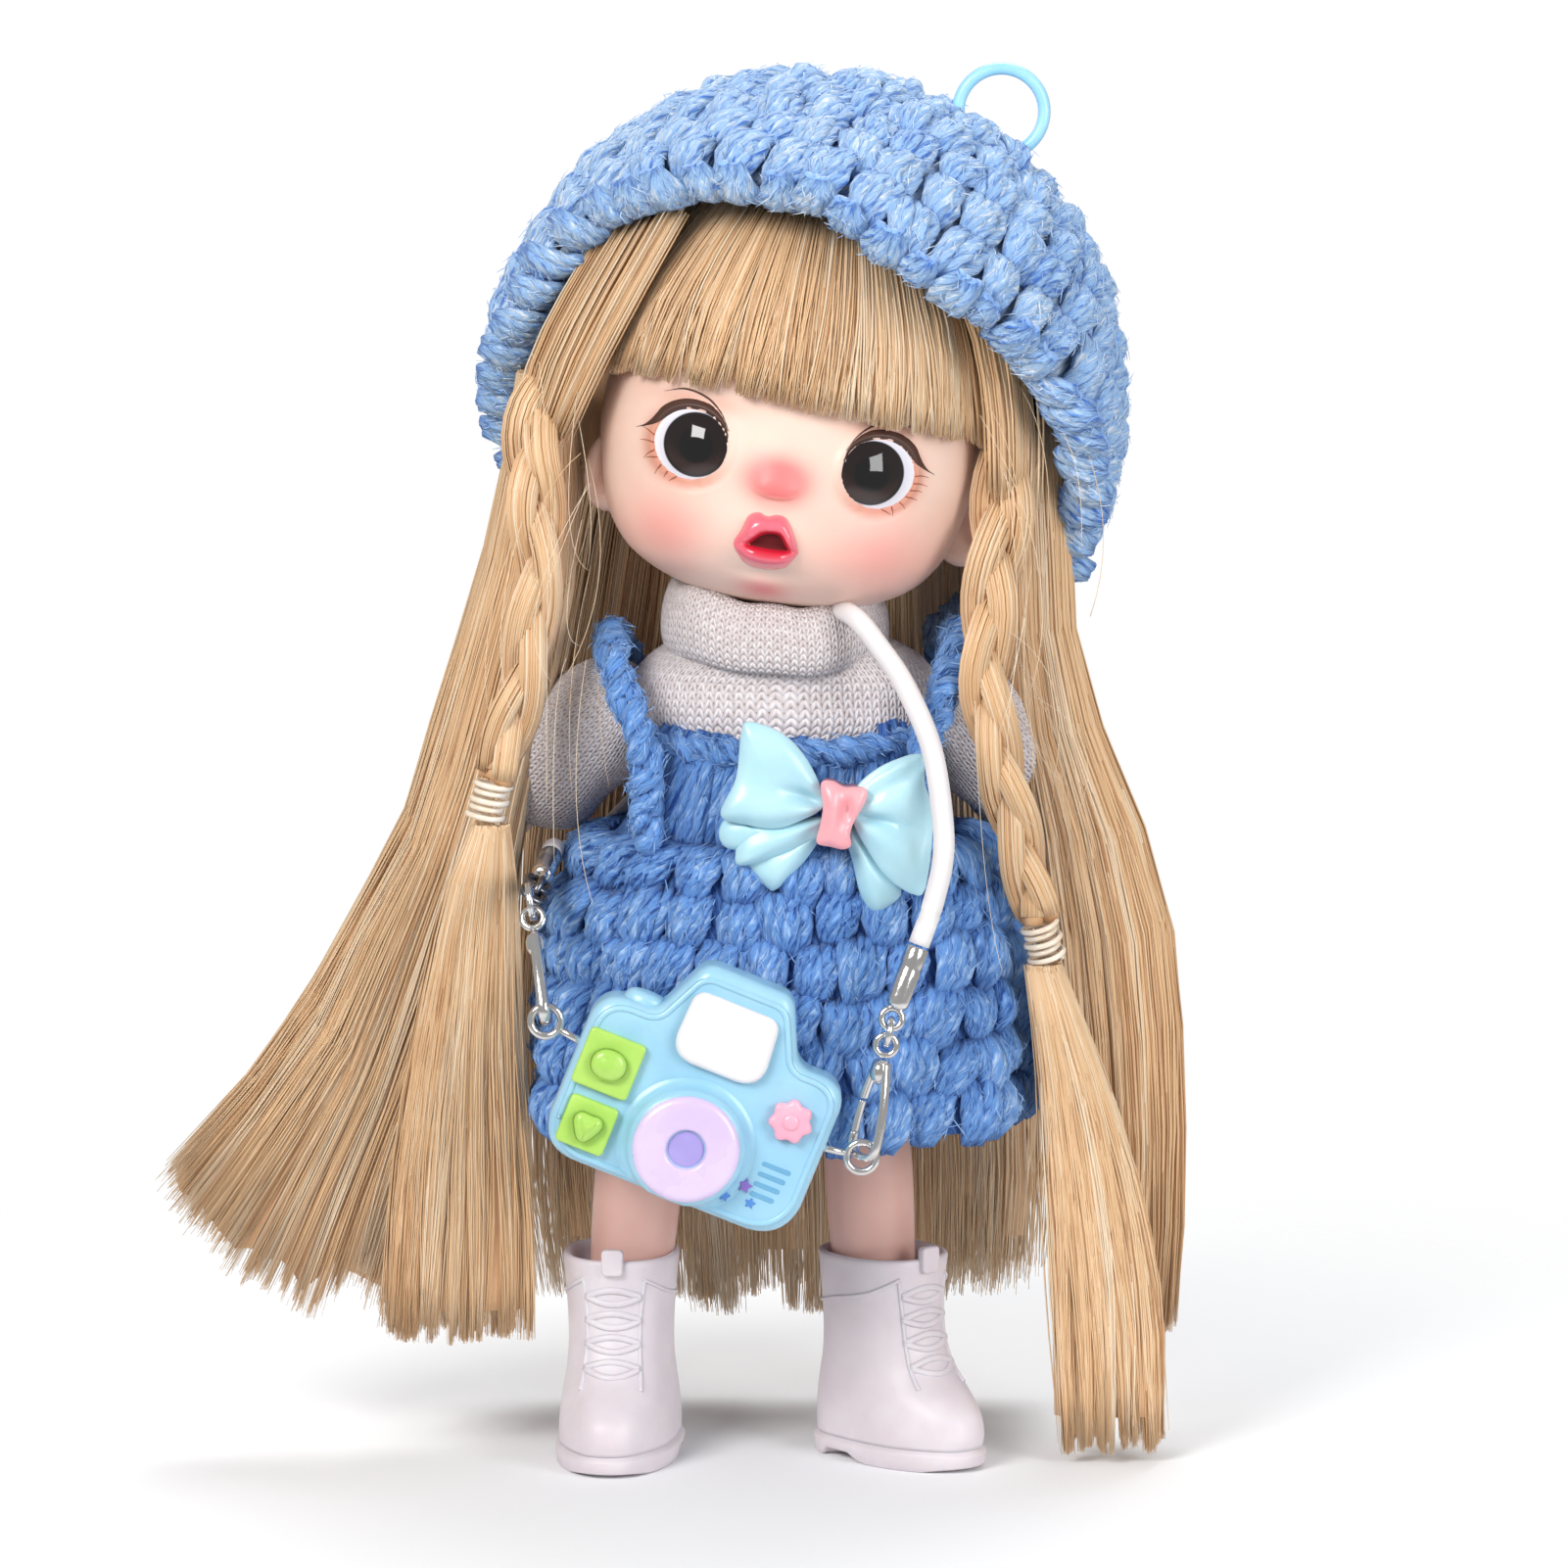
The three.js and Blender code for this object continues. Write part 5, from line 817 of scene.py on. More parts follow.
@dataclass
class Fall:
    """A sheet of hanging hair: an inner body darkened with painted shade, under many fine strands in tapering
    clumps.

    Attributes:
        rows: sections from the top down, each (height, low x, high x, middle y, half depth).
        ends: (x, height) of the cut edge, from low x to high x.
        count: strands.
        clumps: groups that the strands draw into towards their ends.
        seed: start of the random numbers.
        radius: radius of a strand.
        ragged: how unevenly the clumps are cut.
        points: points along a strand.
        squareness: power of the section's rounded corners.
        front_share: share of the clumps that lie on the front.
        core_fill: size of the inner body as a share of the sheet.
        draw: how far a strand moves to its clump's middle at the end.
    """

    rows: Sequence[Sequence[float]]
    ends: Sequence[Flat]
    count: int
    clumps: int
    seed: int
    radius: float = 0.135
    ragged: float = 1.9
    points: int = 10
    squareness: float = 2.5
    front_share: float = 0.58
    core_fill: float = 0.8
    draw: float = 0.72

    def __post_init__(self) -> None:
        """Makes the smooth guide sections."""
        table = np.array(self.rows, float)
        self.guide = spline(table, 60)
        self.rng = np.random.default_rng(self.seed)

    def section(self, z: Array, across: Array, side: Array, fill: Array) -> Array:
        """Points of the sheet.

        Args:
            z: heights.
            across: place over the width, -1 to 1.
            side: -1 for the front and 1 for the back.
            fill: share of the full size.

        Returns:
            Points with a last axis of three.
        """
        g = self.guide[::-1]
        low, high, y, deep = (np.interp(z, g[:, 0], g[:, i]) for i in range(1, 5))
        bulge = (1 - np.abs(across) ** self.squareness) ** (1 / self.squareness)
        x = (low + high) / 2 + (high - low) / 2 * across * fill
        return np.stack(np.broadcast_arrays(x, y + deep * side * bulge * fill, z), -1)

    def cut(self, across: Array, side: Array, fill: Array, spread: float) -> Array:
        """Height at which each strand ends."""
        xs, zs = np.array(self.ends, float).T
        levels = np.linspace(self.guide[0, 0], self.guide[-1, 0], 90)
        path = self.section(levels[None], across[:, None], side[:, None], fill[:, None])
        over = levels[None] >= np.interp(path[..., 0], xs, zs) + spread
        last = np.where(over.all(1), len(levels) - 1, np.argmin(over, axis=1))
        return levels[last]

    def paths(self) -> tuple[Array, Array, Array]:
        """Strand paths, the directions that they face and their tones."""
        n, rng = self.count, self.rng
        owner = rng.integers(0, self.clumps, n)
        centre = rng.uniform(-0.97, 0.97, self.clumps)
        across = np.clip(centre[owner] + rng.normal(0, 0.9 / self.clumps**0.5 * 0.6, n), -0.995, 0.995)
        side = np.where(rng.random(self.clumps) < self.front_share, -1.0, 1.0)[owner]
        fill = rng.uniform(0.84, 1.0, n)
        end = self.cut(across, side, fill, 0.0) + np.abs(rng.normal(0, self.ragged, self.clumps))[owner]
        end = end + np.abs(rng.normal(0, 0.7, n))
        top = self.guide[0, 0] + rng.uniform(-0.6, 0.4, n)
        t = np.linspace(0, 1, self.points)
        z = top[:, None] + (end - top)[:, None] * t
        drawn = across[:, None] + (centre[owner] - across)[:, None] * self.draw * t**2.4
        shrink = fill[:, None] - 0.12 * t**3 * rng.random((n, 1))
        made = self.section(z, np.clip(drawn, -1, 1), side[:, None], shrink)
        wave = rng.uniform(0, 6.28, (2, self.clumps))[:, owner, None]
        made[..., 0] += 0.5 * np.sin(5.2 * t + wave[0]) * t * (1 - 0.3 * t)
        made[..., 1] += 0.45 * np.sin(4.1 * t + wave[1]) * t
        made[..., :2] += rng.normal(0, 0.1, (n, self.points, 2)) * np.sin(np.pi * t)[:, None]
        face = np.stack([across * 0.8, side, np.zeros(n)], -1)[:, None]
        tone = np.clip(rng.normal(0.56, 0.13, self.clumps)[owner] + rng.normal(0, 0.16, n), 0, 1)
        return made, face, tone

    def fill_mesh(self, mesh: Mesh) -> None:
        """Adds the inner body and the strands to a mesh."""
        half = np.linspace(-1, 1, 22) * 0.985
        across = np.r_[half, half[::-1]]
        side = np.r_[-np.ones(22), np.ones(22)]
        fill = np.full(44, self.core_fill)
        end = self.cut(across, side, fill, 1.2 + 1.7 * self.ragged)
        t = np.linspace(0, 1, 18)[:, None]
        z = self.guide[0, 0] - 0.4 + (end - self.guide[0, 0] + 0.4) * t
        body = self.section(z, across[None], side[None], fill[None])
        # the inner body's low tone and depth are painted shade between the strands
        mesh.grid(body[::-1], 0.42, 0.4, uv_scale=(3, 1))
        made, face, tone = self.paths()
        t = np.linspace(0, 1, self.points)
        radius = self.radius * (1 - 0.72 * t**5) * self.rng.uniform(0.75, 1.2, (self.count, 1))
        mesh.strands(made, radius, 3, face, tone)


@dataclass
class Braid:
    """Loose three-part plait along a route."""

    route: Sequence[Sequence[float]]
    front: Point
    turns: float
    seed: int
    radius: float = 2.8
    taper: float = 0.7
    hairs: int = 150

    def fill_mesh(self, mesh: Mesh) -> None:
        """Adds the three woven bundles of fine hairs to a mesh."""
        rng = np.random.default_rng(self.seed)
        s = 64
        line = spline(self.route, s)
        t = np.linspace(0, 1, s)
        along = unit(np.gradient(line, axis=0))
        face = unit(np.array(self.front) - (along @ np.array(self.front))[:, None] * along)
        side = np.cross(along, face)
        size = self.radius * (1 + (self.taper - 1) * t) * (1 + 0.05 * np.sin(9 * t))
        for part in range(3):
            phase = 2 * np.pi * (self.turns * t + part / 3)
            weave = 0.72 * np.sin(phase)
            depth = 0.5 * np.sin(2 * phase)
            core = line + size[:, None] * (weave[:, None] * side + depth[:, None] * face)
            run = unit(np.gradient(core, axis=0))
            up = unit(face - (face * run).sum(1, keepdims=True) * run)
            out = np.cross(run, up)
            wide, thick = size * 0.66, size * 0.46
            a = circle(10)
            ring = core[:, None] + 0.86 * (wide[:, None, None] * np.cos(a)[:, None] * out[:, None]
                                           + thick[:, None, None] * np.sin(a)[:, None] * up[:, None])
            # each bundle's core is darkened with painted shade
            mesh.grid(ring[::-1], 0.4, 0.35, uv_scale=(2, 5))
            angle = rng.uniform(0, 2 * np.pi, (self.hairs, 1)) + 0.35 * rng.normal(0, 1, (self.hairs, 1)) * t
            fill = rng.uniform(0.84, 1.06, (self.hairs, 1, 1))
            c, d = np.cos(angle)[..., None], np.sin(angle)[..., None]
            paths = core + fill * (wide[:, None] * c * out + thick[:, None] * d * up)
            shade = np.clip(rng.normal(0.58, 0.2, self.hairs), 0, 1)
            # painted light and shade: hairs on the front of the weave and on each bundle's forward side are
            # lighter
            lit = np.clip(0.62 + 0.5 * depth + 0.25 * d[..., 0], 0.2, 1)
            mesh.strands(paths[:, ::2], 0.15, 3, (c * out + d * up)[:, ::2], shade, lit[:, ::2])


@dataclass
class Hairdo:
    """Fringe, side locks, back hair, two braids with clear elastics and their loose tails."""

    elastic_wire: float = 0.28
    elastic_pitch: float = 0.95
    elastic_turns: int = 5
    bend_low: float = 95.5
    bend_high: float = 112.0
    stray_hairs: int = 46
    fringe_strands: int = 2800
    fringe_clumps: int = 110
    fringe_top: float = 47.5
    fringe_half: float = 84.0
    temple_strands: tuple[int, int] = (1000, 500)
    right_braid: tuple = ((-26.5, -3, 131), (-29.4, -8.6, 122), (-28.6, -10, 109), (-30.6, -10.5, 95),
                          (-34, -10, 83))
    left_braid: tuple = ((27, -2, 124), (25.6, -8, 115), (23.6, -11.5, 96), (25.8, -11.5, 83.5),
                         (28.6, -9.5, 72), (30, -8.5, 66))

    def falls(self) -> dict[str, Fall]:
        """Hanging sheets by CAD node."""
        right_lock = ((130, -31.5, -25, 0, 4.6), (112, -34.8, -24, 4, 5), (93, -40.6, -27, 5, 5.5),
                      (75, -46.4, -31, 6, 5), (62, -54.5, -32.5, 6, 4.6), (50, -61.5, -33, 6, 4.4),
                      (35, -75.4, -33, 6, 4), (24, -86, -32.5, 6, 4), (12.6, -97, -31, 6, 3.4))
        right_cut = ((-76, 34.5), (-75, 31), (-69, 25.5), (-66.7, 21.5), (-59.7, 18.4), (-57.3, 15.4),
                     (-50.7, 22), (-46, 14.6), (-38.6, 14.6), (-30.6, 13))
        left_lock = ((124, 25.4, 33, 2, 4.6), (112, 25.5, 34, 4, 5), (100, 26, 34.5, 5, 5.5),
                     (83, 27, 39.4, 6, 5), (72, 29, 44.6, 6, 5), (60, 30, 47.4, 6, 4.6),
                     (46, 31, 48.5, 6, 4.4), (30, 32, 48.7, 6, 4), (11.8, 33, 47.5, 6, 3))
        back = ((138, -19, 25, 19, 5), (118, -25, 28, 20, 6), (104, -27, 29, 20.2, 3.2),
                (96, -29, 30, 21.2, 2.6), (84, -32, 32, 25.5, 4.4), (66, -34, 34, 29.5, 4),
                (42, -36, 37, 31, 4), (20, -36, 38, 31, 3.6), (10.6, -34, 36, 31, 2.6))
        right_tail = ((77.5, -36.8, -32.2, -9.6, 2.3), (70, -40, -31.4, -8, 2.4), (55, -43.5, -31, -6, 2.8),
                      (40, -46.5, -30, -4, 3), (28, -48.5, -29, -3, 3), (14.2, -50, -28.6, -3, 2.6))
        left_tail = ((60.6, 28.2, 32.8, -8.2, 2.3), (50, 29.4, 37, -6.5, 2.6), (35, 30, 42, -5, 3),
                     (18, 30.4, 45.5, -4, 3), (1.0, 30.8, 46.5, -4, 2.6))
        return {
            "right_side_lock": Fall(right_lock, right_cut, count=3300, clumps=130, seed=11),
            "left_side_lock": Fall(left_lock, ((30, 13), (40, 12), (48, 14)), count=2400, clumps=80, seed=12),
            "back_hair": Fall(back, ((-37, 14), (-20, 11.5), (0, 11), (20, 12), (38, 15)), count=3300,
                              clumps=90, seed=13, radius=0.15, ragged=4.2),
            "right_braid_tail": Fall(right_tail, ((-50, 16.5), (-46, 14.5), (-36, 14.6), (-28, 14.8)),
                                     count=1900, clumps=52, seed=14, radius=0.13),
            "left_braid_tail": Fall(left_tail, ((30, 1.8), (38, 1.2), (47, 1.8)), count=1900, clumps=50,
                                    seed=15, radius=0.13),
        }

    def build(self) -> list[Piece]:
        """Makes every hair piece."""
        material, pale = BLONDE.material(), LIT_BLONDE.material()
        made = []
        for node, fall in self.falls().items():
            mesh = Mesh()
            fall.fill_mesh(mesh)
            if node == "back_hair":
                self.cap(mesh)
                self.flyaways(mesh)
            # the back hair takes the lighter copy: painted light where it hangs in the skirt's shadow
            look = pale if node == "back_hair" else material
            made.append(self.hang(mesh.build(f"{node}_hair", look), node))
        plaits = {Side.RIGHT: Braid(self.right_braid, (-0.25, -1, 0), turns=1.35, seed=21),
                  Side.LEFT: Braid(self.left_braid, (0.1, -1, 0), turns=1.75, seed=22)}
        for side, plait in plaits.items():
            mesh = Mesh()
            plait.fill_mesh(mesh)
            made.append(self.hang(mesh.build(f"{side.label}_braid_hair", material), f"{side.label}_braid"))
            made.append(self.elastic(side, plait))
        return made

    def hang(self, piece: Piece, node: str) -> Piece:
        """Hides the node that a hair piece stands for and bakes the piece's placement into its points."""
        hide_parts(node)
        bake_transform(piece)
        return piece

    def elastic(self, side: Side, plait: Braid) -> Piece:
        """Makes the clear windings that tie a braid off."""
        line = np.array(plait.route, float)
        end = line[-1]
        along = unit(line[-1] - line[-2])
        ahead = unit(np.cross(along, (0, 1, 0)))
        up = np.cross(along, ahead)
        turns, stem = self.elastic_turns, plait.radius * 0.62
        t = np.linspace(0, 1, turns * 22)
        a = 2 * np.pi * turns * t
        reach = (t - 0.5) * self.elastic_pitch * turns + 2.6
        swell = stem + 0.25 * np.sin(a * 0.5 + 1) + 0.2
        path = end + along * reach[:, None] + swell[:, None] * (np.cos(a)[:, None] * ahead
                                                                + np.sin(a)[:, None] * up)
        mesh = Mesh()
        mesh.strands(path[None], self.elastic_wire * 1.25, 8, unit(path - end)[None])
        glass = Cast(f"{side.label}_clear_elastic", srgb(250, 240, 226), srgb(236, 216, 190),
                     roughness=0.1, coat=1.0)
        made = mesh.build(f"{side.label}_hair_elastic_winding", glass.material())
        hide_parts(f"{side.label}_hair_elastic")
        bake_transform(made)
        return made

    def flyaways(self, mesh: Mesh) -> None:
        """Adds single stray hairs that bow out from the sides and across the brim."""
        rng = np.random.default_rng(77)
        n, s = self.stray_hairs, 14
        side = rng.choice([-1, 1], n)
        start = np.stack([side * rng.uniform(22, 30, n), rng.uniform(-14, -4, n), rng.uniform(92, 134, n)], 1)
        swing = np.stack([side * rng.uniform(-6, 9, n), rng.uniform(-7, -2, n), rng.uniform(-8, 8, n)], 1)
        end = start + np.stack([side * rng.uniform(-2, 8, n), rng.uniform(-3, 2, n),
                                rng.uniform(-34, -14, n)], 1)
        t = np.linspace(0, 1, s)[None, :, None]
        middle = (start + end + 2 * swing)[:, None] / 2
        paths = (1 - t) ** 2 * start[:, None] + 2 * t * (1 - t) * middle + t**2 * end[:, None]
        mesh.strands(paths, 0.05, 3, FACING_CAMERA, rng.uniform(0.5, 1, n))

    def cap(self, mesh: Mesh) -> None:
        """Adds the hair that covers the skull under the hat."""
        form = HeadForm()
        t = 0.5 - 0.5 * np.cos(np.linspace(0.32, 0.99, 22) * np.pi)
        a = np.linspace(14, 166, 60)
        outer = form.place(form.skin(t[:, None], a[None], 4.2))
        inner = form.place(form.skin(t[:, None], a[None], 0.6))
        ring = np.concatenate([outer, inner[:, ::-1]], axis=1)
        # half depth: painted shade on the hair under the hat
        mesh.grid(ring, 0.45, 0.5, uv_scale=(14, 1))

    def temples(self, mesh: Mesh) -> None:
        """Adds the hair that comes down from under the brim to the tops of the braids."""
        near = {Side.RIGHT: ((-12, -9.6, 150), (-17.4, -10.9, 140.5), (-22.4, -9.8, 131), (-25.6, -9.2, 124)),
                Side.LEFT: ((19.5, -10, 143), (22.6, -10.5, 136), (24.2, -9.6, 127), (24.6, -9.4, 117))}
        far = {Side.RIGHT: ((-21, -3, 147), (-26.4, -3.6, 138), (-29.6, -4.4, 131), (-31.4, -5.6, 122)),
               Side.LEFT: ((24, -3, 141), (27.6, -4, 133), (28.8, -5, 125), (28.6, -7.4, 115))}
        for side, count in zip(Side, self.temple_strands):
            rng = np.random.default_rng(60 + side.value)
            u = rng.random((count, 1, 1))
            inner, outer = spline(near[side], 7), spline(far[side], 7)
            paths = inner + (outer - inner) * u + rng.normal(0, 0.45, (count, 1, 3))
            t = np.linspace(0, 1, 7)
            paths[..., 1] -= 1.3 * (np.sin(np.pi * u[..., 0]) * np.sin(np.pi * t))
            tone = np.clip(0.55 + 0.14 * np.sin(40 * u[:, 0, 0]) + rng.normal(0, 0.16, count), 0, 1)
            mesh.strands(paths, 0.15 * (1 - 0.6 * t**6)[None], 3, np.array([side.value * 0.5, -1, 0.2]), tone)

    def fringe(self) -> Piece:
        """Makes the straight-cut fringe: a thin sheet with fine strands combed down over it."""
        form, rng = HeadForm(), np.random.default_rng(41)
        mesh = Mesh()

        def cut(angle: Array) -> Array:
            """Local height of the cut edge at an angle from straight ahead, in degrees."""
            return np.interp(angle, (-95, -50, -10, 25, 60, 95), (24.5, 26.6, 26.3, 25.2, 24.4, 22.5))

        a = np.linspace(-self.fringe_half, self.fringe_half, 64)
        z = cut(a) + 2.2 + (46 - cut(a)) * np.linspace(0, 1, 12)[:, None]
        sheet = form.skin((z - form.chin_rise) / form.height, a - 90, 1.35)
        under = form.skin((z - form.chin_rise) / form.height, a - 90, 0.35)
        # the sheet under the strands is darkened with painted shade
        mesh.grid(form.place(np.concatenate([sheet, under[:, ::-1]], axis=1)), 0.4, 0.3, uv_scale=(14, 1))
        n, s, clumps = self.fringe_strands, 8, self.fringe_clumps
        owner = rng.integers(0, clumps, n)
        centre = rng.uniform(-88, 88, clumps)
        angle = np.clip(centre[owner] + rng.normal(0, 3.2, n), -90, 90)
        t = np.linspace(0, 1, s)
        end = cut(angle) + np.abs(rng.normal(0, 0.6, clumps))[owner] + np.abs(rng.normal(0, 0.55, n))
        z = self.fringe_top + (end[:, None] - self.fringe_top) * t
        swing = angle[:, None] + (centre[owner] - angle)[:, None] * 0.62 * t**2
        swing = swing + rng.normal(0, 1.0, (n, 1)) * (1 - t)
        lift = rng.uniform(1.35, 2.3, n)[:, None] - 0.35 * t**3
        lift = lift + rng.uniform(0, 0.5, (clumps, 1))[owner] * np.sin(3 * t)
        paths = form.place(form.skin((z - form.chin_rise) / form.height, swing - 90, lift))
        rad = np.radians(angle - 90)
        face = np.stack([np.cos(rad), np.sin(rad), np.full(n, 0.2)], -1)[:, None]
        tone = np.clip(rng.normal(0.55, 0.14, clumps)[owner] + rng.normal(0, 0.16, n), 0, 1)
        mesh.strands(paths, 0.13 * (1 - 0.6 * t**6)[None], 3, face, tone)
        self.temples(mesh)
        made = mesh.build("fringe_hair", BLONDE.material())
        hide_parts("fringe")
        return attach(made, "head")


@dataclass
class HeadForm:
    """Egg that the head and the hair on it follow, in the head's own frame.

    Attributes:
        rows: height, then the shares of the half width, the face's depth and the skull's depth there.
    """

    neck: Point = (-2.5, 2.0, 101.5)
    roll: float = 9.0
    width: float = 43.0
    height: float = 53.8
    face_depth: float = 19.5
    skull_depth: float = 21.0
    chin_rise: float = 1.2
    power: float = 2.25
    rows: tuple = ((1.2, 0.02, 0.02, 0.02), (1.45, 0.27, 0.31, 0.2), (2.4, 0.47, 0.51, 0.3),
                   (3.5, 0.615, 0.65, 0.36), (5.0, 0.745, 0.78, 0.44), (6.5, 0.83, 0.865, 0.52),
                   (8.6, 0.905, 0.93, 0.6), (10.5, 0.95, 0.965, 0.67), (13, 0.99, 0.985, 0.77),
                   (17, 1.03, 1.0, 0.89), (20, 1.05, 1.0, 0.95), (25, 1.04, 0.97, 1.0),
                   (30.5, 0.97, 0.95, 1.0), (36.6, 0.87, 0.88, 0.93), (42.8, 0.7, 0.72, 0.77),
                   (48.9, 0.46, 0.46, 0.5), (53, 0.22, 0.22, 0.24), (55, 0.02, 0.02, 0.02))

    def __post_init__(self) -> None:
        """Draws the smooth profile through the rows."""
        scale = np.array([1, self.width / 2, self.face_depth, self.skull_depth])
        self.table = spline(np.array(self.rows) * scale, 400)

    def profile(self, z: Array) -> list[Array]:
        """Half width, face depth and skull depth at a height."""
        return [np.interp(z, self.table[:, 0], self.table[:, i]) for i in (1, 2, 3)]

    def skin(self, t: Array, degrees: Array, grow: Any = 0.0) -> Array:
        """Points of the egg.

        Args:
            t: share of the height.
            degrees: angle about the upright axis, -90 straight ahead.
            grow: distance outside the egg.

        Returns:
            Local points.
        """
        a = np.radians(degrees)
        c, s = np.cos(a), np.sin(a)
        z = self.chin_rise + self.height * t + 0 * a
        wide, face, skull = self.profile(z)
        deep = np.where(s < 0, face, skull) + grow
        return np.stack(np.broadcast_arrays((wide + grow) * bend(c, self.power), deep * bend(s, self.power),
                                            z + grow * smoothstep(0.7, 1, t)), -1)

    def place(self, local: Array) -> Array:
        """Head-frame points in the doll's frame."""
        return np.array(self.neck) + local @ turn("Y", self.roll).T


@dataclass(frozen=True)
class Skin:
    """Moulded doll skin with airbrushed blush; its UV is the face's own x and height.

    Attributes:
        painted: whether the face's blush is added.
        cheeks: soft ovals of paint, each (x, height, half width, half height).
        nose: the oval on the nose.
        chin: the oval under the mouth.
        eye_half: half width and half height of the shaded eye opening.
    """

    name: str
    colour: Colour
    deep: Colour
    painted: bool = False
    cheeks: tuple = ((-12.8, 9.6, 5.4, 4.4), (11.8, 10.6, 6.4, 4.7))
    nose: tuple = (-1.0, 17.7, 4.0, 2.9)
    chin: tuple = (-0.6, 4.3, 3.1, 1.3)
    eye_half: Flat = (4.3, 4.15)

    def material(self) -> bpy.types.Material:
        """Makes the material."""
        g = Graph(self.name)
        place = g.place()
        mottle = g.noise(place, 90.0, 3.0)
        colour = g.mix(mottle.ramp(0.25, 0.8), self.deep, self.colour)
        if self.painted:
            colour = self.blush(g, colour)
        return g.finish(base_color=colour, roughness=0.42 + mottle * 0.1, subsurface_weight=0.12,
                        subsurface_scale=0.003, coat_weight=0.06,
                        normal=g.bump(g.noise(place, 2600.0), 0.4, 0.00001))

    def blush(self, g: Graph, colour: Wire) -> Wire:
        """Adds the painted blush, lid shading and a line of painted shade under the nose to a skin colour."""
        _, u, v = g.uv()
        x, z = (u - 0.5) * FACE_SPAN, v * FACE_SPAN

        def spot(cx: float, cz: float, rx: float, rz: float, power: float = 1.0) -> Wire:
            """Soft oval of paint."""
            a, b = (x - cx) / rx, (z - cz) / rz
            return (0 - (a * a + b * b)).maths("EXPONENT") ** power

        rose, coral = srgb(244, 140, 136), srgb(236, 108, 112)
        amber, shade = srgb(204, 122, 92), srgb(190, 122, 108)
        for side in (-1, 1):
            cx = side * EYE_X + FACE_SHIFT
            a, b = (x - cx) / self.eye_half[0], (z - EYE_RISE) / self.eye_half[1]
            rim = (a * a + b * b) ** 0.5
            weight = (a * (0.4 * side) - b * 0.4 + 0.5).ramp(0.0, 1.0)
            colour = g.mix(rim.ramp(1.7, 1.0) ** 2 * weight * 0.85, colour, amber)
            colour = g.mix(spot(cx - side * 0.3, 25.1, 4.4, 1.1) * 0.6, colour, amber)
        for cheek in self.cheeks:
            colour = g.mix(spot(*cheek) * 0.55, colour, rose)
        colour = g.mix((spot(*self.nose) * 1.25).ramp(0.0, 1.0) * 0.84, colour, coral)
        # painted shade along the crease under the nose
        drop = (z - 15.45 - (x + 1.0) * (x + 1.0) * 0.1) / 0.17
        colour = g.mix((0 - drop * drop).maths("EXPONENT") * spot(-1.0, 15.6, 2.2, 2.2) * 0.8, colour, shade)
        return g.mix(spot(*self.chin) * 0.75, colour, coral)


@dataclass(frozen=True)
class EyeGlass:
    """Glossy doll eye: white, dark brown iris with a warm lower crescent, black pupil."""

    name: str = "doll_eye"

    def material(self) -> bpy.types.Material:
        """Makes the material; its UV is centred on the iris, one unit to the iris's edge."""
        g = Graph(self.name)
        vector, u, v = g.uv()
        r = (u * u + v * v) ** 0.5
        spokes = g.noise(g.stretch(vector, (5, 5, 1)), 2.2, 4.0)
        warm = g.mix((v * -0.9 + r * 0.7 - 0.55 + spokes * 0.35).ramp(0.1, 0.85),
                     srgb(22, 10, 8), srgb(50, 32, 28))
        iris = g.mix(r.ramp(0.86, 1.0), warm, srgb(18, 9, 8))
        iris = g.mix(r.ramp(0.62, 0.5), iris, srgb(8, 5, 5))
        white = g.mix(r.ramp(1.0, 1.35), srgb(224, 222, 234), srgb(244, 244, 250))
        return g.finish(base_color=g.mix(r.ramp(1.0, 1.05), iris, white), roughness=0.06,
                        coat_weight=0.4, coat_roughness=0.02)


@dataclass(frozen=True)
class Paint:
    """Brush paint or lip gloss: two colours by the point's tone."""

    name: str
    low: Colour
    high: Colour
    roughness: float = 0.5
    coat: float = 0.0

    def material(self) -> bpy.types.Material:
        """Makes the material."""
        g = Graph(self.name)
        tone = g.attribute("tone")
        return g.finish(base_color=g.mix(tone, self.low, self.high), roughness=self.roughness,
                        coat_weight=self.coat, coat_roughness=0.08)


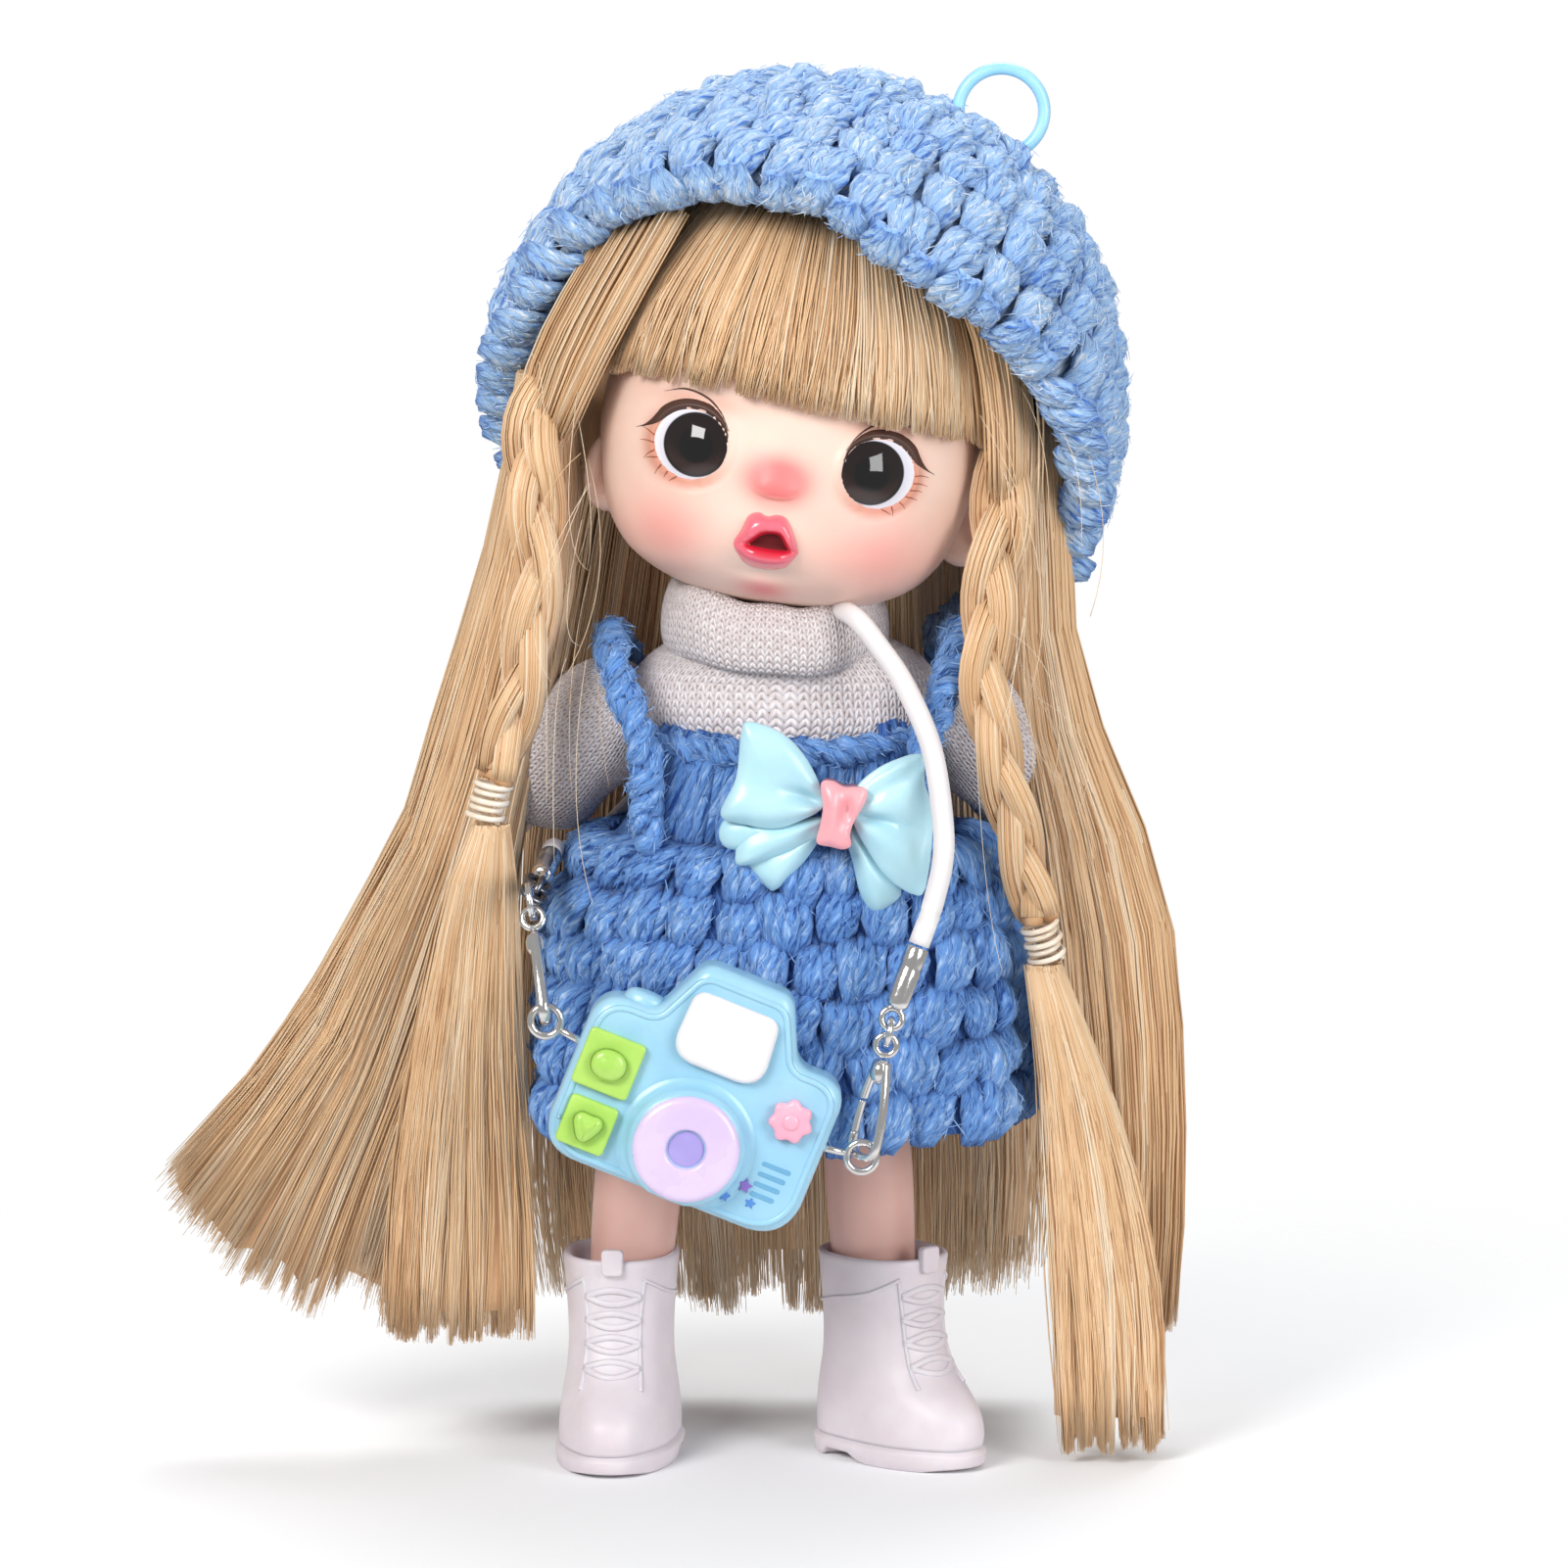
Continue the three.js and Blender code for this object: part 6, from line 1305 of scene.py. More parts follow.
@dataclass
class Head:
    """Moulded head with set-in glass eyes, painted lids and blush, pouting lips and ears."""

    form: HeadForm
    eye_radius: float = 8.0
    eye_slope: float = 0.42
    eye_sunk: float = 0.45
    opening: Flat = (4.25, 4.1)
    iris: float = 3.68
    mouth: Flat = (-1.15, 10.4)
    ear_rise: float = 14.2

    def eye_at(self, side: int) -> float:
        """Local x of an eye's middle; the face looks slightly to one side."""
        return side * EYE_X + FACE_SHIFT

    def egg_front(self, x: Array, z: Array) -> Array:
        """Local y of the plain egg's front."""
        wide, deep, _ = self.form.profile(z)
        p = self.form.power
        return -deep * np.clip(1 - np.abs(x / wide) ** p, 0, 1) ** (1 / p)

    def relief(self, x: Array, z: Array) -> Array:
        """How far the features stand off the egg."""
        spot = lambda cx, cz, rx, rz: np.exp(-(((x - cx) / rx) ** 2) - ((z - cz) / rz) ** 2)
        cheeks = 0.8 * (spot(-11.5, 9.6, 6.6, 5.6) + spot(11.5, 9.6, 6.6, 5.6))
        nose = 0.75 * spot(-1.0, 17.3, 2.6, 1.7) + 0.3 * spot(-1.0, 21, 2.1, 4.0)
        wings = 0.35 * (spot(-2.5, 16.5, 0.9, 0.8) + spot(0.5, 16.5, 0.9, 0.8))
        crease = 0.4 * np.exp(-(((z - 15.55 - 0.1 * (x + 1.0) ** 2) / 0.3) ** 2) - ((x + 1.0) / 1.9) ** 2)
        muzzle = (0.9 * spot(-1.1, 10.3, 5.2, 4.2) - 0.5 * spot(-1.0, 6.4, 3.4, 0.9)
                  + 0.6 * spot(-0.6, 4.2, 4.0, 2.0))
        return (cheeks + nose + wings - crease + muzzle) * smoothstep(1.5, 4.0, z)

    def front(self, x: Array, z: Array) -> Array:
        """Local y of the finished face."""
        y = self.egg_front(x, z) - self.relief(x, z)
        for side in (-1, 1):
            cx = self.eye_at(side)
            rho = np.hypot((x - cx) / self.opening[0], (z - EYE_RISE) / self.opening[1])
            ball = self.eye_face(side, x, z)
            inside = ball + 2.4 * (1 - rho)
            rim = ball - 0.5 * smoothstep(1.0, 1.1, rho)
            lid = np.where(rho < 1, inside, rim)
            y = y + (lid - y) * (1 - smoothstep(1.08, 1.4, rho))
        return y

    def eye_face(self, side: int, x: Array, z: Array) -> Array:
        """Local y of an eye's front: a shallow cap that leans back towards the temple."""
        dx, dz = x - self.eye_at(side), z - EYE_RISE
        seat = float(self.egg_front(np.array(self.eye_at(side)), np.array(EYE_RISE))) + self.eye_sunk
        flat = np.minimum(np.hypot(dx, dz), 6.5)
        edge = math.sqrt(self.eye_radius**2 - self.opening[0] ** 2)
        return seat + self.eye_slope * dx * side - (np.sqrt(self.eye_radius**2 - flat**2) - edge)

    def on_face(self, x: Array, z: Array, lift: Any) -> Array:
        """Doll-frame points just off the face."""
        return self.form.place(np.stack(np.broadcast_arrays(x, self.front(x, z) - lift, z), -1))

    def build(self) -> list[Piece]:
        """Makes every piece of the head."""
        skin = Skin("face_skin", srgb(243, 214, 199), srgb(238, 204, 188), True)
        shell = self.shell().build("head_shell_skin", skin.material())
        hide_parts("head_shell")
        made = [shell, self.lips(), self.lid_lines(), self.lashes(), *self.eyes()]
        for piece in made:
            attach(piece, "head")
        return made

    def shell(self) -> Mesh:
        """Makes the head's skin with its ears."""
        mesh = Mesh()
        t = 0.5 - 0.5 * np.cos(np.linspace(0.02, 0.99, 150) * np.pi)
        a = np.r_[np.linspace(-180, 0, 200, endpoint=False), np.linspace(0, 180, 60, endpoint=False)]
        local = self.form.skin(t[:, None], a[None], 0.0)
        x, y, z = local[..., 0], local[..., 1], local[..., 2]
        share = smoothstep(-0.5, -5.0, y)
        local[..., 1] = y + (self.front(x, z) - y) * share
        uv = np.stack([x / FACE_SPAN + 0.5, z / FACE_SPAN], -1)
        faces, _ = ring_quads(*x.shape)
        mesh.add(self.form.place(local).reshape(-1, 3), faces, uv.reshape(-1, 2))
        for side in (-1, 1):
            self.ear(mesh, side)
        return mesh

    def ear(self, mesh: Mesh, side: int) -> None:
        """Adds an ear: a thick oval with a hollowed front."""
        rows, sides = 16, 28
        u = np.linspace(0.02, 0.98, rows)[:, None] * np.pi
        a = np.linspace(0, 2 * np.pi, sides, endpoint=False)[None]
        out, up, ahead = np.sin(u) * np.cos(a), np.sin(u) * np.sin(a), np.cos(u) + 0 * a
        dent = 2.6 * np.exp(-(((out - 0.1) / 0.5) ** 4) - ((up - 0.05) / 0.62) ** 4) * np.clip(ahead, 0, 1)
        x = side * (20.6 + 3.7 * out) + 0.8
        y = -2.4 - 2.0 * ahead + dent - 0.9 * out
        z = self.ear_rise + (4.9 + 0.6 * out) * up
        points = self.form.place(np.stack([x, y, z], -1))
        mesh.grid(points if side < 0 else points[:, ::-1], uv_scale=(0, 0))

    def eyes(self) -> list[Piece]:
        """Makes the two glass eyes with a raised cornea."""
        material = EyeGlass().material()
        made = []
        for name, side, look in (("right", -1, (0.6, 0.05)), ("left", 1, (-0.75, 0.0))):
            rows, sides = 40, 64
            u = np.linspace(0.02, 5.4, rows)[:, None]
            a = np.linspace(0, 2 * np.pi, sides, endpoint=False)[None]
            x, z = u * np.cos(a), u * np.sin(a)
            r = np.hypot(x - look[0], z - look[1]) / self.iris
            y = self.eye_face(side, self.eye_at(side) + x, EYE_RISE + z)
            y = y - 0.25 * (1 - smoothstep(0.2, 1.12, r)) + 3 * smoothstep(4.9, 5.4, u)
            local = np.stack([self.eye_at(side) + x, y, EYE_RISE + z], -1)
            uv = np.stack([x - look[0], z - look[1]], -1) / self.iris
            quads, _ = ring_quads(rows, sides)
            mesh = Mesh()
            mesh.add(self.form.place(local).reshape(-1, 3), quads[:, [0, 3, 2, 1]], uv.reshape(-1, 2))
            piece = mesh.build(f"{name}_eye_glass", material)
            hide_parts(f"{name}_eye")
            made.append(piece)
        return made

    def lips(self) -> Piece:
        """Makes the parted lips: a full lower lip, a bowed upper lip and the red mouth between them."""
        cx, cz = self.mouth
        rim = ((3.95, -0.7), (3.3, 0.9), (2.0, 3.1), (0.75, 3.5), (-0.4, 3.15), (-1.5, 3.45), (-2.6, 2.9),
               (-3.3, 0.9), (-3.9, -0.8), (-2.9, -2.4), (-1.6, -3.3), (0.4, -3.5), (2.4, -3.0), (3.3, -2.0))
        gap = ((2.75, -0.6), (2.3, 0.0), (1.9, 0.6), (1.35, 1.1), (0.5, 1.2), (-0.3, 1.05), (-0.9, 0.75),
               (-1.5, 0.2), (-2.1, -0.55), (-1.4, -0.66), (-0.6, -0.7), (0.3, -0.72), (1.2, -0.7),
               (2.0, -0.66))
        close = lambda knots: spline(np.array(list(knots) + [knots[0]]), 85)[:-1]
        outer, gape = close(rim), close(gap)
        up = outer[:, 1] + 0.75 > 0
        edge = np.clip(np.abs(outer[:, 1] + 0.75) / 2.2, 0, 1) ** 0.7
        steps = [(0.0, -0.3, 0.0), (0.08, 0.3, 0.25), (0.28, 1.2, 0.32), (0.5, 1.75, 0.4), (0.75, 1.65, 0.6),
                 (0.92, 1.15, 0.8), (1.0, 0.5, 0.9), (1.12, 0.2, 1.0), (1.7, 0.12, 1.0)]
        rings, tones = [], []
        for share, pout, tone in steps:
            flat = outer + (gape - outer) * min(share, 1.0)
            if share > 1:
                flat = gape.mean(0) + (gape - gape.mean(0)) * (2 - share)
            x, z = cx + flat[:, 0], cz + flat[:, 1]
            full = np.where(up, 0.95, 1.15) * (0.35 + 0.65 * edge)
            base = self.egg_front(x, z) - self.relief(x, z)
            rings.append(np.stack([x, base - np.where(pout > 0.25, pout * full, pout), z], -1))
            tones.append(np.clip(tone + np.where(up, 0.0, 0.16) * (0.35 < share < 0.95), 0,
                                 0.92 if share <= 1 else 1))
        mesh = Mesh()
        mesh.grid(self.form.place(np.array(rings)), np.array(tones), caps=True)
        gloss = LipGloss("lip_gloss", srgb(246, 186, 180), srgb(240, 112, 130),
                         srgb(214, 34, 60), srgb(92, 4, 12))
        return mesh.build("lips_painted", gloss.material())

    def lid_lines(self) -> Piece:
        """Makes the dark upper lid lines with their wings, and the thin crease above each."""
        a = np.radians([14, 30, 48, 66, 84, 102, 120, 136, 149])
        reach = 0.99 + np.array([0.02, 0.05, 0.09, 0.115, 0.13, 0.135, 0.14, 0.14, 0.14])
        arc = np.stack([self.opening[0] * reach * np.cos(a), self.opening[1] * reach * np.sin(a)], 1)
        line = [*arc, (-4.95, 1.55), (-5.8, 0.95), (-6.6, 0.6)]
        crease = [(4.1, 2.3), (3.0, 4.1), (1.1, 5.6), (-1.5, 6.15), (-4.0, 5.4)]
        mesh = Mesh()
        t, across = np.linspace(0, 1, 60), np.r_[np.linspace(-1, 1, 6), np.linspace(1, -1, 6)]
        lift = np.r_[0.04 + 0.08 * (1 - np.linspace(-1, 1, 6) ** 2), np.full(6, -0.15)]
        for side in (-1, 1):
            for knots, thick in ((line, 0.62), (crease, 0.12)):
                flat = spline(knots, 60)
                normal = unit(np.gradient(flat, axis=0)) @ np.array([[0, -1], [1, 0]])
                width = thick * (0.15 + 0.85 * smoothstep(0, 0.4, t)) * (1 - 0.97 * smoothstep(0.68, 1.0, t))
                flat = flat[:, None] + (width[:, None] * across)[..., None] * normal[:, None]
                x, z = self.eye_at(side) - side * flat[..., 0], EYE_RISE + flat[..., 1]
                points = self.on_face(x, z, lift[None])
                mesh.grid(points if side < 0 else points[:, ::-1], 0.15)
        return mesh.build("lid_lines_painted",
                          Paint("lid_paint", srgb(62, 40, 34), srgb(120, 74, 50)).material())

    def lashes(self) -> Piece:
        """Makes the fine painted lash strokes."""
        strokes = ((-3, 1.5), (9, 1.7), (21, 1.6), (33, 1.5), (46, 1.2), (60, 1.0), (76, 0.8))
        mesh, rng = Mesh(), np.random.default_rng(5)
        for side in (-1, 1):
            for degrees, length in strokes:
                t = np.linspace(0, 1, 8)
                turned = math.radians(degrees) + 0.12 * rng.normal() * t
                reach = 4.35 + length * rng.uniform(0.85, 1.15) * t
                x = self.eye_at(side) + side * reach * np.cos(turned)
                z = EYE_RISE - reach * 0.965 * np.sin(turned) + 0.12 * np.sin(np.pi * t)
                path = self.on_face(x, z, 0.04)
                mesh.strands(path[None], 0.09 * (1 - 0.75 * t)[None], 5, FACING_CAMERA, 0.8, flat=0.5)
        return mesh.build("lashes_painted",
                          Paint("lash_paint", srgb(56, 30, 22), srgb(176, 92, 62)).material())


@dataclass(frozen=True)
class LipGloss:
    """Glossy lip paint that runs from skin through pink to deep red by the point's tone."""

    name: str
    skin: Colour
    pink: Colour
    red: Colour
    inside: Colour

    def material(self) -> bpy.types.Material:
        """Makes the material."""
        g = Graph(self.name)
        tone = g.attribute("tone")
        colour = g.mix(tone.ramp(0.0, 0.28), self.skin, self.pink)
        colour = g.mix(tone.ramp(0.5, 0.85), colour, self.red)
        colour = g.mix(tone.ramp(0.9, 1.0), colour, self.inside)
        dull = tone.ramp(0.9, 1.0)
        return g.finish(base_color=colour, roughness=0.24 + dull * 0.6, coat_weight=0.7 - dull * 0.7,
                        coat_roughness=0.06, subsurface_weight=0.1, subsurface_scale=0.001)


def plied(mesh: Mesh, fuzz: Mesh, path: Array, radius: float, plies: int, pitch: float, face: Array,
          tone: float = 0.5) -> None:
    """Adds a cord of twisted plies along a path, with loose fibres.

    Args:
        mesh: mesh that takes the plies.
        fuzz: mesh that takes the fibres.
        path: points along the cord, shape (n, 3).
        radius: the cord's outer radius.
        plies: how many strands are twisted together.
        pitch: length of one twist.
        face: direction the cord faces.
        tone: light or dark share.
    """
    along = unit(np.gradient(path, axis=0))
    up = unit(face - (along @ face)[:, None] * along)
    side = np.cross(along, up)
    run = np.r_[0, np.cumsum(np.linalg.norm(np.diff(path, axis=0), axis=1))]
    thin = radius * 0.56
    rng = np.random.default_rng(int(abs(path[0].sum()) * 10))
    for i in range(plies):
        a = 2 * np.pi * (run / pitch + i / plies + 0.09 * np.sin(run * 0.9) + 0.05 * np.sin(run * 2.3))
        line = path + (radius - thin) * 1.05 * (np.cos(a)[:, None] * up + np.sin(a)[:, None] * side)
        bulk = thin * 1.12 * (1 + 0.1 * np.sin(run * 1.7 + i))
        mesh.strands(line[None], bulk[None], 7, up[None], tone, 0.85, turns=run[-1] / 6)
        out = unit(line - path)
        for spread in (0.0, 0.8):
            pieces = np.stack([line[k:k + 5] for k in range(0, len(line) - 5, 2)])
            facing = unit(out[2:len(line) - 3:2] + spread * face)[: len(pieces)]
            loose_fibres(fuzz, pieces, np.broadcast_to(thin * 1.12, pieces.shape[:2]), facing,
                         np.full(len(pieces), tone), 4, rng)


@dataclass
class Dress:
    """Crocheted pinafore: puff-stitch skirt, bib of upright stitches, plied neckline and straps."""

    rows: tuple = ((40.6, 29.6, 23.0), (50, 29.2, 22.2), (61.7, 28.2, 20.6), (69, 27.0, 18.8),
                   (73.5, 24.2, 17.2), (77, 20.2, 16.0), (86, 18.6, 15.2), (92, 18.5, 14.2))
    centre_y: float = 2.0
    power: float = 2.2
    folds: int = 9
    skirt_rows: int = 6
    waist: float = 75.6
    hem: float = 41.0
    neckline: float = 87.0
    bib_half: float = 16.4
    strap_radius: float = 2.05
    edge_radius: float = 1.85
    stitch_sink: float = 1.5
    flat: Flat = (0.166, 0.042)

    def ring(self, z: Array, a: Array, grow: float = 0.0) -> Array:
        """Points of the dress's outer face at a height and an angle."""
        table = spline(np.array(self.rows), 50)
        wide, deep = (np.interp(z, table[:, 0], table[:, i]) + grow for i in (1, 2))
        fold = 0.8 * np.clip((66 - z) / 25, 0, 1) * np.cos(self.folds * a)
        x = (wide + fold) * bend(np.cos(a), self.power)
        y = self.centre_y + (deep + fold) * bend(np.sin(a), self.power)
        return np.stack(np.broadcast_arrays(x, y, z), -1)

    def frame(self, z: float, pitch: float, shift: float) -> tuple[Array, Array, Array, Array]:
        """Evenly spaced places around the dress, and the directions across, down and out there."""
        a = np.linspace(0, 2 * np.pi, 720)
        line = self.ring(np.full(720, z), a, -self.stitch_sink)
        run = np.r_[0, np.cumsum(np.linalg.norm(np.diff(line, axis=0), axis=1))]
        count = round(run[-1] / pitch)
        where = np.interp((np.arange(count) + shift) % count * run[-1] / count, run, a)
        at = self.ring(np.full(count, z), where, -self.stitch_sink)
        across = unit(self.ring(np.full(count, z), where + 0.02, -self.stitch_sink) - at)
        down = unit(self.ring(np.full(count, z - 0.8), where, -self.stitch_sink) - at)
        return at, across, down, unit(np.cross(across, -down))

    def build(self) -> list[Piece]:
        """Makes the dress and its fuzz."""
        yarn, fuzz, ground = Mesh(), Mesh(), Mesh()
        self.lining(ground)
        pitch = (self.waist - self.hem) / self.skirt_rows
        for i in range(self.skirt_rows):
            puffs = Puffs(width=5.6, height=pitch * 1.08, lift=2.2, yarn_radius=1.15, seed=200 + i, fibres=8)
            z = self.hem + pitch * (i + 0.5)
            puffs.lay(*self.frame(z, puffs.width, 0.5 * (i % 2) + 0.2 * i), yarn, fuzz)
        self.bib(yarn, fuzz)
        self.edges(yarn, fuzz)
        wool = DENIM_YARN.material()
        dress = yarn.build("dress_crochet", wool)
        loose = fuzz.build("dress_fuzz", DENIM_FUZZ.material())
        lining = ground.build("dress_lining", wool)
        weld(lining)
        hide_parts("dress")
        for piece in (dress, loose, lining):
            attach(piece, "torso")
        return [dress, loose, lining]

    def lining(self, yarn: Mesh) -> None:
        """Adds the close fabric beneath the stitches: the skirt, then the front and back of the bib; its low
        tone and depth are painted shade between the stitches.
        """
        a = circle(96)
        z = np.linspace(self.hem + 0.6, self.waist + 1.5, 22)[:, None]
        outer, inner = self.ring(z, a[None], -1.6), self.ring(z, a[None], -2.7)
        # low tone and depth: painted shade
        yarn.grid(np.concatenate([outer, inner[::-1], outer[:1]]), 0.25, 0.25, caps=False, uv_scale=(40, 10))
        z = np.linspace(self.waist - 1, self.neckline - 0.6, 12)[:, None]
        for middle in (-90, 90):
            a = np.radians(np.linspace(middle - 56, middle + 56, 40))[None]
            outer, inner = self.ring(z, a, -1.5), self.ring(z, a, -2.6)
            yarn.grid(np.concatenate([outer, inner[:, ::-1]], axis=1), 0.25, 0.25, uv_scale=(20, 6))

    def bib(self, yarn: Mesh, fuzz: Mesh) -> None:
        """Adds the tall upright stitches of the bib."""
        tall = Puffs(width=3.9, height=12.4, lift=1.4, yarn_radius=1.15, seed=240, strands=3, fibres=12)
        at, across, down, out = self.frame((self.waist + self.neckline) / 2, tall.width, 0.2)
        keep = np.abs(at[:, 0]) < self.bib_half
        tall.lay(at[keep], across[keep], down[keep], out[keep], yarn, fuzz)

    def edges(self, yarn: Mesh, fuzz: Mesh) -> None:
        """Adds the plied neckline, armhole edges and shoulder straps."""
        for side in (-1, 1):
            strap = spline([(side * 16.0, -11.6, 75.5), (side * 16.2, -12.4, 82), (side * 16.4, -12.6, 87.4),
                            (side * 18.6, -10.4, 93), (side * 20.2, -5.4, 97.4), (side * 20.4, 1, 99),
                            (side * 19.6, 7.4, 97.2), (side * 17.6, 13, 91.6), (side * 16.2, 15.4, 86),
                            (side * 16.0, 15.4, 76)], 130)
            plied(yarn, fuzz, strap, self.strap_radius, 2, 7.6, np.array([side * 0.6, -0.5, 0.6]), 0.55)
        for ahead, sag in ((-1, -1.0), (1, 0.0)):
            x = np.linspace(-self.bib_half, self.bib_half, 60)
            a = np.arccos(np.clip(x / 17.1, -1, 1) * 0.96) * ahead
            line = self.ring(self.neckline + 0.3 + sag * np.cos(x / self.bib_half * 1.5), a, -0.7)
            line[:, 0] = x
            plied(yarn, fuzz, line, self.edge_radius, 2, 7.0, np.array([0.0, ahead, 0.3]), 0.55)


@dataclass(frozen=True)
class Knit:
    """Fine stocking-stitch knit with painted shade in the small gaps between its loops; one UV unit is one
    stitch.
    """

    name: str
    light: Colour
    middle: Colour
    hole: Colour

    def material(self) -> bpy.types.Material:
        """Makes the material."""
        g = Graph(self.name)
        vector, u, v = g.uv()
        column = (u.maths("FRACT") - 0.5).maths("ABSOLUTE")
        leg = ((u * 2).maths("FRACT") * math.pi).sine()
        wander = g.noise(g.stretch(vector, (0.25, 0.25, 1)), 1.0, 2.0)
        loop = ((v + column * 1.2 + wander * 0.5).maths("FRACT") * math.pi).sine()
        height = leg * 0.55 + loop * 0.6
        fleck = g.noise(g.stretch(vector, (1.3, 0.8, 1)), 1.0, 4.0)
        colour = g.mix(fleck.ramp(0.34, 0.66), self.middle, self.light)
        # painted shade where the stitch is low, between the loops
        colour = g.mix((height + fleck * 0.5).ramp(0.62, 0.28), colour, self.hole)
        return g.finish(base_color=colour, roughness=0.95, sheen_weight=0.25, specular_ior_level=0.1,
                        normal=g.bump(height + fleck * 0.3, 0.9, 0.0004))


@dataclass
class Sweater:
    """Fine knitted sweater: body with a folded collar, and two loose sleeves."""

    torso: tuple = ((69.5, 16.8, 10.8), (74, 16.6, 10.9), (80, 15.6, 10.8), (86, 16.8, 11.4),
                    (90, 18.8, 11.6), (93.8, 18.2, 11.0), (96.6, 15.6, 10.6), (98.6, 12.0, 10.4),
                    (99.2, 10.0, 9.4))
    centre_y: float = 2.0
    power: float = 2.3
    collar_centre: Flat = (-1.25, 1.0)
    body_flat: Flat = (0.100, 0.045)
    sleeve_flat: Flat = (0.045, 0.020)

    def build(self) -> list[Piece]:
        """Makes the body with its collar, and the sleeves."""
        # the third colour is the painted shade between the loops
        material = Knit("sweater_knit", srgb(238, 231, 232), srgb(220, 209, 209),
                        srgb(146, 128, 128)).material()
        mesh = Mesh()
        rows = spline(np.array(self.torso), 30)
        a = circle(80)
        x = rows[:, 1:2] * bend(np.cos(a), self.power)
        y = self.centre_y + rows[:, 2:3] * bend(np.sin(a), self.power)
        crease = 0.25 * np.sin(3 * a + rows[:, :1] * 0.5) * np.sin(rows[:, :1] * 0.7)
        body = np.stack([x + crease, y - crease, np.repeat(rows[:, :1], 80, 1)], -1)
        mesh.grid(body, uv_scale=(92, 34))
        self.collar(mesh)
        piece = mesh.build("sweater_knit_body", material)
        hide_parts("sweater_body")
        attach(piece, "torso")
        made = [piece]
        for side in Side:
            sleeve = self.sleeve(side).build(f"{side.label}_sleeve_knit", material)
            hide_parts(f"{side.label}_sleeve")
            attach(sleeve, f"{side.label}_upper_arm")
            made.append(sleeve)
        return made

    def collar(self, mesh: Mesh) -> None:
        """Adds the folded turtleneck: a soft double band with an uneven edge."""
        a = circle(96)
        profile = spline([(10.4, 95.4), (12.6, 95.5), (13.5, 97), (13.4, 99.4), (12.4, 102), (10.8, 103.2),
                          (9.6, 102.6), (9.3, 98)], 34)
        wave = (0.35 * np.sin(3 * a + 0.6) + 0.22 * np.sin(7 * a)
                + 2.4 * smoothstep(0.2, 0.85, np.abs(np.cos(a))))
        fold = np.sin(np.linspace(0, np.pi, 34))[:, None]
        r = profile[:, :1] + 0.3 * np.sin(5 * a + 1) * fold
        x = self.collar_centre[0] + r * np.cos(a)
        y = self.collar_centre[1] + r * 0.93 * np.sin(a)
        z = profile[:, 1:] + wave * fold - 0.05 * x
        mesh.grid(np.stack([x, y, z], -1), caps=False, uv_scale=(84, 22))

    def sleeve(self, side: Side) -> Mesh:
        """Makes one loose sleeve, gathered at the shoulder, with a turned hem."""
        way, start = side.mirrored(ARM_WAY), side.mirrored(SHOULDER)
        up = unit(np.cross(way, (0, 1, 0)) * side.value)
        ahead = np.cross(way, up)
        shape = spline([(-6.3, 0.3), (-6.1, 1.6), (-5.6, 3.2), (-4.2, 5.2), (-1, 6.5), (3, 7.3), (8, 7.35),
                        (12.4, 7.1), (15, 6.9), (15.7, 6.6), (15.3, 6.0), (12, 5.9)], 44)
        a = circle(64)
        crease = 0.32 * np.sin(4 * a + shape[:, :1] * 0.5) * np.clip(shape[:, :1] / 8, 0.1, 1)
        r = shape[:, 1:] + crease
        points = (start + shape[:, :1, None] * way + (r * np.cos(a))[..., None] * up
                  + (r * np.sin(a))[..., None] * ahead)
        mesh = Mesh()
        mesh.grid(points, caps=False, uv_scale=(46, 34))
        return mesh


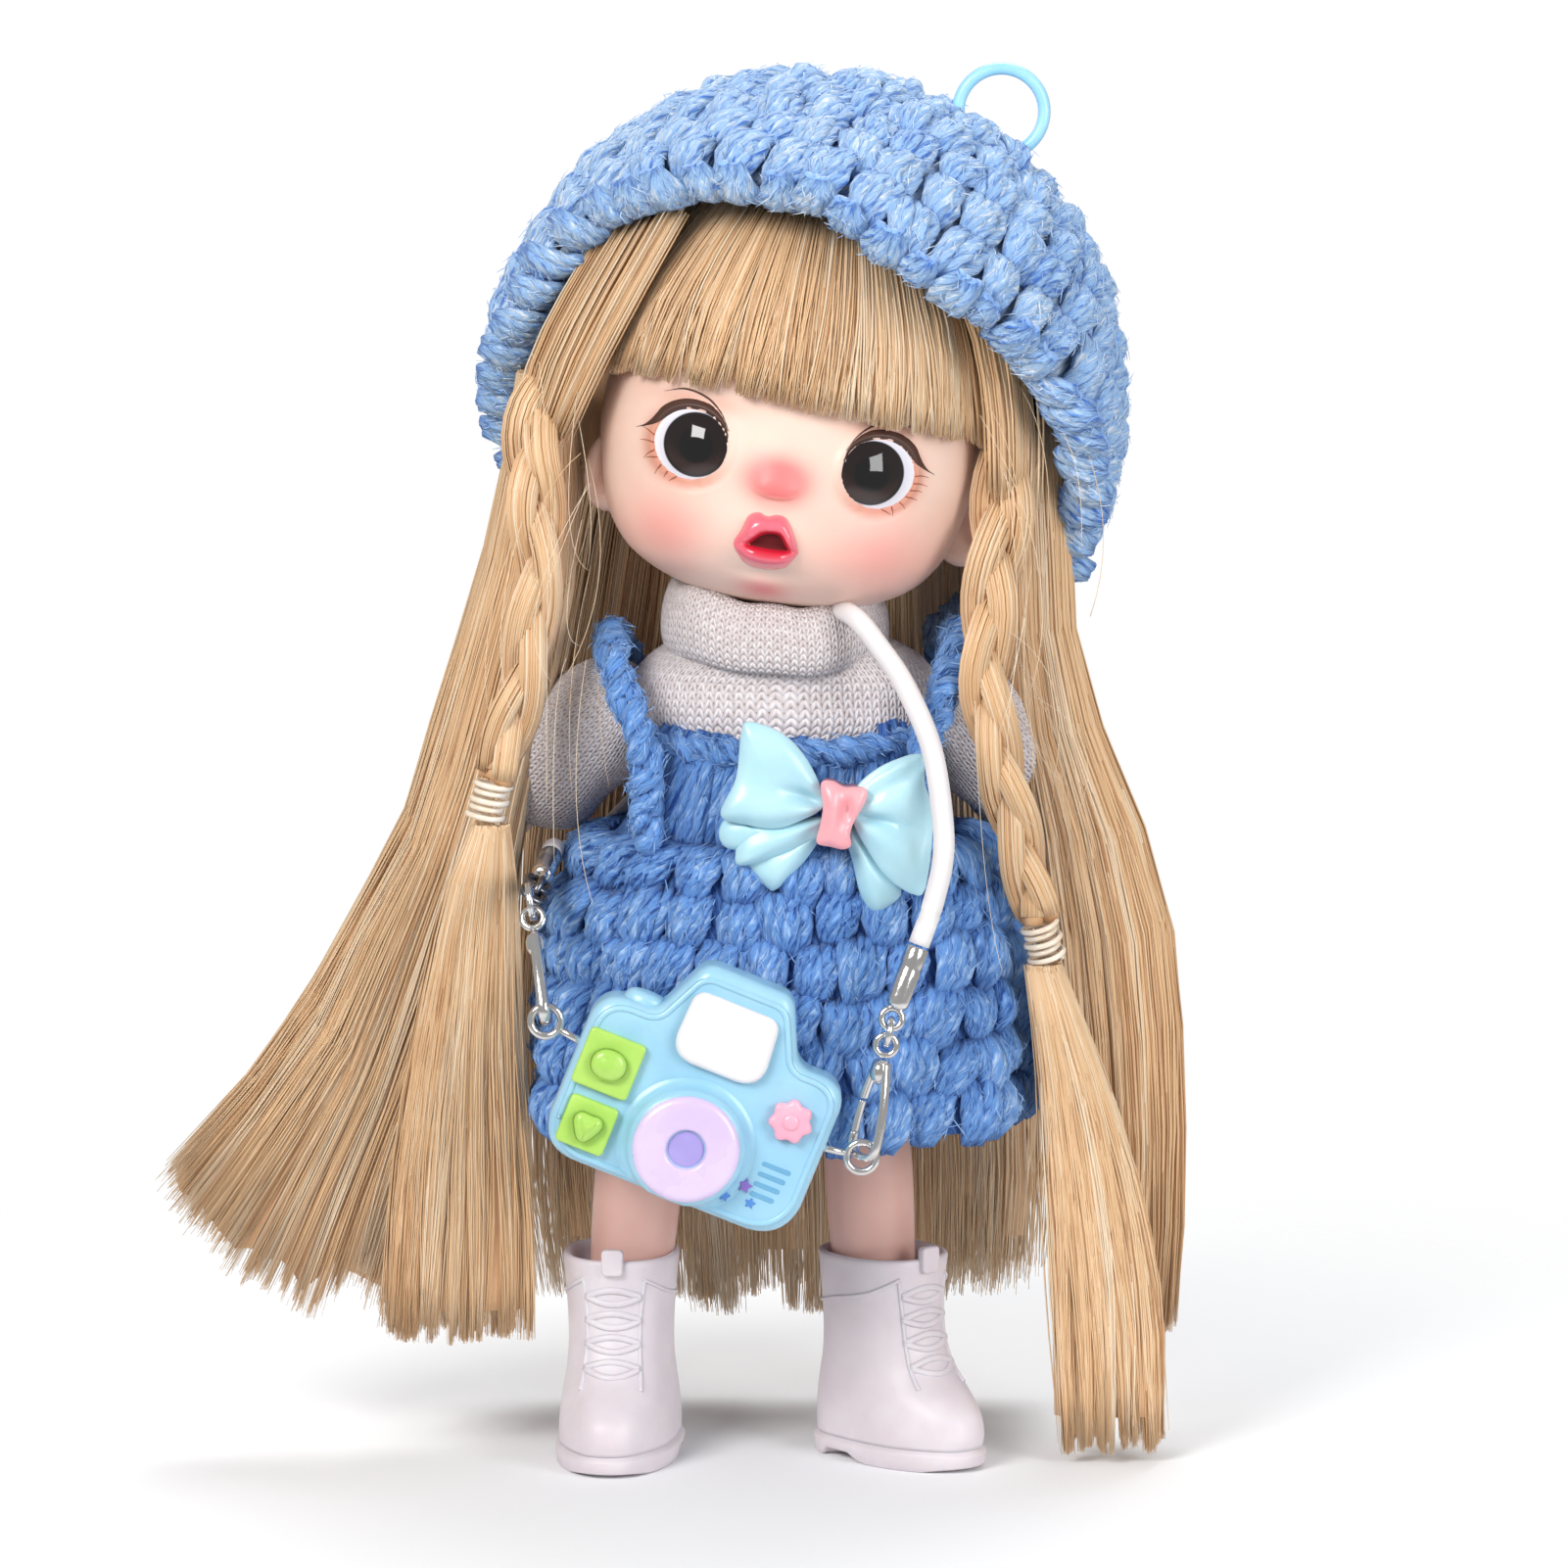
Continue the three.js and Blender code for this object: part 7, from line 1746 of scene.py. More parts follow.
@dataclass
class Boot:
    """Moulded ankle boot with sole, heel, laced front, collar panel and pull tab, over a bare leg."""

    side: Side
    hip: Point
    ankle: Point
    toe_turn: float
    knee: float = 43.5
    shin_radius: float = 5.1
    power: float = 2.35
    sides: int = 72
    upper_low: float = 2.6
    upper_high: float = 24.3
    lace_half: float = 3.3
    shape: tuple = ((2.7, 7.1, 16.2, 7.3), (4.2, 7.15, 16.5, 7.4), (6.4, 7.0, 15.9, 7.5),
                    (8.4, 6.75, 14.0, 7.4), (10.2, 6.5, 11.6, 7.2), (12.2, 6.3, 9.9, 6.9),
                    (15, 6.25, 8.7, 6.8), (18.5, 6.4, 8.2, 6.9), (21.5, 6.65, 8.2, 7.1),
                    (24.3, 6.9, 8.5, 7.3))
    lace_rows: tuple = (20.3, 17.5, 14.7, 11.9)

    def placed(self, local: Array) -> Array:
        """Boot-frame points in the doll's frame; the toe points to -Y."""
        return np.array([self.ankle[0], self.ankle[1], 0]) + local @ turn("Z", self.toe_turn).T

    def section(self, z: Array, a: Array, grow: Any = 0.0) -> Array:
        """Points of the upper at heights and angles; -90 degrees is the toe."""
        table = spline(np.array(self.shape), 60)
        wide, ahead, behind = (np.interp(z, table[:, 0], table[:, i]) + grow for i in (1, 2, 3))
        c, s = np.cos(a), np.sin(a)
        y = np.where(s < 0, ahead, behind) * bend(s, self.power)
        pinch = 1 - 0.1 * smoothstep(-8, -15, y)
        return np.stack(np.broadcast_arrays(wide * bend(c, self.power) * pinch, y, z), -1)

    def build(self) -> list[Piece]:
        """Makes the boot and the leg above it."""
        mesh = Mesh()
        a = circle(self.sides)
        z = np.linspace(self.upper_low, self.upper_high, 46)[:, None]
        outer = self.section(z, a[None])
        rim = ((24.6, -0.15), (24.7, -0.5), (24.5, -0.9), (23.6, -1.1), (20, -1.1))
        lip = [self.section(np.full(self.sides, h), a, g) for h, g in rim]
        mesh.grid(self.placed(np.concatenate([outer, np.array(lip)])), caps=True)
        self.sole(mesh, a)
        self.trim(mesh)
        finish = Cast("boot_vinyl", srgb(219, 211, 216), srgb(211, 201, 207),
                      roughness=0.44, coat=0.08, glow=0.1)
        boot = mesh.build(f"{self.side.label}_boot_vinyl", finish.material())
        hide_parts(f"{self.side.label}_boot")
        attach(boot, f"{self.side.label}_shin")
        return [boot, self.shin()]

    def sole(self, mesh: Mesh, a: Array) -> None:
        """Adds the sole with its welt line, raised arch and heel."""
        rings = []
        steps = ((0.0, -0.5), (0.0, 0.05), (0.25, 0.3), (1.9, 0.42), (2.2, 0.35), (2.35, 0.02), (2.7, -0.1))
        for h, g in steps:
            ring = self.section(np.full(self.sides, 2.8), a, g)
            y = ring[:, 1]
            arch = 1.0 * smoothstep(2.6, 1.6, y) * smoothstep(-4.2, -2.6, y)
            toe = 0.55 * smoothstep(-11.5, -16.5, y)
            ring[:, 2] = h + np.where(h < 0.5, arch + toe, 0)
            rings.append(ring)
        mesh.grid(self.placed(np.array(rings)), caps=True)

    def trim(self, mesh: Mesh) -> None:
        """Adds the laces, the tongue's border, the collar seam and the pull tab, all in relief."""
        out = turn("Z", self.toe_turn) @ np.array([0, -1.0, 0.25])

        def over(x: Array, z: Array, lift: float) -> Array:
            """Points on the boot's front at a side step and a height."""
            table = spline(np.array(self.shape), 60)
            wide, ahead = (np.interp(z, table[:, 0], table[:, i]) for i in (1, 2))
            y = -ahead * np.clip(1 - np.abs(x / wide) ** self.power, 0.02, 1) ** (1 / self.power)
            return self.placed(np.stack(np.broadcast_arrays(x, y - lift, z), -1))

        for height in self.lace_rows:
            for way in (-1, 1):
                x = np.linspace(-self.lace_half, self.lace_half, 22)
                z = height + way * 0.85 * np.cos(x / self.lace_half * np.pi / 2)
                mesh.strands(over(x, z, 0.02)[None], 0.42, 8, out, flat=0.75)
        for way in (-1, 1):
            z = np.linspace(9.6, 22.2, 40)
            x = way * (3.6 - 0.5 * np.sin((z - 9.6) / 12.6 * np.pi))
            mesh.strands(over(x, z, -0.02)[None], 0.3, 7, out, flat=0.7)
        a = np.linspace(-62, 242, 90)
        z = np.interp(np.abs(a - 90), (0, 60, 120, 152), (17.6, 18.6, 20.6, 22.4))
        seam = self.placed(self.section(z, np.radians(a), 0.02))
        mesh.strands(seam[None], 0.26, 7, unit(seam - seam.mean(0))[None])
        edge = over(np.full(1, 0.0), np.full(1, 23.6), 0.35)[0]
        lateral = turn("Z", self.toe_turn) @ np.array([1.0, 0, 0])
        corners = [(-1.25, -0.6), (1.25, -0.6), (1.35, 2.6), (-1.35, 2.6)]
        outline = fillet_outline([(x, z, 0.6) for x, z in corners])
        frame_rows = np.stack([lateral, turn("Z", self.toe_turn) @ np.array([0, 1.0, 0]),
                               np.array([0, 0, 1.0])])
        slab(mesh, outline, -0.45, 0.75, 0.3, lambda p: edge + p @ frame_rows)

    def shin(self) -> Piece:
        """Makes the bare lower leg, slightly fuller at the calf."""
        hip, ankle = np.array(self.hip), np.array(self.ankle)
        share = (self.knee - hip[2]) / (ankle[2] - hip[2])
        knee = hip + (ankle - hip) * share
        t = np.linspace(0, 1, 30)[:, None]
        line = knee + (ankle - knee) * (0.012 + 0.94 * t)
        r = self.shin_radius * (1.0 + 0.07 * np.sin(np.pi * np.clip(t * 1.4, 0, 1)) - 0.1 * t)
        r = r * np.sqrt(np.clip(1 - ((t - 0.5) * 2) ** 24, 0.05, 1))
        a = circle(40)
        ring = np.stack([np.cos(a), np.sin(a), np.zeros(40)], 1)
        mesh = Mesh()
        mesh.grid((line[:, None] + r[:, None] * ring[None])[::-1])
        # a darker copy of the skin: painted shade, as the legs stand under the skirt
        skin = Skin(f"{self.side.label}_leg_skin", srgb(222, 182, 170), srgb(212, 168, 157))
        piece = mesh.build(f"{self.side.label}_shin_skin", skin.material())
        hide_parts(f"{self.side.label}_shin")
        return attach(piece, f"{self.side.label}_shin")


@dataclass
class Arm:
    """Smooth lower arm and hand that swing behind the skirt."""

    side: Side

    def build(self) -> list[Piece]:
        """Makes the forearm and the hand."""
        way, start = self.side.mirrored(ARM_WAY), self.side.mirrored(SHOULDER)
        across = unit(np.cross(way, (0, 1, 0)) * self.side.value)
        ahead = np.cross(way, across)
        skin = Skin(f"{self.side.label}_arm_skin", srgb(250, 224, 210), srgb(245, 212, 197)).material()
        a = circle(36)
        spot = lambda reach, wide, deep: (start + reach[:, None, None] * way
                                          + (wide[:, None] * np.cos(a))[..., None] * across
                                          + (deep[:, None] * np.sin(a))[..., None] * ahead)
        shape = spline([(14.4, 0.3), (14.8, 1.7), (16.6, 2.9), (20, 3.0), (26, 2.75), (30.2, 2.3),
                        (30.8, 1.2), (30.9, 0.1)], 34)
        fore = Mesh()
        fore.grid(spot(shape[:, 0], shape[:, 1], shape[:, 1])[::-1])
        shape = spline([(31.1, 0.1, 0.1), (31.4, 1.5, 1.3), (33, 2.7, 1.6), (35.5, 3.1, 1.6), (38, 2.7, 1.35),
                        (39.1, 1.6, 0.9), (39.5, 0.1, 0.1)], 30)
        hand = Mesh()
        palm = spot(shape[:, 0], shape[:, 1], shape[:, 2])
        groove = 0.16 * np.cos(np.cos(a) * 9)[None] * smoothstep(35.2, 37.5, shape[:, :1])
        hand.grid((palm + groove[..., None] * np.sign(np.sin(a))[None, :, None] * ahead)[::-1])
        thumb = spline([start + way * 32.6 + across * 1.6, start + way * 34 + across * 3.4,
                        start + way * 36 + across * 4.2], 14)
        t = np.linspace(0, 1, 14)
        hand.strands(thumb[None], (1.05 * np.sqrt(np.clip(1 - (2 * t - 1) ** 8, 0.04, 1)))[None], 14, ahead)
        made = []
        for mesh, node in ((fore, f"{self.side.label}_forearm"), (hand, f"{self.side.label}_hand")):
            piece = mesh.build(f"{node}_skin", skin)
            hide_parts(node)
            made.append(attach(piece, node))
        return made


def dress_nodes(names: Iterable[str]) -> None:
    """Gives the moulded body parts that stay as they are a skin finish."""
    skin = Skin("body_skin", srgb(250, 224, 210), srgb(244, 210, 195)).material()
    for name in names:
        for slot in bpy.data.objects[name].material_slots:
            slot.material = skin


def fillet_outline(corners: Sequence[Point], steps: int = 7) -> Array:
    """Closed outline with rounded corners.

    Args:
        corners: (x, z, radius) in order around the shape.
        steps: points on each rounded corner.

    Returns:
        Points of shape (n, 2).
    """
    made = []
    n = len(corners)
    for i, (x, z, r) in enumerate(corners):
        here = np.array([x, z])
        back = np.array(corners[i - 1][:2]) - here
        ahead = np.array(corners[(i + 1) % n][:2]) - here
        bu, au = unit(back), unit(ahead)
        half = math.acos(float(np.clip(bu @ au, -1, 1))) / 2
        reach = min(r / math.tan(half), 0.49 * np.linalg.norm(back), 0.49 * np.linalg.norm(ahead))
        a, b = here + bu * reach, here + au * reach
        t = np.linspace(0, 1, steps)[:, None]
        made.append((1 - t) ** 2 * a + 2 * t * (1 - t) * (here * 0.86 + (a + b) * 0.07) + t**2 * b)
    return np.concatenate(made)


def slab(mesh: Mesh, outline: Array, front: float, back: float, fillet: float,
         place: Callable[[Array], Array],
         crown: float = 0.0, tone: float = 0.5) -> None:
    """Adds a plate of an outline with rounded edges.

    Args:
        mesh: mesh that takes the plate.
        outline: points (x, z).
        front: y of the front face.
        back: y of the back face.
        fillet: radius of the rounded edges.
        place: puts local points into the doll's frame.
        crown: how far the front swells at its middle.
        tone: light or dark share.
    """
    ahead = np.roll(outline, -1, axis=0) - np.roll(outline, 1, axis=0)
    normal = unit(np.stack([ahead[:, 1], -ahead[:, 0]], 1))
    if ((outline - outline.mean(0)) * normal).sum() < 0:
        normal = -normal
    rings = []
    middle = outline.mean(0)
    for share in (0.25, 0.55, 0.8):
        flat = middle + (outline - normal * fillet - middle) * share
        rings.append((flat, front - crown * (1 - share**2)))
    for angle in np.linspace(0, np.pi / 2, 6):
        rings.append((outline - normal * fillet * (1 - math.sin(angle)),
                      front + fillet * (1 - math.cos(angle))))
    for angle in np.linspace(np.pi / 2, 0, 6):
        rings.append((outline - normal * fillet * (1 - math.sin(angle)),
                      back - fillet * (1 - math.cos(angle))))
    rings.append((middle + (outline - normal * fillet - middle) * 0.5, back))
    points = np.array([np.stack([f[:, 0], np.full(len(f), y), f[:, 1]], 1) for f, y in rings])
    mesh.grid(place(points), tone)


def lathe(mesh: Mesh, profile: Array, centre: Sequence[float], place: Callable[[Array], Array],
          sides: int = 56) -> None:
    """Adds a form turned about the local y axis.

    Args:
        mesh: mesh that takes the form.
        profile: (radius, y) from the front's middle to the back.
        centre: (x, z) of the axis.
        place: puts local points into the doll's frame.
        sides: points around.
    """
    a = circle(sides)
    p = np.asarray(profile, float)
    x = centre[0] + p[:, :1] * np.cos(a)
    z = centre[1] + p[:, :1] * np.sin(a)
    mesh.grid(place(np.stack([x, np.repeat(p[:, 1:], sides, 1), z], -1)))


@dataclass
class ToyCamera:
    """Cast toy camera: rounded body with a prism hump, lens, tiles, flower, stars and grille."""

    at: Point = (-11.4, -25.4, 46.6)
    lean: float = 22.0
    width: float = 31.0
    height: float = 20.0
    depth: float = 7.0
    seat: float = -3.3
    flower: Flat = (11.54, 4.0)
    button: Flat = (-8.9, 10.0)
    bars: int = 4
    bar_pitch: float = 1.25
    tile_places: tuple = (("upper", -10.47, 2.4, 6.9), ("lower", -10.16, -5.2, 5.9))
    cover: tuple = ((-4.6, 5.9, 2.8), (7.0, 5.9, 2.8), (6.2, 14.4, 1.6), (-4.3, 14.4, 1.6))
    middle: float = 1.0
    lens: Flat = (1.4, -3.2)

    def placed(self, local: Array) -> Array:
        """Camera-frame points in the doll's frame."""
        return np.array(self.at) + local @ turn("Y", self.lean).T

    def keep(self, mesh: Mesh, name: str, finish: Cast, node: str, slot: str) -> Piece:
        """Makes a piece of the camera that stands for a node."""
        piece = mesh.build(name, finish.material())
        if node:
            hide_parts(node)
        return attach(piece, "camera")

    def build(self) -> list[Piece]:
        """Makes every piece of the camera."""
        sky = Cast("camera_resin", srgb(162, 209, 232), srgb(150, 200, 226),
                   roughness=0.28, coat=0.35, glow=0.12)
        made = [self.keep(self.body(), "camera_body_cast", sky, "camera_body", "camera_resin")]
        white = Cast("white_resin", srgb(238, 236, 237), srgb(231, 229, 232),
                     roughness=0.26, coat=0.35, glow=0.1)
        cover = Mesh()
        edge = fillet_outline(self.cover)
        slab(cover, edge, -4.9, self.seat, 0.8, self.placed, 0.35)
        made.append(self.keep(cover, "flash_cover_cast", white, "flash_cover", "white_resin"))
        made += self.lens_pieces() + self.tiles() + self.marks()
        return made

    def body(self) -> Mesh:
        """Makes the body with its hump, front bead, lens barrel and shutter button."""
        mesh = Mesh()
        low, high = self.middle - self.width / 2, self.middle + self.width / 2
        top = self.height / 2
        corners = [(low, -top, 4.2), (high, -top, 5.0), (high, top, 4.4), (self.middle + 9.0, top, 2.6),
                   (self.middle + 5.6, top + 7.4, 2.2), (self.middle - 5.2, top + 7.4, 2.2),
                   (self.middle - 8.6, top, 2.6), (low, top, 4.4)]
        outline = fillet_outline(corners, 12)
        slab(mesh, outline, -self.depth / 2, self.depth / 2, 1.5, self.placed, 0.12)
        inner = np.stack([self.middle + (outline[:, 0] - self.middle) * 0.93, outline[:, 1] * 0.905], 1)
        ring = self.placed(np.stack([inner[:, 0], np.full(len(inner), -3.32), inner[:, 1]], 1))
        closed = np.concatenate([ring, ring[:2]])
        mesh.strands(closed[None], 0.42, 8, FACING_CAMERA, flat=0.9)
        trimmed = lambda p: self.placed(np.concatenate([p[..., :2], np.maximum(p[..., 2:], 0.4 - top)], -1))
        lathe(mesh,
              spline([(0, -6.3), (5.2, -6.35), (6.2, -6.2), (6.8, -5.6), (7.0, -4.6), (7.5, -3.8),
                      (8.4, -3.4),
                            (8.6, -2.5)], 26), self.lens, trimmed)
        bump = spline([(0.02, 1.3), (1.5, 1.25), (2.4, 0.9), (2.7, 0.2), (2.75, -0.8)], 14)
        a = circle(36)
        dome = np.stack([self.button[0] + bump[:, :1] * np.cos(a), bump[:, :1] * 0.8 * np.sin(a),
                         self.button[1] + np.repeat(bump[:, 1:], 36, 1)], -1)
        mesh.grid(self.placed(dome))
        return mesh

    def lens_pieces(self) -> list[Piece]:
        """Makes the lens ring and the button at its middle."""
        ring, button = Mesh(), Mesh()
        lathe(ring,
              spline([(2.2, -6.2), (2.35, -6.75), (2.7, -6.95), (4.6, -7.05), (5.6, -7.0), (6.15, -6.6),
                      (6.2, -6.2),
                            (6.0, -5.9)], 30), self.lens, self.placed)
        lathe(button, spline([(0.02, -6.5), (1.6, -6.45), (2.15, -6.3), (2.2, -6.0)], 14), self.lens,
              self.placed)
        lilac = Cast("lavender_resin", srgb(222, 204, 236), srgb(213, 193, 230),
                     roughness=0.22, coat=0.4, glow=0.12)
        violet = Cast("violet_resin", srgb(176, 164, 224), srgb(160, 148, 214),
                      roughness=0.25, coat=0.4, glow=0.1)
        return [self.keep(ring, "lens_ring_cast", lilac, "lens_ring", "lavender_resin"),
                self.keep(button, "lens_button_cast", violet, "lens_button", "violet_resin")]

    def tiles(self) -> list[Piece]:
        """Makes the two green tiles with their domes, and the flower."""
        green = Cast("green_resin", srgb(184, 224, 110), srgb(166, 212, 92),
                     roughness=0.24, coat=0.4, glow=0.12)
        pink = Cast("pink_resin", srgb(255, 184, 202), srgb(250, 168, 190),
                    roughness=0.26, coat=0.35, glow=0.12)
        made = []
        for name, cx, cz, size in self.tile_places:
            mesh, h = Mesh(), size / 2
            square = fillet_outline([(cx - h, cz - h, 0.6), (cx + h, cz - h, 0.6), (cx + h, cz + h, 0.6),
                                     (cx - h, cz + h, 0.6)])
            slab(mesh, square, -4.6, self.seat, 0.35, self.placed)
            a = np.linspace(0, 2 * np.pi, 48, endpoint=False)
            lobes = 0.1 * np.cos(3 * a - 1.57) if name == "lower" else 0.05 * np.cos(2 * a)
            bud = np.stack([cx + h * 0.6 * (1 + lobes) * np.cos(a), cz + h * (0.6 + lobes) * np.sin(a)], 1)
            slab(mesh, bud, -5.75, -4.3, 1.0, self.placed, 0.25)
            made.append(self.keep(mesh, f"{name}_green_tile_cast", green, f"{name}_green_tile",
                                  "green_resin"))
        a = np.linspace(0, 2 * np.pi, 70, endpoint=False)
        r = 2.4 + 0.22 * np.cos(7 * a + 0.5)
        flower = Mesh()
        slab(flower, np.stack([self.flower[0] + r * np.cos(a), self.flower[1] + r * np.sin(a)], 1), -4.9,
             self.seat, 0.55, self.placed, 0.1)
        lathe(flower, spline([(0.02, -5.35), (0.7, -5.25), (1.05, -4.9), (1.1, -4.6)], 10), self.flower,
              self.placed, 24)
        made.append(self.keep(flower, "flower_button_cast", pink, "flower_button", "pink_resin"))
        return made

    def marks(self) -> list[Piece]:
        """Makes the grille's sunk bars, coloured with painted shade, and the small printed stars."""
        grille = Mesh()
        for i in range(self.bars):
            z = -1.9 - self.bar_pitch * i
            bar = fillet_outline([(10.3, z - 0.3, 0.28), (13.9 - 0.2 * i, z - 0.3, 0.28),
                                  (13.9 - 0.2 * i, z + 0.3, 0.28),
                                  (10.3, z + 0.3, 0.28)], 5)
            slab(grille, bar, -3.6, -3.2, 0.08, self.placed)
        # the bars' darker blue is painted shade in the sunk grille
        grille_slot_shade = Cast("grille_shade", srgb(118, 178, 212), srgb(104, 164, 202),
                   roughness=0.4, coat=0.1)
        made = [self.keep(grille, "grille_bars", grille_slot_shade, "", "camera_resin")]
        stars = {"violet": ((9.5, -5.1, 0.95, -3.8),),
                 "blue": ((7.7, -7.0, 0.75, -4.3), (10.8, -6.8, 0.75, -3.65))}
        hues = {"violet": (srgb(150, 122, 206), srgb(132, 104, 192)),
                "blue": (srgb(92, 150, 222), srgb(76, 134, 210))}
        for hue, places in stars.items():
            mesh = Mesh()
            for cx, cz, size, front in places:
                a = np.pi / 2 + np.pi / 5 * np.arange(10)
                r = np.where(np.arange(10) % 2 == 0, size, size * 0.48)
                points = [(cx + q * math.cos(b), cz + q * math.sin(b), 0.06) for q, b in zip(r, a)]
                slab(mesh, fillet_outline(points, 3), front, self.seat, 0.04, self.placed)
            made.append(self.keep(mesh, f"{hue}_stars", Cast(f"{hue}_print", *hues[hue], roughness=0.35,
                                                             coat=0.2), "", "violet_resin"))
        return made


def bezier(points: Sequence[Sequence[float]], count: int) -> Array:
    """Samples of a cubic Bezier curve, without its last point."""
    a, b, c, d = (np.array(p, float) for p in points)
    t = np.linspace(0, 1, count, endpoint=False)[:, None]
    return (1 - t) ** 3 * a + 3 * (1 - t) ** 2 * t * b + 3 * (1 - t) * t**2 * c + t**3 * d


@dataclass
class Strap:
    """White cord round the neck with ferrules, chain, split ring and the two spring clips to the camera."""

    cord_radius: float = 1.25
    ferrule_radius: float = 1.35
    ferrule_length: float = 7.6
    wire: float = 0.4
    link: float = 1.5
    eye: float = 1.2
    split: float = 2.0
    gap: float = 0.3
    links: int = 3
    clip_width: float = 4.8
    clip_bar: float = 0.9
    clip_thick: float = 1.3
    lug_ring: float = 1.75
    lug_shank: float = 4.0
    route: tuple = ((17, -23.6, 69.5), (18.4, -23.4, 75.5), (18.3, -22.6, 81), (17, -20.6, 88.6),
                    (14.0, -16.6, 95.2), (11.0, -13.6, 99.4), (8.6, -11.4, 102.2), (6.8, -7.4, 103),
                    (8.8, 0.5, 102), (10, 10.5, 98.6), (5, 15.4, 93.6), (-3, 17.4, 88.4), (-8.5, 19.6, 84.4),
                    (-15, 19.2, 79.6), (-22.9, 13.4, 72.4), (-27.4, 6, 72.2))
    front_tip: tuple = (12.9, -25.0, 58.4)
    front_lug: tuple = (9.0, -25.4, 41.0)
    rear_lug: tuple = (-27.6, -25.4, 57.0)
    hook_top: tuple = (-29.5, -18.8, 70.0)
    chain_aim: tuple = (-27.4, 0.0, 73.4)

    def __post_init__(self) -> None:
        """Works out where each piece of the hardware hangs."""
        v = lambda p: np.array(p, float)
        step = 2 * self.wire + self.gap
        self.front_way = unit(v(self.route[0]) - v(self.front_tip))
        self.front_top = v(self.front_tip) + self.front_way * self.ferrule_length
        self.front_eye = v(self.front_tip) - self.front_way * self.eye
        self.clip_way = unit(v(self.front_lug) - self.front_eye)
        self.link_at = self.front_eye + self.clip_way * (self.eye + self.link - step)
        self.clasp_eye = self.link_at + self.clip_way * (self.eye + self.link - step)
        self.hook_way = unit(v(self.hook_top) - v(self.rear_lug))
        self.hook_eye = v(self.hook_top) - self.hook_way * (self.eye + self.split - step)
        self.chain_way = unit(v(self.chain_aim) - v(self.hook_top))
        first, pitch = self.split + self.link - step, 2 * self.link - step
        self.chain = [v(self.hook_top) + self.chain_way * (first + pitch * i) for i in range(self.links)]
        self.rear_eye = self.chain[-1] + self.chain_way * (self.link + self.eye - step)
        self.rear_tip = self.rear_eye + self.chain_way * self.eye
        self.rear_top = self.rear_tip + self.chain_way * self.ferrule_length
        self.steel = Metal("bright_steel", (0.78, 0.77, 0.76), 0.12).material()
        self.dark = Metal("dark_steel", (0.2, 0.2, 0.22), 0.24).material()

    def keep(self, mesh: Mesh, name: str, node: str, body: str, dark: bool = False) -> Piece:
        """Makes a metal piece that stands for a node."""
        piece = mesh.build(name, self.dark if dark else self.steel)
        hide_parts(node)
        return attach(piece, body)

    def ring(self, mesh: Mesh, radius: float, centre: Array, way: Array, turned: bool,
             wire: float = 0.0) -> None:
        """Adds a wire ring whose plane holds `way`."""
        across = unit(np.cross((0, 1, 0), way))
        normal = across if turned else unit(np.cross(across, way))
        self.hoop(mesh, radius, centre, normal, wire or self.wire)

    def hoop(self, mesh: Mesh, radius: float, centre: Array, normal: Array, wire: float) -> None:
        """Adds a wire ring about an axis."""
        side = unit(np.cross(normal, (0.31, 0.17, 0.93)))
        up = np.cross(normal, side)
        a = np.linspace(0, 2 * np.pi, 49)[:, None]
        b = circle(12)
        out = np.cos(a) * side + np.sin(a) * up
        tube = centre + radius * out[:, None] + wire * (np.cos(b)[:, None] * out[:, None]
                                                        + np.sin(b)[:, None] * normal)
        mesh.grid(tube[::-1], caps=False)

    def turned_rod(self, mesh: Mesh, start: Array, way: Array, profile: Array, sides: int = 32) -> None:
        """Adds a form turned about an axis from (radius, reach) pairs."""
        side = unit(np.cross(way, (0.31, 0.17, 0.93)))
        up = np.cross(way, side)
        a = circle(sides)
        out = np.cos(a)[:, None] * side + np.sin(a)[:, None] * up
        p = np.asarray(profile, float)
        mesh.grid(start + p[:, 1, None, None] * way + p[:, 0, None, None] * out[None])

    def build(self) -> list[Piece]:
        """Makes the cord and all the hardware."""
        made = []
        for name, tip, way, eye, turned in (("front", np.array(self.front_tip), self.front_way,
                                             self.front_eye, False),
                                            ("rear", self.rear_tip, self.chain_way, self.rear_eye, True)):
            mesh, r, l = Mesh(), self.ferrule_radius, self.ferrule_length
            profile = [(0.02, 0), (r * 0.55, 0.02), (r * 0.8, 0.2), (r * 0.97, 0.6), (r, 1.1), (r, l * 0.6),
                       (r * 0.95, l * 0.64),
                       (r * 0.95, l * 0.7), (r, l * 0.74), (r, l - 0.15), (r * 0.93, l), (r * 0.7, l),
                       (0.02, l - 0.1)]
            self.turned_rod(mesh, tip, way, profile)
            self.ring(mesh, self.eye, eye, way, turned)
            made.append(self.keep(mesh, f"{name}_ferrule_steel", f"{name}_ferrule", "torso"))
        made.append(self.cord())
        mesh = Mesh()
        self.ring(mesh, self.link, self.link_at, self.clip_way, True)
        made.append(self.keep(mesh, "ferrule_link_steel", "ferrule_link", "torso"))
        mesh = Mesh()
        for shift in (-0.12, 0.12):
            across = unit(np.cross((0, 1, 0), self.hook_way))
            self.ring(mesh, self.split, np.array(self.hook_top) + across * shift, self.hook_way, True,
                      self.wire * 0.72)
        made.append(self.keep(mesh, "split_ring_steel", "split_ring", "torso"))
        for i, at in enumerate(self.chain):
            mesh = Mesh()
            self.ring(mesh, self.link, at, self.chain_way, i % 2 == 1, self.wire * 1.1)
            made.append(self.keep(mesh, f"chain_link_{i + 1}_steel", f"chain_link_{i + 1}", "torso", True))
        made += self.clip("lobster", self.clasp_eye, np.array(self.front_lug), 45,
                          ("lobster_body", "lobster_lever"),
                          ("camera", "clasp_lever"))
        made += self.clip("hook", self.hook_eye, np.array(self.rear_lug), 90, ("hook_body", "hook_gate"),
                          ("snap_hook", "snap_gate"))
        return made + self.lugs()

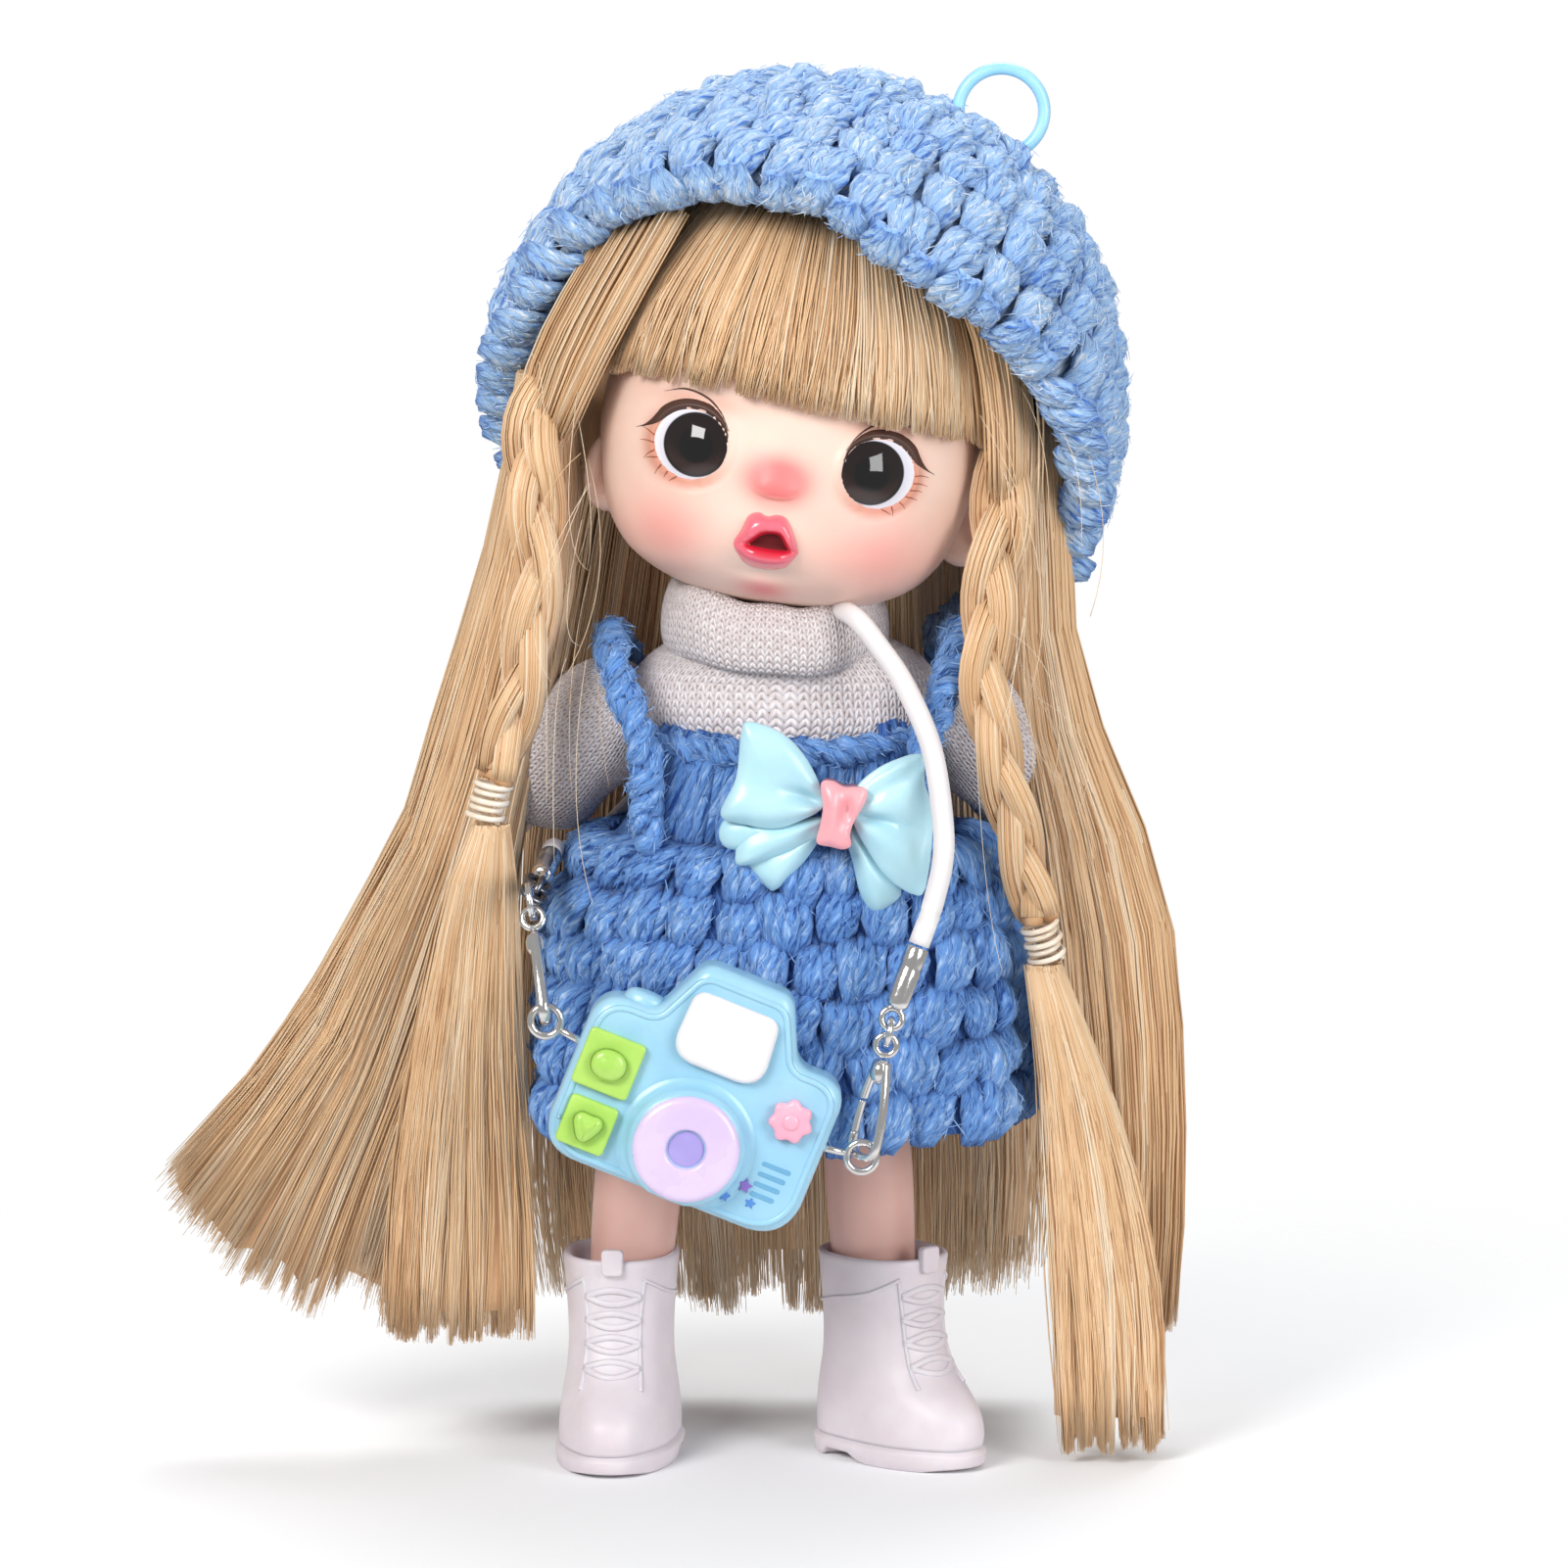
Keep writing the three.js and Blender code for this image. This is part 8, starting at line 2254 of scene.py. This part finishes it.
    def cord(self) -> Piece:
        """Makes the white cord between the ferrules, round the back of the neck."""
        start = self.front_top + self.front_way * self.gap
        end = self.rear_top + self.chain_way * self.gap
        lead = 2 * self.cord_radius
        knots = [start, start + self.front_way * lead, *np.array(self.route, float),
                 end + self.chain_way * lead, end]
        line = spline(knots, 150)
        mesh = Mesh()
        mesh.strands(line[None], self.cord_radius, 20, np.array([0.3, 0.2, 1.0]), turns=40)
        vinyl = Cast("cord_vinyl", srgb(236, 233, 233), srgb(228, 225, 227),
                     roughness=0.42, coat=0.1, glow=0.12)
        piece = mesh.build("strap_cord_white", vinyl.material())
        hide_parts("strap_cord")
        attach(piece, "torso")
        return piece

    def clip(self, name: str, eye: Array, rod: Array, degrees: float, nodes: tuple[str, str],
             bodies: tuple[str, str]) -> list[Piece]:
        """Makes a spring clip: a pear-shaped frame with a swivel eye, and its hinged gate."""
        way = unit(rod - eye)
        length = float(np.linalg.norm(rod - eye)) + self.clip_bar / 2
        swivel = np.array(Matrix.Rotation(math.radians(degrees), 3, Vector(way)))
        across = swivel @ unit(np.cross((0, 1, 0), way))
        face = unit(np.cross(way, across))
        inset = self.clip_bar / 2
        w, top, low = self.clip_width / 2 - inset, self.eye + inset * 2.2, length - inset
        flank = [(0.36 * w, top), (0.8 * w, 0.4 * length), (w, 0.55 * length), (w, low - 0.9 * w)]
        bow = [(w, low - 0.9 * w), (w, low - 0.2 * w), (0.5 * w, low), (0, low)]
        right = np.concatenate([bezier(flank, 26), bezier(bow, 26)])
        left = (right * (-1, 1))[::-1]
        loop = np.concatenate([[(0, top)], right, [(0, low)], left, [(0, top)]])
        gate_top, gate_end = 0.46 * length, 0.8 * length
        gate = (loop[:, 0] > 0) & (loop[:, 1] > gate_top) & (loop[:, 1] < gate_end)
        inner = (loop[:, 0] > 0) & (loop[:, 1] > gate_top + self.gap) & (loop[:, 1] < gate_end - self.gap)
        spot = lambda flat: eye + flat[:, :1] * across + flat[:, 1:] * way
        first, last = np.flatnonzero(gate)[[0, -1]]
        mesh = Mesh()
        for part in (loop[: first + 1], loop[last:]):
            self.bar(mesh, spot(spline(part, 60)), face)
        lobe = [(0.02, top - 0.35), (w * 0.42, top - 0.2), (w * 0.62, top + 0.7), (w * 0.5, top + 1.9),
                (0.02, top + 2.6)]
        self.turned_rod(mesh, eye, way, spline(lobe, 16), 20)
        self.ring(mesh, self.eye, eye, way, False)
        body = self.keep(mesh, f"{name}_body_steel", nodes[0], bodies[0])
        lever = Mesh()
        self.bar(lever, spot(spline(loop[inner], 30)), face, 0.86)
        return [body, self.keep(lever, f"{name}_gate_steel", nodes[1], bodies[1])]

    def bar(self, mesh: Mesh, path: Array, face: Array, scale: float = 1.0) -> None:
        """Adds a rounded bar along a path in the clip's plane."""
        mesh.strands(path[None], self.clip_bar * 0.5 * scale, 12, face, flat=self.clip_thick / self.clip_bar)

    def lugs(self) -> list[Piece]:
        """Makes the screw eyes beside the camera."""
        camera = ToyCamera()
        made = []
        for name, at, side, rise in (("front", self.front_lug, 1, 0.05), ("rear", self.rear_lug, -1, 0.1)):
            seat = camera.placed(np.array([camera.middle + side * camera.width * 0.3, 0,
                                           camera.height * rise]))
            centre = np.array(at, float)
            way = unit(seat - centre)
            mesh = Mesh()
            self.hoop(mesh, self.lug_ring, centre, np.array([0, 1.0, 0]), self.wire * 1.1)
            self.turned_rod(mesh, centre + way * self.lug_ring, way,
                            [(0.02, 0), (0.4, 0.05), (0.42, 2), (0.42, self.lug_shank)])
            made.append(self.keep(mesh, f"{name}_lug_steel", f"{name}_lug", "camera"))
        return made


@dataclass
class Bow:
    """Cast resin bow of pleated petals with a pinched knot, sewn to the bib."""

    at: Point = (6.8, 0.0, 80.3)
    back: float = -15.2

    def build(self) -> list[Piece]:
        """Makes the petals and the knot."""
        bow = Mesh()
        fold = lambda a, at, wide: np.exp(-(((a - at) / wide) ** 2))
        polar = lambda x, z: (np.arctan2(z - 0.3, np.abs(x) + 0.2), np.hypot(x, z))

        def left_upper(x: Array, z: Array) -> Array:
            """Relief of the large left petal."""
            a, r = polar(x, z)
            swell = 0.75 * fold(a, 0.0, 0.2) + 0.5 * fold(a, 0.85, 0.3)
            return swell - 1.5 * fold(a, 0.36, 0.17) * fold(r, 4.6, 2.4)

        def right_upper(x: Array, z: Array) -> Array:
            """Relief of the right petal with its folded rim."""
            a, r = polar(x, z)
            rim = 0.7 * fold(a, 0.66, 0.07) - 0.4 * fold(a, 0.53, 0.06)
            valley = 1.1 * fold(a, -0.24, 0.14) * fold(r, 4, 3.5)
            return rim + 0.6 * fold(a, 0.18, 0.2) - valley + 0.5 * fold(a, -0.6, 0.2)

        pleat = lambda at: lambda x, z: 0.6 * fold(polar(x, z)[0], at, 0.14)
        petals = (
            (-17.4, pleat(-0.2),
             ((-2.3, -1.0), (-5, -2.2), (-9, -2.3), (-13.2, -0.8), (-14.4, -2.7), (-13.1, -4.4), (-9, -4))),
            (-17.9, pleat(-0.42),
             ((-2.3, -0.6), (-7, -1.2), (-11.2, -1.3), (-12.5, -5.2), (-11.5, -6.3), (-7, -4.9), (-3.1, -3.2))),
            (-17.0, pleat(-0.75),
             ((-2.2, -1.6), (-6, -3.4), (-11, -5.6), (-8.8, -9.0), (-7.5, -9.1), (-5.1, -6.7), (-3.2, -4.2))),
            (-19.2, left_upper,
             ((-2.2, 0.9), (-2.8, 3.8), (-4.7, 7.2), (-7.3, 9.6), (-10.9, 10.8), (-11.8, 9.4), (-12.4, 4.2),
              (-14.2, -0.1), (-11.1, -1.3), (-7.8, -1.7), (-5.1, -0.9))),
            (-17.0, pleat(-1.15),
             ((0.3, -2.5), (1.2, -6), (2.2, -10), (3.8, -11.9), (5.3, -11.3), (6.9, -9.3), (4.2, -5.6),
              (1.6, -1.5))),
            (-18.9, right_upper,
             ((1.2, -0.8), (1.5, 2.8), (3.8, 5.1), (6.7, 6.5), (8.9, 7.0), (9.5, 6.2), (9.6, 3.5), (10.4, 0.7),
              (10.4, -3.8), (9.6, -9.0), (8.2, -9.5), (5.5, -7.8), (3.3, -4.9))),
        )
        for front, relief, knots in petals:
            self.petal(bow, knots, front, relief)
        resin = Cast("bow_resin", srgb(188, 228, 238), srgb(174, 218, 231),
                     roughness=0.3, coat=0.3, glow=0.12)
        piece = bow.build("bow_cast", resin.material())
        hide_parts("bow")
        return [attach(piece, "torso"), self.knot()]

    def knot(self) -> Piece:
        """Makes the pink knot with its crossing crease."""
        mesh = Mesh()
        spot = lambda x, z, cx, cz, rx, rz: np.exp(-(((x - cx) / rx) ** 2) - ((z - cz) / rz) ** 2)
        relief = lambda x, z: (0.5 * spot(x, z, -1.2, 0.5, 0.9, 4)
                               + 0.45 * spot(x + z * 0.4, z, 1.9, 1.4, 0.6, 2.4)
                               - 1.3 * spot(x - z * 0.25, z, 0.35, 0.8, 0.75, 1.6))
        self.petal(mesh, ((-2.5, 3.8), (-1.2, 4.1), (0.2, 3.4), (1.4, 3.4), (2.7, 3.2), (2.8, 2.2),
                          (2.2, 0.8), (1.2, -1), (0.9, -2.2), (1.0, -3.4), (0.1, -3.9), (-1.4, -3.6),
                          (-3, -3.1), (-2.6, -1), (-2.3, 1)), -21.0, relief)
        resin = Cast("knot_resin", srgb(254, 184, 188), srgb(248, 168, 176),
                     roughness=0.3, coat=0.3, glow=0.12)
        piece = mesh.build("bow_knot_cast", resin.material())
        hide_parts("bow_knot")
        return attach(piece, "torso")

    def petal(self, mesh: Mesh, knots: Sequence[Flat], front: float,
              relief: Callable[[Array, Array], Array]) -> None:
        """Adds a flat-backed petal with a swelling, pleated front.

        Args:
            mesh: mesh that takes the petal.
            knots: outline (x, z) about the knot's middle.
            front: y of the front before its swell.
            relief: height of the pleats at (x, z).
        """
        ends = np.array(list(knots) + list(knots[:3]), float)
        smooth = spline(ends, 260)
        start = np.argmin(np.linalg.norm(smooth[:60] - ends[1], axis=1))
        stop = len(smooth) - 60 + np.argmin(np.linalg.norm(smooth[-60:] - ends[-2], axis=1))
        edge = spline(smooth[start:stop], 121)[:-1]
        hub = edge.mean(0)
        rings = []
        for share in (0.02, 0.15, 0.3, 0.45, 0.6, 0.72, 0.82, 0.9, 0.95, 0.98, 1.0):
            flat = hub + (edge - hub) * share
            swell_here = (1 - share**6) * (relief(flat[:, 0], flat[:, 1]) + 0.5 * (1 - share**2))
            rings.append(np.stack([flat[:, 0], front - swell_here + 0.5 * share**10, flat[:, 1]], 1))
        for share, y in ((1.0, front + 1.1), (0.97, front + 1.5), (0.9, self.back), (0.4, self.back)):
            flat = hub + (edge - hub) * share
            rings.append(np.stack([flat[:, 0], np.full(len(flat), y), flat[:, 1]], 1))
        points = np.array(rings) + np.array(self.at)
        turns_left = np.cross(edge[10] - edge[0], edge[40] - edge[0]) > 0
        mesh.grid(points if turns_left else points[:, ::-1])


@dataclass
class Stage:
    """Camera, pale floor and soft studio light."""

    target: Point = (0.0, 0.0, 81.2)
    elevation: float = 8.0
    distance: float = 900.0
    focal: float = 174.0
    sensor: float = 36.0
    floor_size: float = 1.2
    lamp_aim: Point = (0, 0, 85)
    backdrop: Colour = srgb(246, 247, 249)
    sky: float = 0.42

    def build(self) -> None:
        """Sets up everything that isn't the object."""
        scene = bpy.context.scene
        scene.view_settings.view_transform = "Standard"
        self.camera(scene)
        self.floor()
        self.world(scene)
        self.lamp("key_light", (-330, -480, 420), (300, 260), 3.3, (1.0, 0.98, 0.96))
        self.lamp("fill_light", (420, -420, 220), (260, 340), 1.9, (0.98, 0.99, 1.0))
        self.lamp("top_light", (60, 260, 520), (300, 300), 1.6, (1.0, 1.0, 1.0))

    def camera(self, scene: bpy.types.Scene) -> None:
        """Places the camera where the photograph was taken from."""
        data = bpy.data.cameras.new("photo_camera")
        data.lens = self.focal
        data.sensor_width = self.sensor
        data.clip_start = 0.05
        made = bpy.data.objects.new("photo_camera", data)
        rise = math.radians(self.elevation)
        aim = Vector(row(self.target))
        made.location = aim + Vector((0, -math.cos(rise), math.sin(rise))) * self.distance * MM
        made.rotation_euler = (aim - made.location).to_track_quat("-Z", "Y").to_euler()
        scene.collection.objects.link(made)
        scene.camera = made

    def floor(self) -> None:
        """Makes a flat floor that fades out towards the backdrop."""
        bpy.ops.object.select_all(action="DESELECT")
        bpy.ops.mesh.primitive_plane_add(size=self.floor_size, location=(0, 0, 0))
        piece = bpy.context.object
        piece.name = "studio_floor"
        g = Graph("floor_paper")
        grain = g.noise(g.place(), 900.0, 2.0)
        colour = g.mix(grain, tuple(c * 0.985 for c in self.backdrop), self.backdrop)
        far = g.node("ShaderNodeVectorMath", {"operation": "LENGTH"}, {0: g.place()}, "Value")
        piece.data.materials.append(g.finish(base_color=colour, roughness=0.9, specular_ior_level=0.1,
                                             alpha=far.ramp(0.2, 0.07)))

    def world(self, scene: bpy.types.Scene) -> None:
        """Gives a soft even sky."""
        world = bpy.data.worlds.new("studio_sky")
        scene.world = world
        world.use_nodes = True
        tree = world.node_tree
        back = tree.nodes["Background"]
        seen = tree.nodes.new("ShaderNodeLightPath")
        level = tree.nodes.new("ShaderNodeMapRange")
        level.inputs[3].default_value = self.sky
        tree.links.new(seen.outputs["Is Camera Ray"], level.inputs[0])
        tree.links.new(level.outputs[0], back.inputs[1])
        back.inputs[0].default_value = (1.0, 1.0, 1.0, 1)

    def lamp(self, name: str, place: Sequence[float], size: Flat, power: float, colour: Colour) -> None:
        """Adds a rectangular lamp that points at the doll.

        Args:
            name: the lamp's name.
            place: its place in the doll's frame, in millimetres.
            size: width and height, in millimetres.
            power: watts.
            colour: tint of its light.
        """
        data = bpy.data.lights.new(name, "AREA")
        data.shape = "RECTANGLE"
        data.size, data.size_y = size[0] * MM, size[1] * MM
        data.energy = power
        data.color = colour
        made = bpy.data.objects.new(name, data)
        made.location = row(place)
        aim = Vector(row(self.lamp_aim))
        made.rotation_euler = (aim - made.location).to_track_quat("-Z", "Y").to_euler()
        bpy.context.scene.collection.objects.link(made)


def report(pieces: Iterable[Piece]) -> None:
    """Logs each piece with its face count."""
    for piece in pieces:
        LOG.info("%s: %d faces", piece.name, len(piece.data.polygons))


def main() -> None:
    """Builds the stage and every sub-assembly in order."""
    logging.basicConfig(level=logging.INFO)
    Stage().build()
    hairdo = Hairdo()
    report(Hat().build())
    report(hairdo.build())
    report([hairdo.fringe()])
    report(Head(HeadForm()).build())
    report(Sweater().build())
    report(Dress().build())
    report(Boot(Side.RIGHT, hip=(-15, 2, 62), ankle=(-19.5, 2, 9), toe_turn=-6).build())
    report(Boot(Side.LEFT, hip=(8.5, 2, 62), ankle=(11.6, 2, 9), toe_turn=41).build())
    report(Arm(Side.RIGHT).build() + Arm(Side.LEFT).build())
    hidden = [f"{side.label}_{part}" for part in ("upper_arm", "thigh", "foot") for side in Side]
    dress_nodes(("torso", "neck_ball", *hidden))
    report(ToyCamera().build())
    report(Strap().build())
    report(Bow().build())


if __name__ == "__main__":
    main()
